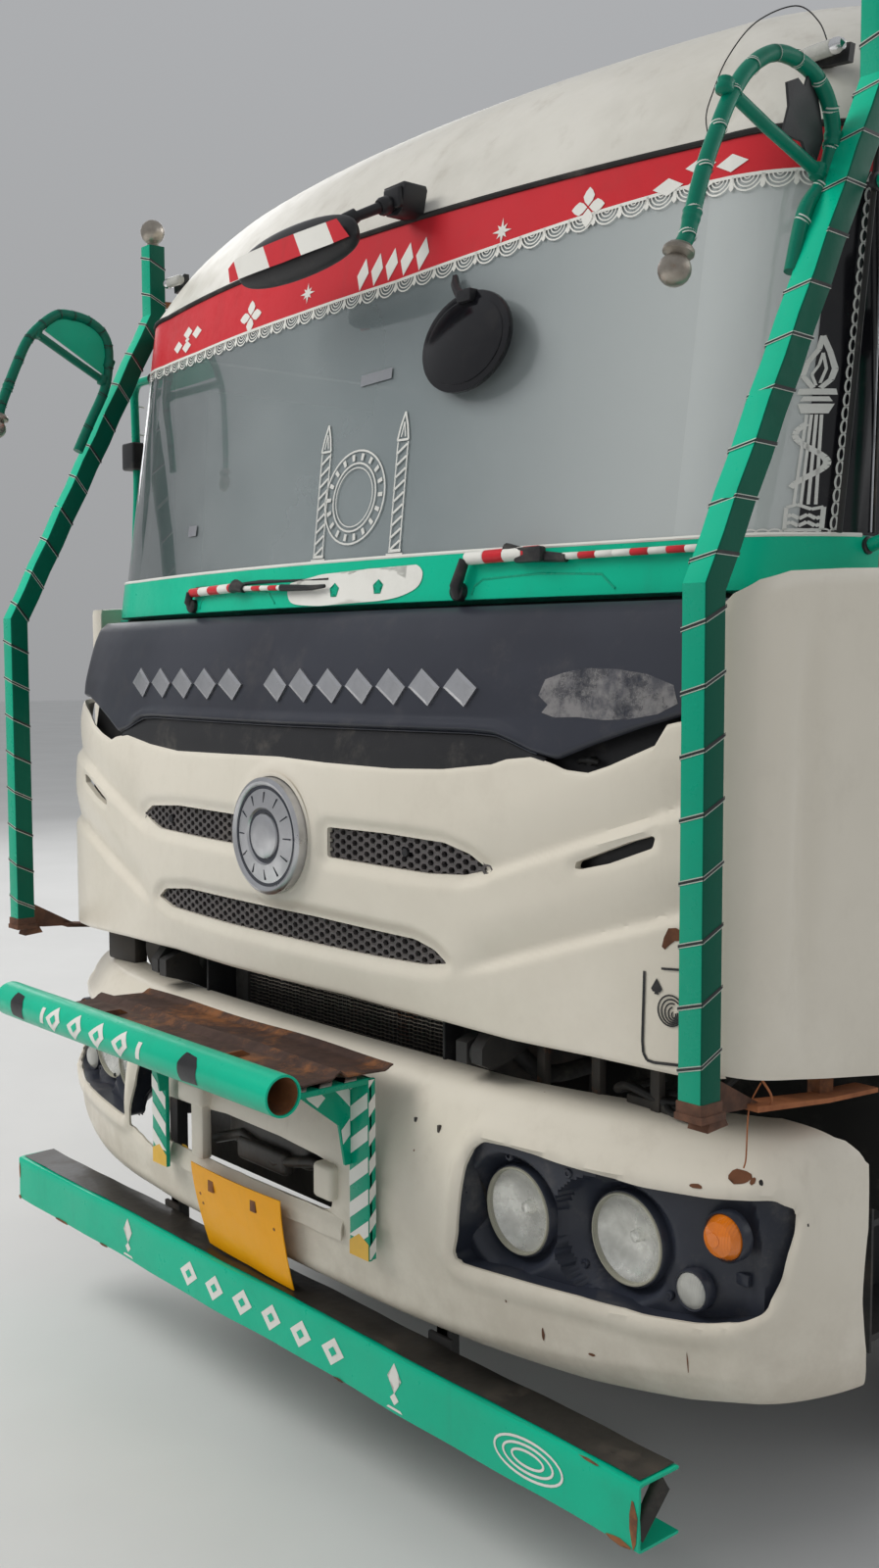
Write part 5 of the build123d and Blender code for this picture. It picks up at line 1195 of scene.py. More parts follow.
for s, side in ((1, "left"), (-1, "right")):
    cx = s * 1154.0
    pb = Bld()
    fine_path = []
    q = 0.0
    # slight hammered waviness on the raked run
    pts = [(23, 970), (23, 1300), (23, 1769)]
    for i in range(1, 12):
        t = i / 12
        pts.append((23 + 430 * t + (1.4 if i % 2 else -1.4), 1769 + 833 * t))
    pts += [(453, 2602), (453, 2700), (453, 2794)]
    square_tube(pb, pts, None, cx, PW, 5)
    o = pb.make("guard_post_" + side, TEAL, "cab", "teal_paint", "guard_posts" if s > 0 else (), angle=30)
    o.data.materials.append(TEAL_BRIGHT_AND_HIGHLIGHT)
    o.data.materials.append(TEAL_PAINTED_SHADE)
    # faces to the sides and back take the teal's painted shade, faces turned upwards the bright teal as a painted
    # highlight
    for f in o.data.polygons:
        if abs(f.normal.x) > 0.6 or f.normal.y > 0.4:
            f.material_index = 2
        elif f.normal.z > 0.3:
            f.material_index = 1
    # tape lines: white on the front, white and black on the sides
    wb, kb = Bld(), Bld()
    total, step = 0.0, 96.0
    length = 799 + sqrt(430 ** 2 + 833 ** 2) + 192
    q = 60.0
    n = 0
    while q < length - 20:
        for dq, b in ((0.0, wb), (6.0, wb)):
            strips = []
            lean = 13.0
            for face in ("front", "in", "out"):
                quad = []
                if face == "front":
                    us = lin(-PW, PW, 5)
                    for u in us:
                        y, z, f, h = post_frame(max(0.0, min(length, q + dq + (u * s + PW) / (2 * PW) * lean)))
                        quad.append((cx + u, y + f[0] * (PW + 0.7), z + f[1] * (PW + 0.7), h))
                    bb = wb
                else:
                    side_s = s if face == "out" else -s
                    vs_ = lin(PW, -PW, 5)
                    for v in vs_:
                        t = (PW - v) / (2 * PW)
                        rise = (lean + 22 * t) if face == "out" else (-22 * t)
                        y, z, f, h = post_frame(max(0.0, min(length, q + dq + rise)))
                        quad.append((cx + side_s * (PW + 0.7), y + f[0] * v, z + f[1] * v, h))
                    bb = wb if (dq == 0 or n % 3 == 0) else kb
                vs, fs = [], []
                for (x, y, z, h) in quad:
                    vs += [(x, y, z), (x, y + h[0] * 1.5, z + h[1] * 1.5)]
                for i in range(len(quad) - 1):
                    fs.append((2 * i, 2 * i + 2, 2 * i + 3, 2 * i + 1))
                bb.add(vs, fs)
                if dq == 6.0:
                    # thin dark gap under the upper line
                    vs2 = []
                    for (x, y, z, h) in quad:
                        vs2 += [(x, y - h[0] * 4.0, z - h[1] * 4.0), (x, y - h[0] * 0.4, z - h[1] * 0.4)]
                    kb.add(vs2, fs)
        q += step
        n += 1
    wb.make("post_lines_white_" + side, LINE_WHITE, "cab")
    kb.make("post_lines_black_" + side, BLACK, "cab")
    # ball finial with its collar
    fb = Bld().ball((cx, 453, 2834), 33, 36, 20)
    fb.lathe([(2788, 0.1), (2788, 20), (2794, 24), (2797, 18), (2803, 15), (2808, 19)], (cx, 453, 0), (0, 0, 1), 32)
    fb.make("post_ball_" + side, STEEL, "cab")
    # rusty foot plate, plate under the corner panel, stay
    rb = Bld()
    rb.box(s * 1127, s * 1183, -5, 54, 958, 970, 2)
    rb.box(s * 1129, s * 1180, -3, 49, 966, 988, 2)
    rb.plate([(45, 1024), (45, 960), (80, 956), (172, 950), (166, 958)], lambda y, z, d: (s * (1148 + d), y, z), 7)
    rb.plate([(20, 940), (28, 962), (60, 962), (70, 944)], lambda y, z, d: (s * (1134 + d), y, z), 40)
    rb.make("post_foot_" + side, RUSTY_DARK, "cab", bevel=0)
    ob = Bld().plate([(140, 950), (140, 960), (330, 938), (470, 930), (470, 922), (330, 930)], lambda y, z, d: (s * (1130 + d), y, z), 46)
    ob.make("post_bracket_" + side, RUST_ORANGE if s > 0 else RUSTY_DARK, "cab")
    tw = Bld().tube(catmull([(s * 1150, 180, 985), (s * 1154, 150, 960), (s * 1150, 148, 930), (s * 1146, 150, 870), (s * 1140, 152, 850)], 6), 1.4, 6)
    tw.tube(catmull([(s * 1176, 150, 1000), (s * 1182, 165, 975), (s * 1172, 175, 955), (s * 1160, 160, 950)], 6), 2.0, 6)
    if s > 0:
        tw.make("post_tie_wire_" + side, RUST_ORANGE, "cab")
    Bld().rod((s * 1140, 470, 2640), (s * 1118, 560, 2640), 9).box(s * 1122, s * 1148, 342, 380, 930, 985, 1).make("post_stay_" + side, RUSTY, "cab")

# ------------------------------------------------------------------ canes
CANE_R = [(276, 2276), (308, 2376), (352, 2428), (380, 2500), (368, 2556), (330, 2592), (270, 2606), (215, 2598), (160, 2562), (118, 2510), (85, 2450), (54, 2384), (31, 2318), (20, 2287), (4, 2266)]
CANE_L = [(208, 2221), (247, 2302), (290, 2390), (304, 2460), (302, 2514), (280, 2548), (240, 2568), (195, 2574), (154, 2569), (105, 2532), (69, 2490), (40, 2430), (14, 2370), (-8, 2315), (-12, 2290)]
for s, path in ((1, CANE_R), (-1, CANE_L)):
    side = "left" if s > 0 else "right"
    x = s * 1124
    path = [(y - 0.00514 * (y + 1805), z - 0.00514 * (z - 1660)) for y, z in path]
    cp = catmull([(x, y, z) for y, z in path], 5)
    cb = Bld().tube(cp, 13, 18)
    st = ((96, 2520), (200, 2482), (330, 2440)) if s > 0 else ((87, 2509), (184, 2458), (275, 2411))
    cb.tube([(x, y, z) for y, z in st], 10.5, 14)
    cb.make("cane_" + side, TEAL_DEEP, "cab", "teal_paint", "canes" if s > 0 else (), angle=50)
    # welds
    wl = Bld()
    for y, z, r in ((path[3][0], path[3][1], 16), (st[0][0], st[0][1], 14), (st[2][0], st[2][1], 15), (path[12][0], path[12][1], 14.5)):
        random.seed(int(y + z))
        prof = [(-r * 1.0, 0.1)] + [(-r + r * 2 * k / 8, r * (0.8 + 0.25 * random.random())) for k in range(1, 8)] + [(r, 0.1)]
        wl.lathe(prof, (x, y, z), (0, 0.3, 1), 14)
    wl.make("cane_welds_" + side, TEAL_DEEP, "cab", angle=60)
    # lines round the tube
    ring = Bld()
    for i in range(4, len(cp) - 4, 5):
        p, d = Vector(cp[i]), (Vector(cp[i + 1]) - Vector(cp[i])).normalized()
        d = (d + Vector((0.35, 0.1, 0))).normalized()
        ring.lathe([(-1.3, 13.5), (1.3, 13.5)], p, d, 20)
        ring.lathe([(-1.3 + 6, 13.5), (1.3 + 6, 13.5)], p, d, 20)
    ring.make("cane_lines_" + side, LINE_WHITE if s > 0 else BLACK, "cab")
    e = cp[-1]
    dn = Vector((0, -0.3, -0.95)).normalized()
    bl = Bld().lathe([(-6, 0.1), (-6, 19), (0, 24), (6, 24), (10, 18), (14, 14)], (x, e[1], e[2]), dn, 28)
    c0 = Vector((x, e[1], e[2])) + dn * 32
    bl.lathe([(-25 * cos(pi * i / 16), max(0.1, 25 * sin(pi * i / 16))) for i in range(17)], c0, dn, 32)
    bl.make("cane_ball_" + side, STEEL, "cab")
    if s < 0:
        Bld().plate([(110, 2520), (288, 2420), (302, 2470), (296, 2520), (250, 2560), (180, 2568), (130, 2548)], lambda y, z, d: (x - 2 + d, y, z), 4).make("cane_leaf", TEAL_BRIGHT_AND_HIGHLIGHT, "cab")
    else:
        # torn dark cloth tied in the bend
        random.seed(11)
        rag = [(250, 2486), (262, 2530), (258, 2566), (276, 2574), (290, 2562), (300, 2584), (318, 2572), (334, 2580), (346, 2540), (352, 2498), (340, 2462), (322, 2470), (306, 2452), (286, 2478)]
        Bld().plate(rag, lambda y, z, d: (x - 8 + d + 6 * sin(y * 0.07), y, z), 5).make("tied_rag", BLACK, "cab")

# ------------------------------------------------------------------ lower strip under the windscreen (front of the cab)
PLAN = plan_pts(40, 16, 478)
ACC = [0.0]
for (ax, ay), (bx, by) in zip(PLAN[:-1], PLAN[1:]):
    ACC.append(ACC[-1] + sqrt((bx - ax) ** 2 + (by - ay) ** 2))
MID = ACC[-1] / 2


def plan_at(q):
    """point and outward normal at distance q along the plan from the middle"""
    q = max(0.0, min(ACC[-1] - 1e-6, q + MID))
    lo, hi = 0, len(ACC) - 1
    while hi - lo > 1:
        m_ = (lo + hi) // 2
        if ACC[m_] <= q:
            lo = m_
        else:
            hi = m_
    t = (q - ACC[lo]) / (ACC[hi] - ACC[lo] + 1e-9)
    (ax, ay), (bx, by) = PLAN[lo], PLAN[hi]
    d = sqrt((bx - ax) ** 2 + (by - ay) ** 2)
    return ax + (bx - ax) * t, ay + (by - ay) * t, (by - ay) / d, -(bx - ax) / d


def q_of(x):
    a = abs(x)
    for i in range(len(PLAN) // 2, len(PLAN) - 1):
        if PLAN[i][0] <= a <= PLAN[i + 1][0]:
            t = (a - PLAN[i][0]) / (PLAN[i + 1][0] - PLAN[i][0] + 1e-9)
            q = ACC[i] + (ACC[i + 1] - ACC[i]) * t - MID
            return q if x >= 0 else -q
    return MID if x >= 0 else -MID


def WS(q, z, off):
    """point on the upper cab's front, off outwards"""
    x, y, nx, ny = plan_at(q)
    return (x + nx * off, y + ny * off + RAKE * (z - 1865), z)


def WX(x, z, off=1.6):
    return WS(q_of(x), z, off)


# teal strip: sheet over the cowl, with the top edge of the glass seal
strip = Bld().grid(lambda q, z: WS(q, z, 3.0 - 2.0 * smooth((1792 - z) / 20.0)), lin(-MID, MID, 110), [1776, 1780, 1786, 1794, 1806, 1820, 1836, 1850, 1858, 1862, 1864])
strip.make("cowl_strip", TEAL_BRIGHT_AND_HIGHLIGHT, "cab", "teal_paint", solid=2.0)
seal = Bld().tube([WS(q, 1866.5, 3.0) for q in lin(-q_of(1149), q_of(1149), 120)], 4.0, 8)
seal.make("screen_seal_low", WHITE, "cab")
Bld().tube([WS(q, 2548.0, 1.0) for q in lin(-q_of(1149), q_of(1149), 120)], 6.5, 8).make("screen_seal_top", RUBBER, "cab")
for s in (1, -1):
    Bld().tube([(s * 1150.5, 366 + RAKE * (z - 1865) * 0.95, z) for z in lin(1868, 2545, 20)], 5, 8).make("screen_seal_side_" + ("left" if s > 0 else "right"), RUBBER, "cab")

# black corner of the cab beside the glass, with a moulding
for s, side in ((1, "left"), (-1, "right")):
    Bld().grid(lambda q, z: WS(s * q, z, 0.8), lin(q_of(1092), MID, 18), lin(1867, 2546, 12)).make("corner_black_" + side, BLACK_GLOSS, "cab")
    for y in (452, 462):
        Bld().tube([(s * 1152.5, y + RAKE * (z - 1865) * 0.2, z) for z in lin(1872, 2540, 12)], 2.2, 6).make("corner_moulding_%s_%d" % (side, y), SATIN if y == 452 else CHASSIS, "cab")

# red strip along the top of the glass
low_z = lambda x: interp(x, ((-1150, 2396), (-850, 2392), (-666, 2388), (-186, 2392), (157, 2400), (428, 2419), (656, 2438), (855, 2450), (1028, 2446), (1150, 2440)))
band = Bld()


def red_fn(q, t):
    x = plan_at(q)[0]
    z0 = low_z(x) + 26
    return WS(q, z0 + (2544.5 - z0) * t, 1.4)


band.grid(red_fn, lin(-q_of(1128), q_of(1128), 100), lin(0, 1, 5)).make("red_strip", RED, "cab")
motif = []


def cluster5(cx, cz, w, h):
    return [diamond(cx + dx * w, cz + dz * h, w * 0.96, h * 0.92) for dx, dz in ((-0.98, -0.25), (0, 0.5), (0, -0.5), (0.98, 0.25), (0.02, 0.0))][:4] + [diamond(cx, cz, w * 0.5, h * 0.4)]


def petals(cx, cz, rx, rz, w=0.34):
    out = []
    for dx, dz, r, ww in ((0, 1, rz, rx * w), (0, -1, rz, rx * w), (1, 0, rx, rz * w), (-1, 0, rx, rz * w)):
        px, pz = -dz, dx
        out.append([(cx + dx * r * t + px * ww * k, cz + dz * r * t + pz * ww * k) for t, k in ((0.06, 0), (0.3, 0.7), (0.55, 1), (0.8, 0.6), (1.0, 0), (0.8, -0.6), (0.55, -1), (0.3, -0.7))])
    return out


def burst(cx, cz, rx, rz):
    out = []
    for i in range(8):
        a = radians(90 + 45 * i)
        k = 1.0 if i % 2 == 0 else 0.72
        out.append([(cx + rx * k * cos(a), cz + rz * k * sin(a)), (cx + rx * 0.3 * cos(a + 0.5), cz + rz * 0.3 * sin(a + 0.5)), (cx, cz), (cx + rx * 0.3 * cos(a - 0.5), cz + rz * 0.3 * sin(a - 0.5))])
    return out


motif += cluster5(-737, 2461, 60, 34)
motif += petals(-384, 2453, 50, 37)
motif += burst(-142, 2460, 29, 23)
for i in range(5):
    cx = 56 + i * 46
    motif += [diamond(cx, 2463 + i * 2, 38, 66, 6)]
motif += burst(453, 2474, 24, 26)
motif += petals(653, 2480, 36, 37)
motif += cluster5(878, 2492, 62, 34)
decal("strip_motifs", motif, lambda x, z: WX(x, z, 2.6), WHITE, "cab", 14)
decal("strip_motif_hearts", [diamond(56 + i * 46, 2463 + i * 2, 16, 28, 3) for i in range(5)], lambda x, z: WX(x, z, 2.5), RED, "cab", 14)
lace = []
n = 42
q0, q1 = -q_of(1122), q_of(1122)
w = (q1 - q0) / n
for i in range(n):
    cq = q0 + w * (i + 0.5)
    zc = low_z(plan_at(cq)[0]) + 27
    for r, t in ((1.0, 3.0), (0.74, 2.4), (0.48, 2.2), (0.24, 2.0)):
        lace += ring_polys(cq, zc, w * 0.5 * r, 27 * r, t, 180, 360, 10)
    lace += [[(cq - w / 2 - 2.5, zc + 1), (cq - w / 2 + 2.5, zc + 1), (cq - w / 2 + 4.5, zc - 19), (cq - w / 2, zc - 24), (cq - w / 2 - 4.5, zc - 19)]]
lace += [[(q0 + w * i, low_z(plan_at(q0 + w * i)[0]) + 31), (q0 + w * (i + 1), low_z(plan_at(q0 + w * (i + 1))[0]) + 31), (q0 + w * (i + 1), low_z(plan_at(q0 + w * (i + 1))[0]) + 25), (q0 + w * i, low_z(plan_at(q0 + w * i)[0]) + 25)] for i in range(n)]
decal("strip_lace", lace, lambda q, z: WS(q, z, 1.9), WHITE, "cab", 20)

# stickers on the glass: ring between two spear-like columns
stk = []
cx, cz = 108, 1996
stk += ring_polys(cx, cz, 98, 98, 4, n=40) + ring_polys(cx, cz, 70, 72, 4, n=40) + ring_polys(cx, cz, 60, 62, 2.5, n=36)
for i in range(18):
    a = 2 * pi * i / 18
    stk.append([(cx + r * cos(a + da), cz + r * sin(a + da)) for r, da in ((76, -0.05), (90, -0.05), (90, 0.05), (76, 0.05))])
for bx, tx in ((8, -6), (253, 240)):
    for k in range(9):
        z = 1882 + k * 24
        x = bx + (tx - bx) * (z - 1866) / 290.0
        stk += line_polys([(x - 13, z), (x + 13, z + 17)], 5)
        stk += line_polys([(x - 15, z - 4), (x - 15, z + 22)], 3) + line_polys([(x + 15, z - 4), (x + 15, z + 22)], 3)
    stk += [[(bx - 24, 1866), (bx + 24, 1866), (bx + 24, 1874), (bx - 24, 1874)], [(bx - 18, 1876), (bx + 18, 1876), (bx + 18, 1882), (bx - 18, 1882)]]
    x = tx + 2
    stk += line_polys([(x - 16, 2100), (x - 10, 2128), (x, 2156), (x + 10, 2128), (x + 16, 2100), (x - 16, 2100)], 4.5)
    stk += line_polys([(x - 6, 2106), (x, 2136), (x + 6, 2106)], 3)
STICKER = plastic("sticker_white", (0.70, 0.70, 0.66), (0.62, 0.62, 0.59), rough=0.5, dust=0.2)
decal("glass_emblem", stk, lambda x, z: WX(x, z, 1.6), STICKER, "cab", 30)
# column with a leaf-shaped flame at the end of the glass, chain line beside it
col = []
cx = 1096
col += line_polys([(cx - 20, 1874), (cx + 20, 1874), (cx + 20, 1912), (cx + 8, 1908), (cx - 8, 1916), (cx - 20, 1911), (cx - 20, 1874)], 5)
for zz in (1884, 1896):
    col += line_polys([(cx - 18 + 4.5 * k, zz + 3.4 * sin(k * 1.55)) for k in range(9)], 5.5)
for k in (-9.5, -3.2, 3.2, 9.5):
    col += line_polys([(cx + k * 1.25, 1916), (cx + k * 0.85, 2064)], 3.6)
col += line_polys([(cx + 19 * sin(k * 0.42 - 1.2), 1944 + k * 6.2) for k in range(18)], 8)
col += [[(cx - 15, 2066), (cx + 15, 2066), (cx + 20, 2082), (cx - 20, 2082)], [(cx - 18, 2086), (cx + 18, 2086), (cx + 14, 2094), (cx - 14, 2094)], [(cx - 22, 2097), (cx + 22, 2097), (cx + 20, 2107), (cx - 20, 2107)]]
col += line_polys([(cx - 4, 2108), (cx - 17, 2128), (cx - 13, 2150), (cx - 2, 2172), (cx + 1, 2194), (cx + 10, 2168), (cx + 17, 2140), (cx + 14, 2122), (cx + 4, 2108)], 6.5)
col += line_polys([(cx - 1, 2112), (cx - 7, 2130), (cx, 2146), (cx + 3, 2166), (cx + 8, 2140), (cx + 3, 2116)], 3.4)
decal("glass_column", col, lambda x, z: WX(x, z, 1.9), STICKER, "cab", 12)
chain = []
qc = q_of(1127)
for k in range(25):
    z = 1886 + k * 22.6
    chain += ring_polys(qc, z, 7.4, 13.0, 3.9, n=14)
chain.append([(qc - 7, 2450), (qc, 2468), (qc + 7, 2450)])
for k in range(9):
    chain += ring_polys(q_of(1000) + 16 + k * 20, 1872, 11, 5.0, 2.8, n=12)
decal("glass_chain", chain, lambda q, z: WS(q, z, 1.9), STICKER, "cab", 8)
decal("glass_label", [[(89, 2248), (186, 2252), (186, 2230), (89, 2225)], [(-590, 1960), (-545, 1960), (-545, 1985), (-590, 1985)]], lambda x, z: WX(x, z, 1.6), plastic("paper_label", (0.25, 0.26, 0.28), (0.2, 0.2, 0.22), dust=0.3), "cab", 30)

# painted moustache and stars on the strip
mst = catmull([(128, 1836), (60, 1842), (0, 1836), (-40, 1818), (-72, 1828), (-84, 1812), (-66, 1786), (-10, 1778), (60, 1776), (120, 1784), (128, 1788), (190, 1780), (250, 1782), (300, 1790), (338, 1806), (346, 1832), (326, 1848), (312, 1838), (322, 1824), (300, 1822), (262, 1836), (200, 1846), (150, 1842)], 5)[:-1]
decal("strip_moustache", [mst], lambda x, z: WX(x, z, 6.4), WHITE, "cab", 25)
decal("strip_stars", [star(84, 1806, 5, 16, 6.5, 90), star(222, 1808, 5, 16, 6.5, 90)], lambda x, z: WX(x, z, 7.0), TEAL, "cab", 12)

# ------------------------------------------------------------------ wipers wrapped in red and white
def wrapped(name, pts, r, colours, seglen, skew=0.0):
    """rod made of coloured sleeves end to end"""
    p0, p1 = Vector(pts[0]), Vector(pts[-1])
    L = (p1 - p0).length
    d = (p1 - p0) / L
    bs = {}
    q, i = 0.0, 0
    while q < L - 1:
        e = min(L, q + seglen)
        m_ = colours[i % len(colours)]
        bs.setdefault(m_.name, (m_, Bld()))[1].tube([p0 + d * q, p0 + d * (q + 1), p0 + d * (e - 1), p0 + d * e], [r * 0.9, r, r, r * 0.9], 12)
        q, i = e, i + 1
    for k, (m_, b) in bs.items():
        b.make("%s_%s" % (name, k), m_, "cab")


def wy(x, z, off):
    return Vector(WX(x, z, off))


wrapped("wiper_right_sleeve", [wy(-500, 1822, 16), wy(-290, 1826, 16)], 10.5, [RED, WHITE, RED, WHITE, RED], 48)
wrapped("wiper_right_tip", [wy(-240, 1822, 18), wy(-90, 1818, 18)], 6.0, [WHITE, RED], 34)
wb = Bld()
wb.tube([wy(-90, 1818, 18), wy(20, 1814, 18), wy(62, 1816, 16)], [8, 6, 4], 12)
wb.tube([wy(-295, 1824, 17), wy(-270, 1830, 24), wy(-240, 1822, 20)], [11, 14, 10], 12)
wb.tube([wy(-500, 1786, 10), wy(-502, 1800, 22), wy(-500, 1822, 20)], [9, 9, 9], 12)
wb.lathe([(0, 16), (16, 16), (20, 12), (21, 0.1)], wy(-500, 1790, 0), (0, -1, 0.1), 24)
wb.tube([wy(-500, 1833, 5), wy(-200, 1836, 5), wy(60, 1832, 5)], [5, 6, 4], 10, flat=0.5)
wb.tube([wy(560, 1866, 14), wy(620, 1850, 16), wy(700, 1843, 16)], [11, 12, 8], 12)
wb.tube([wy(452, 1782, 12), wy(455, 1800, 24), wy(468, 1850, 22)], [12, 12, 10], 12)
wb.lathe([(0, 18), (16, 18), (22, 13), (23, 0.1)], wy(452, 1790, 0), (0, -1, 0.1), 24)
wb.box(590, 660, wy(620, 1850, 30).y, wy(620, 1850, 12).y, 1838, 1866, 5)
wb.make("wiper_arms", BLACK, "cab", "black_plastic", "wipers")
wrapped("wiper_left_sleeve", [wy(470, 1852, 18), wy(640, 1856, 18)], 12.5, [WHITE, RED, WHITE, RED], 46)
wrapped("wiper_left_blade", [wy(690, 1846, 16), wy(960, 1848, 16)], 6.5, [WHITE, RED, WHITE, WHITE, RED], 36)
# creases of the strip's pressed recesses, drawn in the darker teal: painted shade along the creases
rec = Bld()
for x0, x1 in ((-470, -130), (480, 800)):
    rec.tube([wy(x0, 1784, 3.6), wy(x0 + 6, 1800, 3.6), wy(x0 + 24, 1812, 3.6), wy((x0 + x1) / 2, 1818, 3.6), wy(x1 - 30, 1812, 3.6), wy(x1, 1786, 3.6)], 3, 8)
rec.make("strip_recess_shade_lines", TEAL, "cab")

# ------------------------------------------------------------------ kerb mirror over the windscreen
km = Bld()


def mirror_back(u, v):
    a, b_ = pi * (u - 0.5), 2 * pi * v
    x = 22 + 200 * sin(a)
    r = max(cos(a), 0.0) ** 0.6
    k = r * (0.55 + 0.45 * r)
    return (x, 94 + 30 * r * cos(b_), 2482 + 4 * sin(a) + ((64 if sin(b_) > 0 else 24) * r + (0 if sin(b_) > 0 else 22 * k)) * sin(b_))


km.grid(mirror_back, lin(0.001, 0.999, 26), lin(0, 1, 29))
km.tube([(168, 92, 2516), (184, 120, 2532), (196, 170, 2556), (204, 222, 2580)], [10, 10, 11, 12], 14)
km.tube([(160, 88, 2506), (176, 104, 2522), (186, 122, 2536)], [13, 17, 14], 14)
km.lathe([(-14, 0.1), (-14, 15), (-8, 18), (8, 18), (14, 15), (14, 0.1)], (198, 184, 2562), (0.2, 0.9, 0.4), 20)
km.make("kerb_mirror_back", BLACK, "cab", "black_plastic", "front_mirror", weld=0.0002)
mb = Bld().plate([(172, 2604), (236, 2606), (240, 2596), (228, 2552), (214, 2544), (178, 2548)], lambda x, z, d: (x, 202 + d, z), 58)
mb.box(180, 232, 192, 206, 2556, 2598, 5)
mb.make("kerb_mirror_box", BLACK, "cab", bevel=2)
face = [(-183, 2492), (-152, 2507), (201, 2515), (242, 2473), (189, 2468), (34, 2461), (-171, 2460)]


def km_face(x, z):
    t = (x + 183) / 425.0
    return (x, 52 + 10 * (2 * t - 1) ** 2 + (z - 2490) * 0.1, z)


stripes_w, stripes_r = [], []
for i, (xa, xb) in enumerate(((-230, -150), (-150, -28), (-28, 82), (82, 186), (186, 280))):
    # slanted bands: red, white, red, white, red
    cl = [(xa + 24, 2450), (xb + 24, 2450), (xb - 24, 2525), (xa - 24, 2525)]
    for k in range(len(face)):
        (ax, az), (bx, bz) = face[k], face[(k + 1) % len(face)]
        out = []
        for j in range(len(cl)):
            p, q = cl[j - 1], cl[j]
            sp = (bx - ax) * (p[1] - az) - (bz - az) * (p[0] - ax)
            sq = (bx - ax) * (q[1] - az) - (bz - az) * (q[0] - ax)
            if (sp <= 0) != (sq <= 0):
                t = sp / (sp - sq)
                out.append((p[0] + (q[0] - p[0]) * t, p[1] + (q[1] - p[1]) * t))
            if sq <= 0:
                out.append(q)
        cl = out
        if not cl:
            break
    if len(cl) > 2:
        (stripes_w if i % 2 else stripes_r).append(cl)
decal("kerb_mirror_white", stripes_w, lambda x, z: km_face(x, z), WHITE, "cab", 20)
decal("kerb_mirror_red", stripes_r, lambda x, z: km_face(x, z), RED, "cab", 20)

# ------------------------------------------------------------------ black disc behind the glass
oval = [(417 + 124 * cos(2 * pi * i / 48), 2266 + 97 * sin(2 * pi * i / 48)) for i in range(48)]
dd = Bld().plate(oval, lambda x, z, d: (x, 198 + 0.15 * (z - 2262) + d, z), 12)
small = [(417 + 108 * cos(2 * pi * i / 48), 2266 + 82 * sin(2 * pi * i / 48)) for i in range(48)]
dd.plate(small, lambda x, z, d: (x, 195.5 + 0.15 * (z - 2262) + d, z), 8)
dd.make("visor_disc_round", BLACK_GLOSS, "cab", "black_plastic", "visor_disc", bevel=3)
vd = Bld()
vd.tube([(350, 236, 2404), (360, 227, 2386), (380, 215, 2368), (404, 209, 2350)], [6, 9, 9, 13], 12)
vd.box(396, 436, 196, 222, 2340, 2364, 4)
vd.make("visor_disc_clamp", BLACK, "cab")

# ------------------------------------------------------------------ bull tube, brackets, rusty plate
TY, TZ = -310.0, 921.0
Bld().lathe([(-522, 33), (-522, 37.2), (-519, 37.5), (519, 37.5), (522, 37.2), (522, 33), (-522, 33)], (0, TY, TZ), (1, 0, 0), 56).make("tube_barrel", TEAL_BRIGHT_AND_HIGHLIGHT, "chassis", "teal_paint", "bumper_tube", angle=50)
Bld().lathe([(-518, 32.8), (518, 32.8)], (0, TY, TZ), (1, 0, 0), 40).make("tube_inside", RUSTY, "chassis")


def on_tube(u, v, off=0.9):
    """u along the tube, v round it in mm of arc from the front"""
    a = v / 37.5
    return (u, TY - (37.5 + off) * cos(a), TZ + (37.5 + off) * sin(a))


tape = [blob(-418, 4, 26, 25, 21, 14), blob(268, 4, 30, 26, 22, 14)]
decal("tube_tape", [[(-444, -20), (-396, -24), (-390, 8), (-400, 30), (-420, 26), (-436, 34), (-447, 12)], [(240, -26), (300, -22), (303, 14), (290, 30), (270, 26), (252, 34), (238, 10)]], on_tube, BLACK, "chassis", 8, both=True)
orn_t = []
for i in range(4):
    cx = -250 + i * 92
    orn_t += [diamond(cx, 4, 62, 58, 8)]
orn_t += [[(-310, -12), (-296, -12), (-290, 22), (-304, 22)], [(86, -12), (100, -12), (106, 22), (92, 22)]]
decal("tube_ornaments", orn_t, on_tube, WHITE, "chassis", 8, both=True)
decal("tube_ornament_cores", [diamond(-250 + i * 92, 4, 24, 22, 3) for i in range(4)], lambda u, v: on_tube(u, v, 1.6), TEAL_BRIGHT_AND_HIGHLIGHT, "chassis", 8, both=True)
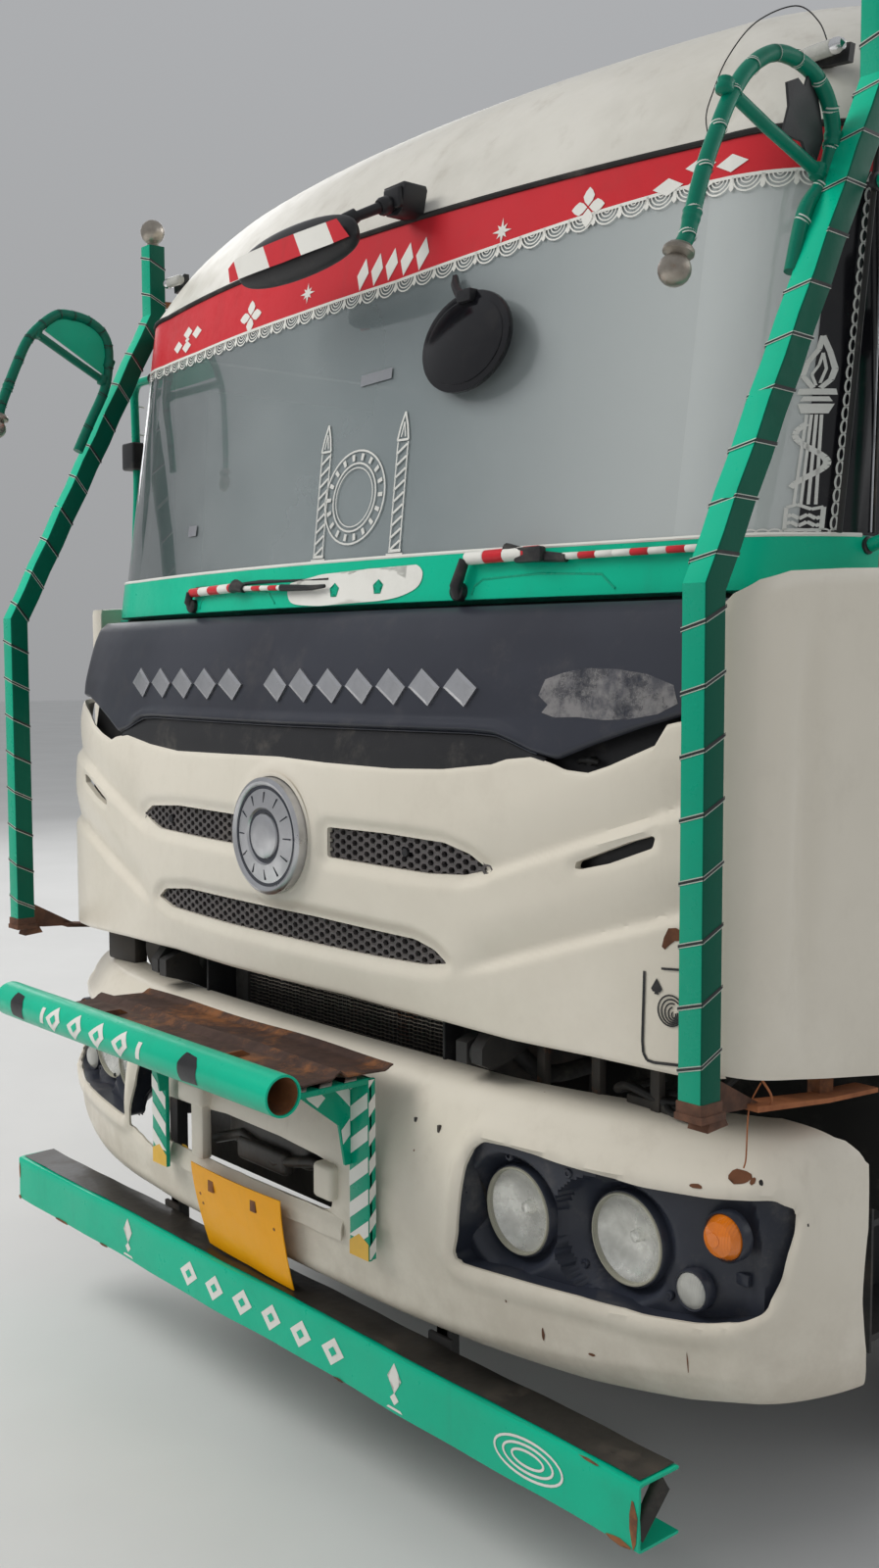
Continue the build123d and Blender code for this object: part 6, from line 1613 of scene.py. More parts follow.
for s, side in ((1, "left"), (-1, "right")):
    bb = Bld()
    bb.box(s * 340, s * 400, -32, -22, 522, 878, 2)
    bb.box(s * 340, s * 400, -262, -24, 866, 878, 2)
    bb.box(s * 392, s * 400, -30, -14, 524, 876, 1.5)
    # web plate under the arm
    x0 = 340 if s > 0 else -346
    bb.plate([(-250, 866), (-30, 866), (-30, 700), (-46, 700), (-60, 780), (-150, 850)], lambda y, z, d: (x0 + d, y, z), 6)
    bb.box(s * 366, s * 400, -274, -262, 862, 905, 2)
    bb.make("tube_bracket_" + side, TEAL, "chassis", "teal_paint")
    wst, yst = [], []
    for k in range(-1, 8):
        z = 530 + k * 62
        p = clip([(339, z), (401, z + 44), (401, z + 74), (339, z + 30)], 340.5, 399.5, 560, 876)
        if p:
            wst.append([(s * a, b_) for a, b_ in p])
    decal("bracket_stripes_" + side, wst, lambda x, z: (x, -32.8, z), WHITE, "chassis", 40)
    decal("bracket_foot_" + side, [[(s * 340, 523), (s * 399.5, 523), (s * 399.5, 556), (s * 370, 570), (s * 340, 550)]], lambda x, z: (x, -32.9, z), YELLOW_PAINT, "chassis", 40)
    tops = []
    for k in range(-1, 6):
        y = -262 + k * 58
        p = clip([(339, y), (370, y + 26), (401, y), (401, y + 28), (370, y + 54), (339, y + 28)], 340.5, 399.5, -261, -34)
        if len(p) > 2:
            tops.append([(s * a, b_) for a, b_ in p])
    decal("bracket_top_stripes_" + side, tops, lambda x, y: (x, y, 878.8), WHITE, "chassis", 40)
    sd = []
    for k in range(-1, 9):
        z = 520 + k * 56
        sd.append(clip([(-33, z), (-13, z + 22), (-13, z + 50), (-33, z + 28)], -31, -15, 526, 874))
    sd = [p for p in sd if len(p) > 2]
    decal("bracket_side_stripes_" + side, sd, lambda y, z: (s * 400.8, y, z), WHITE, "chassis", 40)
for s, side in ((1, "left"), (-1, "right")):
    web = [[(-214, 864), (-186, 864), (-160, 850), (-176, 845)], [(-150, 864), (-118, 864), (-92, 840), (-110, 824), (-132, 842)],
           [(-84, 864), (-50, 864), (-34, 844), (-34, 812), (-58, 838)], [(-34, 790), (-34, 758), (-51, 742), (-55, 770)]]
    decal("bracket_web_stripes_" + side, web, lambda y, z: (s * 346.6 if s > 0 else -339.4, y, z), WHITE, "chassis", 60)
# yellow smear on the bumper beside the foot
decal("yellow_smear", [blob(412, 540, 24, 34, 31, 14), blob(-318, 540, 22, 36, 32, 14)], lambda x, z: (x, bump_plan_y(x) + interp(z, SECT) - 1.4, z), YELLOW_PAINT, "chassis", 12, both=True)
# folded rusty plate: shallow sheet with two ribs
plate = Bld()


def plate_pt(x, t):
    y = -268 + t * 300
    z = 884 + 6 * sin(pi * t) + 2.0 * sin(x * 0.012)
    for cy in (-200, -96):
        z += 13 * max(0.0, 1 - abs(y - cy) / 16.0)
    z += 10 * smooth((t - 0.93) / 0.07)
    return (x, y, z)


plate.grid(plate_pt, lin(-512, 398, 60), lin(0, 1, 46))
RUSTY_SHEET = metal("rusty_sheet", (0.095, 0.055, 0.042), (0.065, 0.042, 0.036), rough=0.6, metallic=0.2, rusty=0.45)
plate.make("rusty_plate", RUSTY_SHEET, "chassis", solid=3, angle=25)
for x in (-330, 150):
    Bld().plate([(-262, 905), (-150, 905), (-120, 888), (-262, 888)], lambda y, z, d: (x + d, y, z), 5).make("plate_gusset_%d" % (x + 500), RUSTY, "chassis")

# ------------------------------------------------------------------ number plate: curved sheet, thin border, blank
def plate_y(x, z):
    t = (z - 388) / 179.0
    u = (x + 54) / 170.0
    return -44.5 + 40 * (1 - t) ** 1.4 + 7 * u * u - 10 * (1 - t) * max(0, u) * 1.2


def np_pt(u, v):
    x, z = -224 + 340 * u, 372 + 195 * v
    return (x, plate_y(x, z), z)


np_ = Bld().grid(np_pt, lin(0, 1, 30), lin(0, 1, 20)).make("plate_blank", YELLOW, "chassis", "plate_yellow", "number_plate", solid=2.2)
bord = []
for pts in ([(-216, 379), (108, 379)], [(108, 379), (108, 560)], [(108, 560), (-216, 560)], [(-216, 560), (-216, 379)]):
    bord += line_polys(pts, 3.2)
decal("plate_border", bord, lambda x, z: (x, plate_y(x, z) - 0.8, z), BLACK, "chassis", 20, both=True)
pb = Bld()
for x, z in ((-200, 500), (-196, 478), (88, 500)):
    pb.lathe([(2, 5), (-1, 5), (-3, 3), (-3, 0.1)], (x, plate_y(x, z), z), (0, 1, 0), 12)
pb.box(-150, -130, -44, -30, 520, 545, 1)
pb.box(12, 32, -44, -30, 520, 545, 1)
pb.make("plate_bolts", RUSTY, "chassis")
# white sill and small parts in the mouth
sill = Bld()
sill.grid(lambda x, z: (x, bump_plan_y(x) - 6 + 8 * smooth((z - 540) / 30.0) + 1.5 * sin(x * 0.05), z), lin(-372, 276, 50), lin(522, 566, 8))
sill.make("bumper_sill", CREAM_BUMPER, "chassis", solid=4)
blk = Bld().box(-304, -206, -26, 30, 684, 738, 12, 3)
blk.box(200, 262, -20, 30, 596, 668, 10, 3)
blk.box(-262, -214, -16, 10, 566, 690, 6, 2)
blk.make("mouth_blocks", CREAM_BUMPER, "chassis")
mo = Bld().box(-180, 120, 30, 90, 610, 700, 14, 3).box(-120, 60, 10, 40, 590, 640, 10, 3)
mo.tube([(-240, 40, 600), (-120, 30, 640), (20, 20, 612), (140, 30, 640), (220, 60, 610)], 12, 12)
# black sheet across the back of the mouth, sized to the opening: painted shade
mo.box(-390, 250, 96, 100, 520, 720, 1)
mo.make("mouth_crossmember_and_shade_sheet", GRIME, "chassis")

# ------------------------------------------------------------------ underrun bar: channel, greasy top, chipped ends
def bar_y(x, z):
    return -34 + 1.6 * sin(x * 0.006) + 1.2 * sin(x * 0.021 + 1)


def bar_fn(x, t):
    path = ((61, 366.0), (40, 366.0), (-20, 366.0), (-31, 364.5), (-34, 360), (-34, 340), (-34, 310), (-34, 280), (-34, 262), (-33, 255), (-28, 253), (0, 253), (61, 253))
    y, z = path[t]
    jag = 0.0
    if abs(x) > 1070:
        jag = 3 * sin(z * 0.3)
    return (x + jag * (1 if x > 0 else -1) * 0.4, y + (bar_y(x, z) + 34 if y < 0 else 0), z + 1.5 * sin(x * 0.009))


bar = Bld().grid(bar_fn, lin(-1088, 1088, 110), range(13)).make("underrun_channel", TEAL_BRIGHT_AND_HIGHLIGHT, "chassis", "teal_paint", "underrun_bar", solid=5, angle=40)
gt = Bld().grid(lambda x, y: (x, y, 368.3 + 1.0 * sin(x * 0.03 + y * 0.05) * sin(x * 0.011) + 1.5 * sin(x * 0.009)), lin(-1080, 1080, 160), lin(-24, 60, 9))
gt.make("bar_top_grime", GRIME, "chassis")
lg = Bld()
for s in (1, -1):
    lg.box(s * 470, s * 505, 75, 105, 300, 650, 3)
    lg.box(s * 470, s * 505, 105, 200, 590, 650, 3)
    lg.box(s * 470, s * 505, -26, 75, 300, 356, 3)
    lg.box(s * 455, s * 520, 66, 76, 300, 380, 3)
lg.make("underrun_legs", CHASSIS, "chassis")


def on_bar(x, z):
    return (x, bar_y(x, z) - 0.9, z + 1.5 * sin(x * 0.009))


bo = []
for k in range(6):
    cx = -248 + k * 106
    bo += [diamond(cx, 306, 72, 60, 6)]
for cx in (-520, 478):
    bo += [star(cx, 324, 4, 30, 8, 90, 0.7), diamond(cx, 284, 26, 24), [(cx - 24, 262), (cx + 24, 262), (cx + 18, 267), (cx - 18, 267)]]
for a in range(3):
    bo += ring_polys(838, 308, 84 - a * 22, 36 - a * 10, 5, n=30)
decal("bar_ornaments", bo, on_bar, WHITE, "chassis", 14)
decal("bar_cores", [diamond(-248 + k * 106, 306, 26, 22, 2) for k in range(6)], lambda x, z: (x, on_bar(x, z)[1] - 0.7, on_bar(x, z)[2]), TEAL_BRIGHT_AND_HIGHLIGHT, "chassis", 14)
chips = [blob(-1086, 258, 8, 6, 41), blob(-860, 256, 34, 4, 42), blob(-640, 255, 20, 3, 43), blob(1078, 300, 9, 40, 44), blob(1050, 258, 30, 6, 45), blob(300, 255, 16, 3, 46), blob(-1084, 330, 4, 22, 47), blob(980, 364, 24, 3, 48)]
decal("bar_chips", chips, on_bar, RUSTY, "chassis", 14)
# torn flap of metal at the left end
Bld().grid(lambda u, v: (1066 + 44 * u + 6 * v * u, -30 + 60 * v + 12 * u, 262 + 92 * (1 - u * 0.25) * (0.15 + 0.85 * v) + 6 * sin(9 * u)), lin(0, 0.5, 8), lin(0, 1, 10)).make("bar_torn_end", GRIME, "chassis", solid=3)

# ------------------------------------------------------------------ corner panels
CPL = catmull([(1092, 86), (1118, 86), (1150, 97), (1176, 126), (1188, 170), (1190.5, 240), (1190, 330), (1190, 468)], 9)


def corner_fn(s):
    def fn(i, t):
        x, y = CPL[i]
        if s < 0:
            y = 238 + (y - 86) * (468 - 238) / (468 - 86.0)
        zlow = interp(y, ((60, 1018), (120, 1007), (190, 997), (320, 977), (470, 956)))
        ztop = interp(y, ((86, 1735), (100, 1762), (130, 1782), (190, 1797), (330, 1806), (470, 1812)))
        z = zlow + (ztop - zlow) * t
        # soft dent down the panel and rolled edges
        x -= (15.0 if s > 0 else 5.0) * math.exp(-((y - 236 - 0.02 * (z - 1300)) / 30.0) ** 2) * smooth((z - 960) / 250.0) * smooth((1790 - z) / 200.0)
        x -= 5.0 * max(0.0, 1 - (ztop - z) / 14.0) ** 2 + 3.0 * max(0.0, 1 - (z - zlow) / 10.0) ** 2
        x += 1.2 * sin(z * 0.008 + y * 0.01)
        return (s * min(x, 1191.5), y, z)
    return fn


for s, side in ((1, "left"), (-1, "right")):
    Bld().grid(corner_fn(s), range(len(CPL)), lin(0, 1, 60)).make("corner_panel_" + side, CREAM, "cab", "cream_paint", "corner_panels" if s > 0 else (), solid=3.5, angle=50)
    pads = Bld()
    pads.box(s * 1150, s * 1185, 340, 460, 1120, 1200, 3)
    pads.box(s * 1150, s * 1185, 340, 460, 1560, 1640, 3)
    pads.make("corner_pads_" + side, CHASSIS, "cab")

# dark rubber sheets behind the corner panel and in front of the wheel: painted shade closing the gaps under the corner
# panels
for s, side in ((1, "left"), (-1, "right")):
    Bld().grid(lambda u, v: (s * (602 + 573 * u), 498 + 4 * sin(u * 9), 890 + (150 + 40 * u) * v), lin(0, 1, 14), lin(0, 1, 10)).make("corner_splash_guard_" + side, RUBBER, "cab", solid=3)
for s, side in ((1, "left"), (-1, "right")):
    Bld().grid(lambda u, v: (s * (500 + 680 * u), 508 + 3 * sin(u * 9), 700 + 205 * v), lin(0, 1, 14), lin(0, 1, 8)).make("wheel_splash_guard_" + side, RUBBER, "chassis", solid=3)
# line sticker on the panel beside the post: a plain card outline with a spade and a whorl
card = []
card += line_polys([(962, 1148), (959, 1030), (961, 1010), (968, 999), (982, 997), (1062, 1002), (1084, 1004)], 5) + line_polys([(1096, 1020), (1106, 1024), (1111, 1036), (1112, 1160)], 5)
card += line_polys([(994, 1156), (1062, 1160)], 4)
card += [[(981, 1130), (975, 1121), (978, 1116), (985, 1118), (992, 1116), (996, 1121), (990, 1131), (985.5, 1139)], [(983, 1118), (988, 1118), (990, 1112), (981, 1112)]]
for k in range(5):
    card += ring_polys(1012 + k * 1.5, 1088 - k * 1.5, 25 - k * 5, 27 - k * 5, 2.8, 20 + 25 * k, 330 + 15 * k, 20)
decal("card_sticker", card, lambda x, z: (x, panel_pt(x, z) - 1.6 if x < 1089 else 84.0, z), BLACK, "front_flap", 14, both=True)

# ------------------------------------------------------------------ what shows in the gap over the bumper
fins = Bld()
for i in range(30):
    z = 905 + i * 4.2
    fins.box(-430, 390, 236, 250, z, z + 1.4)
for i in range(60):
    x = -424 + i * 13.6
    fins.box(x, x + 2.2, 233, 240, 720, 1030)
fins.make("radiator_core", FINS, "chassis", angle=30)
rw = Bld()
for i in range(38):
    z = 716 + i * 8.2
    pts = [(-426 + k * 12, 232 + (1.8 if k % 2 else -1.8), z + 0.5 * sin(k * 1.7)) for k in range(68)]
    rw.tube(pts, 1.2, 4, cap=False)
rw.make("radiator_tubes", STEEL, "chassis")
hs = Bld()
hs.tube(catmull([(640, 320, 890), (600, 240, 880), (560, 200, 930), (540, 210, 990), (570, 300, 1040)], 8), 17, 14)
hs.tube(catmull([(-640, 320, 900), (-600, 220, 880), (-540, 190, 930), (-520, 220, 1000), (-560, 300, 1050)], 8), 20, 14)
hs.tube(catmull([(-900, 330, 920), (-840, 250, 900), (-780, 210, 940), (-760, 240, 1000)], 8), 12, 12)
hs.tube(catmull([(820, 330, 900), (790, 240, 890), (850, 200, 915), (940, 210, 900), (1010, 240, 930), (1040, 300, 980)], 8), 8, 10)
hs.tube(catmull([(880, 320, 880), (900, 240, 905), (960, 190, 890), (1020, 210, 905)], 8), 6, 10)
hs.tube(catmull([(430, 300, 900), (440, 230, 930), (436, 230, 1010)], 8), 10, 10)
hs.tube(catmull([(-1000, 330, 900), (-960, 230, 930), (-930, 220, 1000)], 8), 8, 10)
hs.make("front_hoses", RUBBER, "chassis")
gb = Bld()
for x in (470, 620, 760, 900):
    gb.box(x, x + 22, 196, 214, 840, 985, 3)
gb.lathe([(-14, 0.1), (-14, 34), (14, 34), (14, 0.1)], (500, 210, 930), (0, 1, 0), 28)
gb.lathe([(-16, 0.1), (-16, 56), (-10, 62), (10, 62), (16, 56), (16, 0.1)], (-760, 214, 935), (0, 1, 0), 32)
gb.box(-1000, -860, 190, 230, 880, 970, 8)
gb.box(840, 1010, 200, 240, 860, 900, 6)
gb.make("front_brackets", IRON, "chassis")
gc = Bld().lathe([(-5, 0.1), (-5, 20), (0, 24), (5, 20), (5, 0.1)], (508, 180, 968), (0, 1, 0), 24)
gc.make("front_cap", SATIN, "chassis")
# dark duct walls either side of the radiator
dw = Bld()
dw.box(404, 412, 150, 330, 600, 1040, 2)
dw.box(-452, -444, 150, 330, 600, 1040, 2)
dw.make("radiator_ducts", BLACK, "chassis")

# ------------------------------------------------------------------ side mirrors: painted arms, black head
for s, side in ((1, "left"), (-1, "right")):
    pth = round_path([(s * 1162, 448, 2440), (s * 1262, 448, 2440), (s * 1262, 455, 2150), (s * 1262, 440, 1880), (s * 1162, 440, 1850)], 46, 7)
    Bld().tube(pth, 12, 16).make("mirror_arm_" + side, TEAL, "cab", "teal_paint", "side_mirrors" if s > 0 else ())
    rg = Bld()
    for i in range(7):
        z = 1910 + i * 78
        rg.lathe([(-1.2, 12.5), (1.2, 12.5)], (s * 1262, 441 + (z - 1880) * 0.055, z), (0.25, 0, 1), 16)
    rg.make("mirror_lines_" + side, WHITE, "cab")
    cl = Bld().box(s * 1236, s * 1300, 426, 480, 2200, 2276, 7, 3)
    for z, y in ((2440, 446), (1850, 440)):
        cl.lathe([(0, 15), (8, 15), (10, 12), (10, 8)], (s * 1151, y, z), (s, 0, 0), 24)
    cl.make("mirror_clamp_" + side, BLACK, "cab")
    if s > 0:
        Bld().box(1237, 1299, 381, 423, 2021, 2389, 16, 4).make("mirror_head", BLACK, "cab")
        Bld().box(1243, 1293, 420, 425.5, 2032, 2378, 2, 2).make("mirror_pane", CHROME, "cab")

# ------------------------------------------------------------------ tyres with tread
def tyre(name, cx, cy, body, front=False, out=1):
    b = Bld()
    prof = [(-94, 256), (-99, 262), (-101, 275), (-112, 296), (-126, 320), (-134, 352), (-137, 385), (-136.6, 400), (-137.2, 404), (-136, 440), (-130, 470), (-122, 495), (-114, 508), (-108, 513), (-100, 516)]
    prof = prof + [(-66, 517), (-62, 512), (-58, 512), (-54, 517), (-20, 518), (-16, 513), (-12, 513), (-8, 518), (8, 518), (12, 513), (16, 513), (20, 518), (54, 517), (58, 512), (62, 512), (66, 517)] + [(-x, r) for x, r in prof[::-1]]
    b.lathe([(x * 0.985, r) for x, r in prof], (cx, cy, 527), (1, 0, 0), 96, ref=(0, 0, 1))
    n = 54
    for i in range(n):
        for j, (x0, x1) in enumerate(((-112, -68), (-52, -22), (-6, 6), (22, 52), (68, 112))):
            a0 = 2 * pi * (i + (0.25 if j % 2 else 0)) / n
            w = 2 * pi / n * 0.36
            vs = []
            for r in (512, 526.4):
                for x in (x0, x1):
                    rr = r - (8 if abs(x) > 100 else 0)
                    for a in (a0 - w, a0 + w):
                        aa = a + (0.02 if (x > 0) == (j % 2 == 0) else -0.0)
                        vs.append((cx + x * 0.98, cy + rr * sin(aa), 527 + rr * cos(aa)))
            b.add(vs, [(4, 6, 7, 5), (0, 1, 5, 4), (2, 6, 7, 3), (0, 4, 6, 2), (1, 3, 7, 5)])
    # raised rings on the sidewall, no lettering
    for sx in (-1, 1):
        for r in (300, 455):
            b.lathe([(sx * (137 if r > 400 else 118), r - 3), (sx * (138.4 if r > 400 else 121), r), (sx * (136 if r > 400 else 119), r + 4)], (cx, cy, 527), (1, 0, 0), 72, ref=(0, 0, 1))
    return b


for s, side in ((1, "left"), (-1, "right")):
    tyre("t", s * 985, 1420, None).make("front_tyre_looks_" + side, TYRE, "front_wheel_" + side, "tyre", "front_tyre_" + side, angle=30)
    for n_, y in ((1, 5720), (2, 7090)):
        join(tyre("t", s * 775, y, None), tyre("t", s * 1085, y, None)).make("rear_tyres_looks_%d_%s" % (n_, side), TYRE, "rear_wheels_%d_%s" % (n_, side), "tyre", "rear_tyres_%d_%s" % (n_, side), angle=30)
        hb = Bld()
        for i in range(10):
            a = 2 * pi * i / 10
            hb.lathe([(0, 14), (16, 14), (22, 9), (30, 8), (30, 0.1)], (s * (930 + 54), y + 126 * cos(a), 527 + 126 * sin(a)), (s, 0, 0), 12)
        hb.make("wheel_nuts_%d_%s" % (n_, side), RUSTY, "rear_wheels_%d_%s" % (n_, side))
    fb = Bld()
    for i in range(10):
        a = 2 * pi * i / 10
        fb.lathe([(0, 16), (14, 16), (18, 11), (26, 9), (26, 0.1)], (s * (985 + 68), 1420 + 142 * cos(a), 527 + 142 * sin(a)), (s, 0, 0), 12)
    fb.make("wheel_nuts_front_" + side, RUSTY, "front_wheel_" + side)

# ------------------------------------------------------------------ seats: cushions blown up by cloth, trimmed frames
def cushion(name, x0, x1, y0, y1, z0, z1, mat, lean=0.0, shrink_=7.0):
    b = bmesh.new()
    bmesh.ops.create_cube(b, size=1.0)
    bmesh.ops.subdivide_edges(b, edges=b.edges[:], cuts=7, use_grid_fill=True)
    for v in b.verts:
        x, y, z = v.co * 2
        # sides pulled in between the corners, crowned faces
        px = x * (1 - 0.05 * (1 - abs(y)) - 0.03 * (1 - abs(z)))
        py = y * (1 - 0.05 * (1 - abs(x)) - 0.03 * (1 - abs(z)))
        pz = z * (1 - 0.06 * (abs(x) ** 4 + abs(y) ** 4) * 0.5)
        yy = (y0 + y1) / 2 + py * ((y1 - y0) / 2 - shrink_)
        zz = (z0 + z1) / 2 + pz * ((z1 - z0) / 2 - shrink_)
        v.co = Vector(P(((x0 + x1) / 2 + px * ((x1 - x0) / 2 - shrink_), yy + lean * (zz - z0), zz)))
    me = bpy.data.meshes.new(name)
    b.to_mesh(me)
    b.free()
    me.materials.append(mat)
    o = bpy.data.objects.new(name, me)
    bpy.context.scene.collection.objects.link(o)
    md = o.modifiers.new("b", "BEVEL")
    md.width = 0.02
    md.segments = 2
    md.limit_method = "ANGLE"
    md.angle_limit = radians(50)
    apply_mods(o)
    md = o.modifiers.new("r", "REMESH")
    md.mode = "VOXEL"
    md.voxel_size = 0.013
    apply_mods(o)
    rest = [v.co.copy() for v in o.data.vertices]
    md = o.modifiers.new("c", "CLOTH")
    st = md.settings
    st.use_pressure = True
    st.uniform_pressure_force = 4.0
    st.effector_weights.gravity = 0.0
    st.quality = 4
    sc = bpy.context.scene
    for fr in range(1, 16):
        sc.frame_set(fr)
    apply_mods(o)
    sc.frame_set(1)
    for v, r in zip(o.data.vertices, rest):
        d = v.co - r
        if d.length > 0.010:
            v.co = r + d * (0.010 / d.length)
    md = o.modifiers.new("u", "SUBSURF")
    md.levels = md.render_levels = 1
    apply_mods(o)
    o.data.shade_smooth()
    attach(o, "cab")
    return o


first = True
for x0, x1, nm in ((-970, -520, "right"), (520, 970, "left")):
    o = cushion("seat_cushion_" + nm, x0, x1, 1080, 1560, 1400, 1510, SEAT)
    if first:
        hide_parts("seats")
        first = False
    cushion("seat_back_" + nm, x0, x1, 1508, 1600, 1512, 2078, SEAT, lean=0.2)
    cushion("seat_head_" + nm, x0 + 90, x1 - 90, 1650, 1732, 2084, 2250, SEAT_TRIM, shrink_=8)
    fr = Bld().box(x0 + 40, x1 - 40, 1150, 1490, 1116, 1150, 6)
    fr.box(x0 + 70, x1 - 70, 1180, 1460, 1150, 1396, 20, 3)
    fr.tube([((x0 + x1) / 2 - 50, 1640, 2040), ((x0 + x1) / 2 - 50, 1676, 2120)], 7, 10)
    fr.tube([((x0 + x1) / 2 + 50, 1640, 2040), ((x0 + x1) / 2 + 50, 1676, 2120)], 7, 10)
    fr.make("seat_frame_" + nm, BLACK, "cab")
cushion("bench_pad", -1000, 1000, 1765, 2005, 1462, 1580, SEAT)
cushion("bench_back", -1000, 1000, 1978, 2006, 1584, 1850, SEAT_TRIM, shrink_=3)
Bld().box(-1000, 1000, 1780, 2000, 1456, 1466, 3).make("bench_board", DASH, "cab")

# ------------------------------------------------------------------ cab shell: one node, zones of paint
cab = NT("cab_zones", rough=0.36, coat=0.15, coat_rough=0.2)
ox = cab.xyz()
zz, yy = ox[2], ox[1]
Y0 = lambda v: (v + SHIFT_Y) / 1000.0
big = cab.noise(1.4, 5, 0.55)
cr = cab.mix(cab.step(big, 0.35, 0.7), (0.74, 0.70, 0.61), (0.66, 0.62, 0.53))
grey = cab.mix(cab.step(cab.noise(3.0, 6, 0.65), 0.35, 0.75), (0.66, 0.64, 0.58), (0.56, 0.54, 0.48))
cr = cab.mix(cab.step(zz, 2.54, 2.552), cr, grey)
front = cab.math("LESS_THAN", yy, Y0(480))
strip_ = cab.math("MULTIPLY", cab.math("MULTIPLY", cab.step(zz, 1.770, 1.771), cab.step(zz, 1.866, 1.867, 1.0, 0.0)), front)
cr = cab.mix(strip_, cr, (0.0, 0.42, 0.30))
pillar = cab.math("MULTIPLY", cab.math("MULTIPLY", cab.step(zz, 1.866, 1.867), cab.step(zz, 2.545, 2.546, 1.0, 0.0)), front)
cr = cab.mix(pillar, cr, (0.012, 0.012, 0.014))
# painted shade: near-black on the cab's front below the cowl, where it lies behind the flap
low_ = cab.math("MULTIPLY", cab.step(zz, 1.77, 1.771, 1.0, 0.0), cab.math("LESS_THAN", yy, Y0(420)))
cr = cab.mix(low_, cr, (0.03, 0.03, 0.033))
dirt = cab.math("MULTIPLY", cab.step(cab.noise(1.0, 6, 0.65, vec=cab.co(scale=(14, 14, 1.2))), 0.52, 0.8), 0.4)
cr = cab.mix(dirt, cr, (0.30, 0.26, 0.20))
cab.col(cr)
cab.rough(cab.step(cab.noise(22.0, 5), 0.3, 0.8, 0.32, 0.5))
cab.bump(cab.noise(90.0, 3), 0.06, 0.001)
for sl in NODES["cab_shell"].material_slots:
    sl.material = cab.m
for nm in ("door_glass_left", "door_glass_right"):
    for sl in NODES[nm].material_slots:
        sl.material = SIDE_GLASS

# roof details: clearance lamp with its wire
rl = Bld()
for s in (1, -1):
    rl.plate([(1004, 2664), (1078, 2660), (1082, 2690), (1008, 2698)], lambda x, z, d: (s * x, 462 + d + (x - 1004) * 0.15, z), 14)
    rl.rod((s * 1030, 470, 2676), (s * 1030, 500, 2668), 8)
rl.make("roof_lamp_bases", BLACK, "cab")
for s in (1, -1):
    o = Bld().box(s * 1000, s * 1070, 437, 462, 2668, 2694, 11, 4).make("roof_lamp_" + ("left" if s > 0 else "right"), FROST, "cab", "lamp_glass", "roof_lamps" if s > 0 else ())
    Bld().lathe([(0, 12), (6, 14), (14, 13), (22, 9), (26, 0.1)], (s * 1062, 450, 2681), (s, 0, 0), 20).make("roof_lamp_cap_" + ("left" if s > 0 else "right"), CHROME, "cab")
wr = Bld().tube(catmull([(1042, 470, 2690), (1020, 470, 2740), (985, 452, 2772), (930, 415, 2752), (888, 392, 2700), (872, 372, 2640), (868, 360, 2600), (880, 352, 2560)], 8), 1.2, 8)
wr.make("roof_lamp_wire", BLACK, "cab")

# ------------------------------------------------------------------ doors: seal; decoration
for s, side in ((1, "left"), (-1, "right")):
    body = side + "_door"
    d = Bld()
    for pts in ([(566, 1838), (1324, 1838), (1324, 2412), (606, 2412), (566, 1838)],):
        p3 = round_path([(s * 1148, y, z) for y, z in pts], 30, 5)
        d.tube(p3, 6, 8)
    d.make("door_seal_" + side, RUBBER, body)
    orn_d = []
    for k in range(7):
        orn_d.append(diamond(620 + k * 105, 1560, 80, 46))
    decal("door_lozenges_" + side, orn_d, lambda y, z: (s * 1150.6, y, z), TEAL, body, 60)
    lines = line_polys([(500, 1515), (1380, 1515)], 6) + line_polys([(500, 1605), (1380, 1605)], 6)
    decal("door_lines_" + side, lines, lambda y, z: (s * 1150.7, y, z), RED, body, 120)

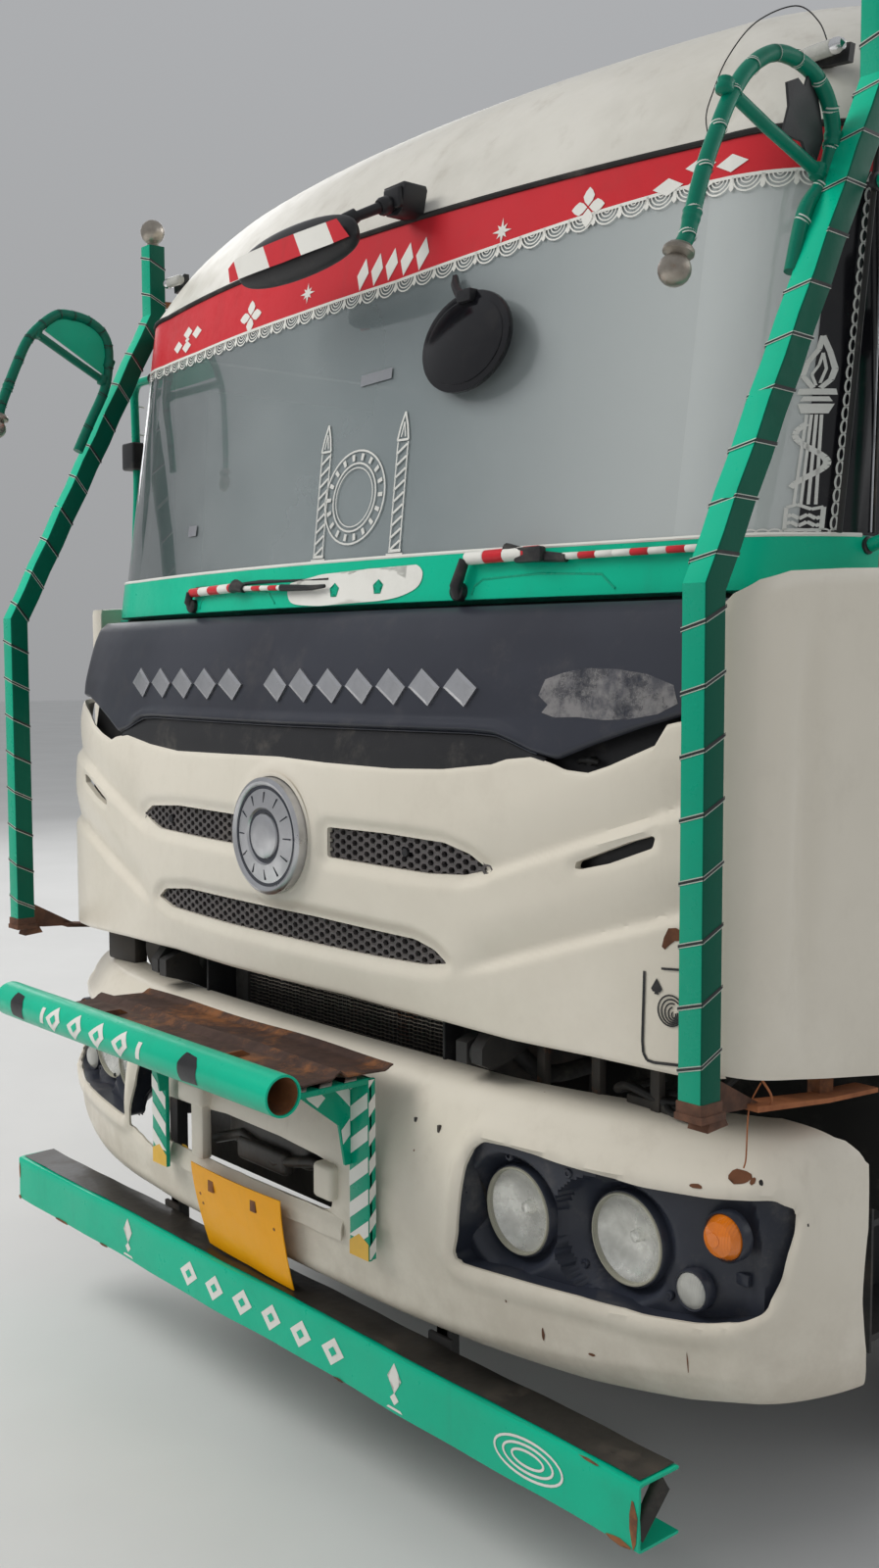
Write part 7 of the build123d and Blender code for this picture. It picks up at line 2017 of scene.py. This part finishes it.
# ------------------------------------------------------------------ cargo body: painted panels between the stakes
STAKES = [2350 + 20 + i * 655 for i in range(11)]
for s, side in ((1, "left"), (-1, "right")):
    X = s * (1225 - 34.4)
    pr, pw, py_ = [], [], []
    for i in range(10):
        y0, y1 = max(STAKES[i], 2395) + 60, STAKES[i + 1]
        yc = (y0 + y1) / 2
        w = y1 - y0
        for zc, h in ((1440, 270), (1875, 280), (2280, 260)):
            pr += [[(yc - w * 0.42, zc - h * 0.4), (yc + w * 0.42, zc - h * 0.4), (yc + w * 0.42, zc + h * 0.4), (yc - w * 0.42, zc + h * 0.4)]]
            py_ += [star(yc, zc, 8, h * 0.3, h * 0.13), diamond(yc - w * 0.3, zc, 60, 90), diamond(yc + w * 0.3, zc, 60, 90)]
            pw += ring_polys(yc, zc, h * 0.36, h * 0.36, 7, n=28)
    decal("side_panels_" + side, pr, lambda y, z: (X, y, z), RED, "chassis", 400)
    decal("side_stars_" + side, py_, lambda y, z: (X + s * 0.8, y, z), YELLOW_PAINT, "chassis", 400)
    decal("side_rings_" + side, pw, lambda y, z: (X + s * 0.8, y, z), WHITE, "chassis", 400)
    # stake caps, rope hooks and lashing rings
    hk = Bld()
    for y in STAKES:
        yy_ = max(y, 2395) + 30
        hk.tube([(s * 1240, yy_ - 18, 1216), (s * 1252, yy_ - 18, 1210), (s * 1262, yy_, 1190), (s * 1252, yy_ + 18, 1210), (s * 1240, yy_ + 18, 1216)], 6, 10)
        hk.lathe([(0, 20), (6, 20), (9, 14), (9, 0.1)], (s * 1240, yy_, 1700), (s, 0, 0), 20)
        hk.lathe([(0, 20), (6, 20), (9, 14), (9, 0.1)], (s * 1240, yy_, 2150), (s, 0, 0), 20)
    hk.make("lashing_hooks_" + side, STEEL, "chassis")
    st_ = []
    for y in STAKES:
        y0 = max(y, 2395)
        for k in range(12):
            z = 1210 + k * 106
            st_.append([(y0 + 2, z), (y0 + 58, z + 36), (y0 + 58, z + 62), (y0 + 2, z + 26)])
    decal("stake_lines_" + side, st_, lambda y, z: (s * 1240.8, y, z), WHITE, "chassis", 400)
    # planks on the side's inner face
    pk = Bld()
    for k in range(8):
        z = 1196 + k * 162
        pk.box(s * 1178, s * 1184.5, 2398, 8990, z, z + 154, 1.5, 1)
    pk.make("side_planks_" + side, FLOOR_STEEL, "chassis")
# headboard's crown over the cab
hbd = []
for k in range(9):
    hbd.append(star(-1000 + k * 250, 2590, 8, 62, 24))
    hbd.append(diamond(-1000 + k * 250 + 125, 2590, 60, 110))
decal("headboard_stars", hbd, lambda x, z: (x, 2349.2, z), YELLOW_PAINT, "chassis", 400)
decal("headboard_rail", [diamond(-1140 + k * 120, 2810, 84, 40) for k in range(20)], lambda x, z: (x, 2299.2, z), WHITE, "chassis", 400)
# tailgate ornaments, lamps
tg = []
for x0, x1 in ((-1165, -760), (-700, -270), (-210, 220), (280, 710), (770, 1165)):
    xc = (x0 + x1) / 2
    for zc in (1510, 2140):
        tg += [star(xc, zc, 8, 105, 44), diamond(xc - 130, zc, 44, 90), diamond(xc + 130, zc, 44, 90)]
decal("tailgate_stars", tg, lambda x, z: (x, 9036.8, z), YELLOW_PAINT, "tail_gate", 400)
tr_ = []
for x0, x1 in ((-1165, -760), (-700, -270), (-210, 220), (280, 710), (770, 1165)):
    xc = (x0 + x1) / 2
    for zc in (1510, 2140):
        tr_ += ring_polys(xc, zc, 122, 122, 9, n=32)
decal("tailgate_rings", tr_, lambda x, z: (x, 9036.9, z), WHITE, "tail_gate", 400)
tw = []
for x in (-1225, -760, -270, 220, 710, 1165):
    for k in range(12):
        z = 1160 + k * 108
        tw.append([(x + 2, z), (x + 58, z + 36), (x + 58, z + 62), (x + 2, z + 26)])
decal("tailgate_lines", tw, lambda x, z: (x, 9062.6, z), WHITE, "tail_gate", 400)
tl = Bld()
for s in (1, -1):
    for k, mat_ in enumerate((0, 1, 2)):
        x0 = s * (705 + k * 138)
        tl.lathe([(0, 44), (4, 47), (6, 40), (6, 0.1)], (x0 + s * 66, 8990, 710), (0, 1, 0), 32)
tl.make("tail_lamp_bezels", BLACK, "chassis")
for k, mat_ in enumerate((RED_LENS, AMBER, RED_LENS)):
    b = Bld()
    for s in (1, -1):
        b.lathe([(6, 38), (9, 34), (12, 20), (13, 0.1)], (s * (771 + k * 138), 8990, 710), (0, 1, 0), 32)
    b.make("tail_lamp_%d" % k, mat_, "chassis")
rs = []
for k in range(12):
    x = -1150 + k * 200
    p = clip([(x, 560), (x + 90, 660), (x + 180, 660), (x + 90, 560)], -1149, 1149, 561, 659)
    if p:
        rs.append(p)
decal("rear_bumper_stripes", rs, lambda x, z: (x, 8960.7, z), WHITE, "chassis", 400)
mf = Bld()
for s in (1, -1):
    mf.grid(lambda x, z: (x, 7762 + 10 * sin(x * 0.02) * (1076 - z) / 700.0, z), lin(s * 650, s * 1205, 14), lin(300, 1070, 14))
mf.make("mud_flaps", RUBBER, "chassis", solid=6)
tank = Bld()
for y in (3280, 4070):
    pts = rounded([(-1073, 417), (-507, 417), (-507, 983), (-1073, 983)], 92, 8)
    tank.tube([(x, y, z) for x, z in pts] + [(pts[0][0], y, pts[0][1])], 5, 8, cap=False)
tank.lathe([(0, 50), (18, 50), (22, 44), (22, 0.1)], (-960, 3350, 1000), (0, 0, 1), 32)
tank.make("tank_straps", STEEL, "chassis")

# ------------------------------------------------------------------ floor, light, end
fl = bmesh.new()
bmesh.ops.create_grid(fl, x_segments=8, y_segments=8, size=60.0)
fme = bpy.data.meshes.new("floor")
fl.to_mesh(fme)
fl.free()
FLOOR = NT("studio_floor", rough=0.75)
FLOOR.col(FLOOR.mix(FLOOR.step(FLOOR.noise(0.8, 4), 0.3, 0.7), (0.70, 0.70, 0.69), (0.66, 0.66, 0.65)))
fme.materials.append(FLOOR.m)
floor = bpy.data.objects.new("floor", fme)
floor.location = (0, 0, -0.001)
bpy.context.scene.collection.objects.link(floor)

world = bpy.data.worlds.new("world")
world.use_nodes = True
bg = world.node_tree.nodes["Background"]
grad = world.node_tree.nodes.new("ShaderNodeTexGradient")
wtc = world.node_tree.nodes.new("ShaderNodeTexCoord")
wmap = world.node_tree.nodes.new("ShaderNodeMapping")
wmap.inputs["Rotation"].default_value = (0, radians(90), 0)
wmap.inputs["Location"].default_value = (0.5, 0, 0)
wramp = world.node_tree.nodes.new("ShaderNodeValToRGB")
wramp.color_ramp.elements[0].color = (0.55, 0.55, 0.55, 1)
wramp.color_ramp.elements[1].color = (0.95, 0.97, 1.0, 1)
world.node_tree.links.new(wtc.outputs["Generated"], wmap.inputs["Vector"])
world.node_tree.links.new(wmap.outputs["Vector"], grad.inputs["Vector"])
world.node_tree.links.new(grad.outputs["Fac"], wramp.inputs["Fac"])
world.node_tree.links.new(wramp.outputs["Color"], bg.inputs["Color"])
bg.inputs["Strength"].default_value = 0.46
bpy.context.scene.world = world


def area(name, loc, target, size, power, colour=(1, 1, 1)):
    ld = bpy.data.lights.new(name, "AREA")
    ld.shape = "RECTANGLE"
    ld.size, ld.size_y = size
    ld.energy = power
    ld.color = colour
    lo = bpy.data.objects.new(name, ld)
    lo.location = loc
    d = Vector(target) - Vector(loc)
    lo.rotation_euler = d.to_track_quat("-Z", "Y").to_euler()
    bpy.context.scene.collection.objects.link(lo)
    return lo


key = area("key", (-5.5, -10.0, 8.5), (0.2, -4.0, 1.4), (6, 6), 820, (1.0, 0.98, 0.95))
key.visible_glossy = False
area("fill", (8.5, -9.0, 5.0), (0.4, -3.8, 1.4), (7, 6), 50, (0.95, 0.98, 1.0)).visible_glossy = False
area("back", (3.0, 11.0, 8.0), (0, 3.0, 1.5), (9, 6), 420)
area("side", (-10.0, 2.0, 6.0), (0, 0, 1.4), (9, 5), 260)
area("side2", (10.0, 3.0, 6.0), (0, 0, 1.4), (9, 5), 120)
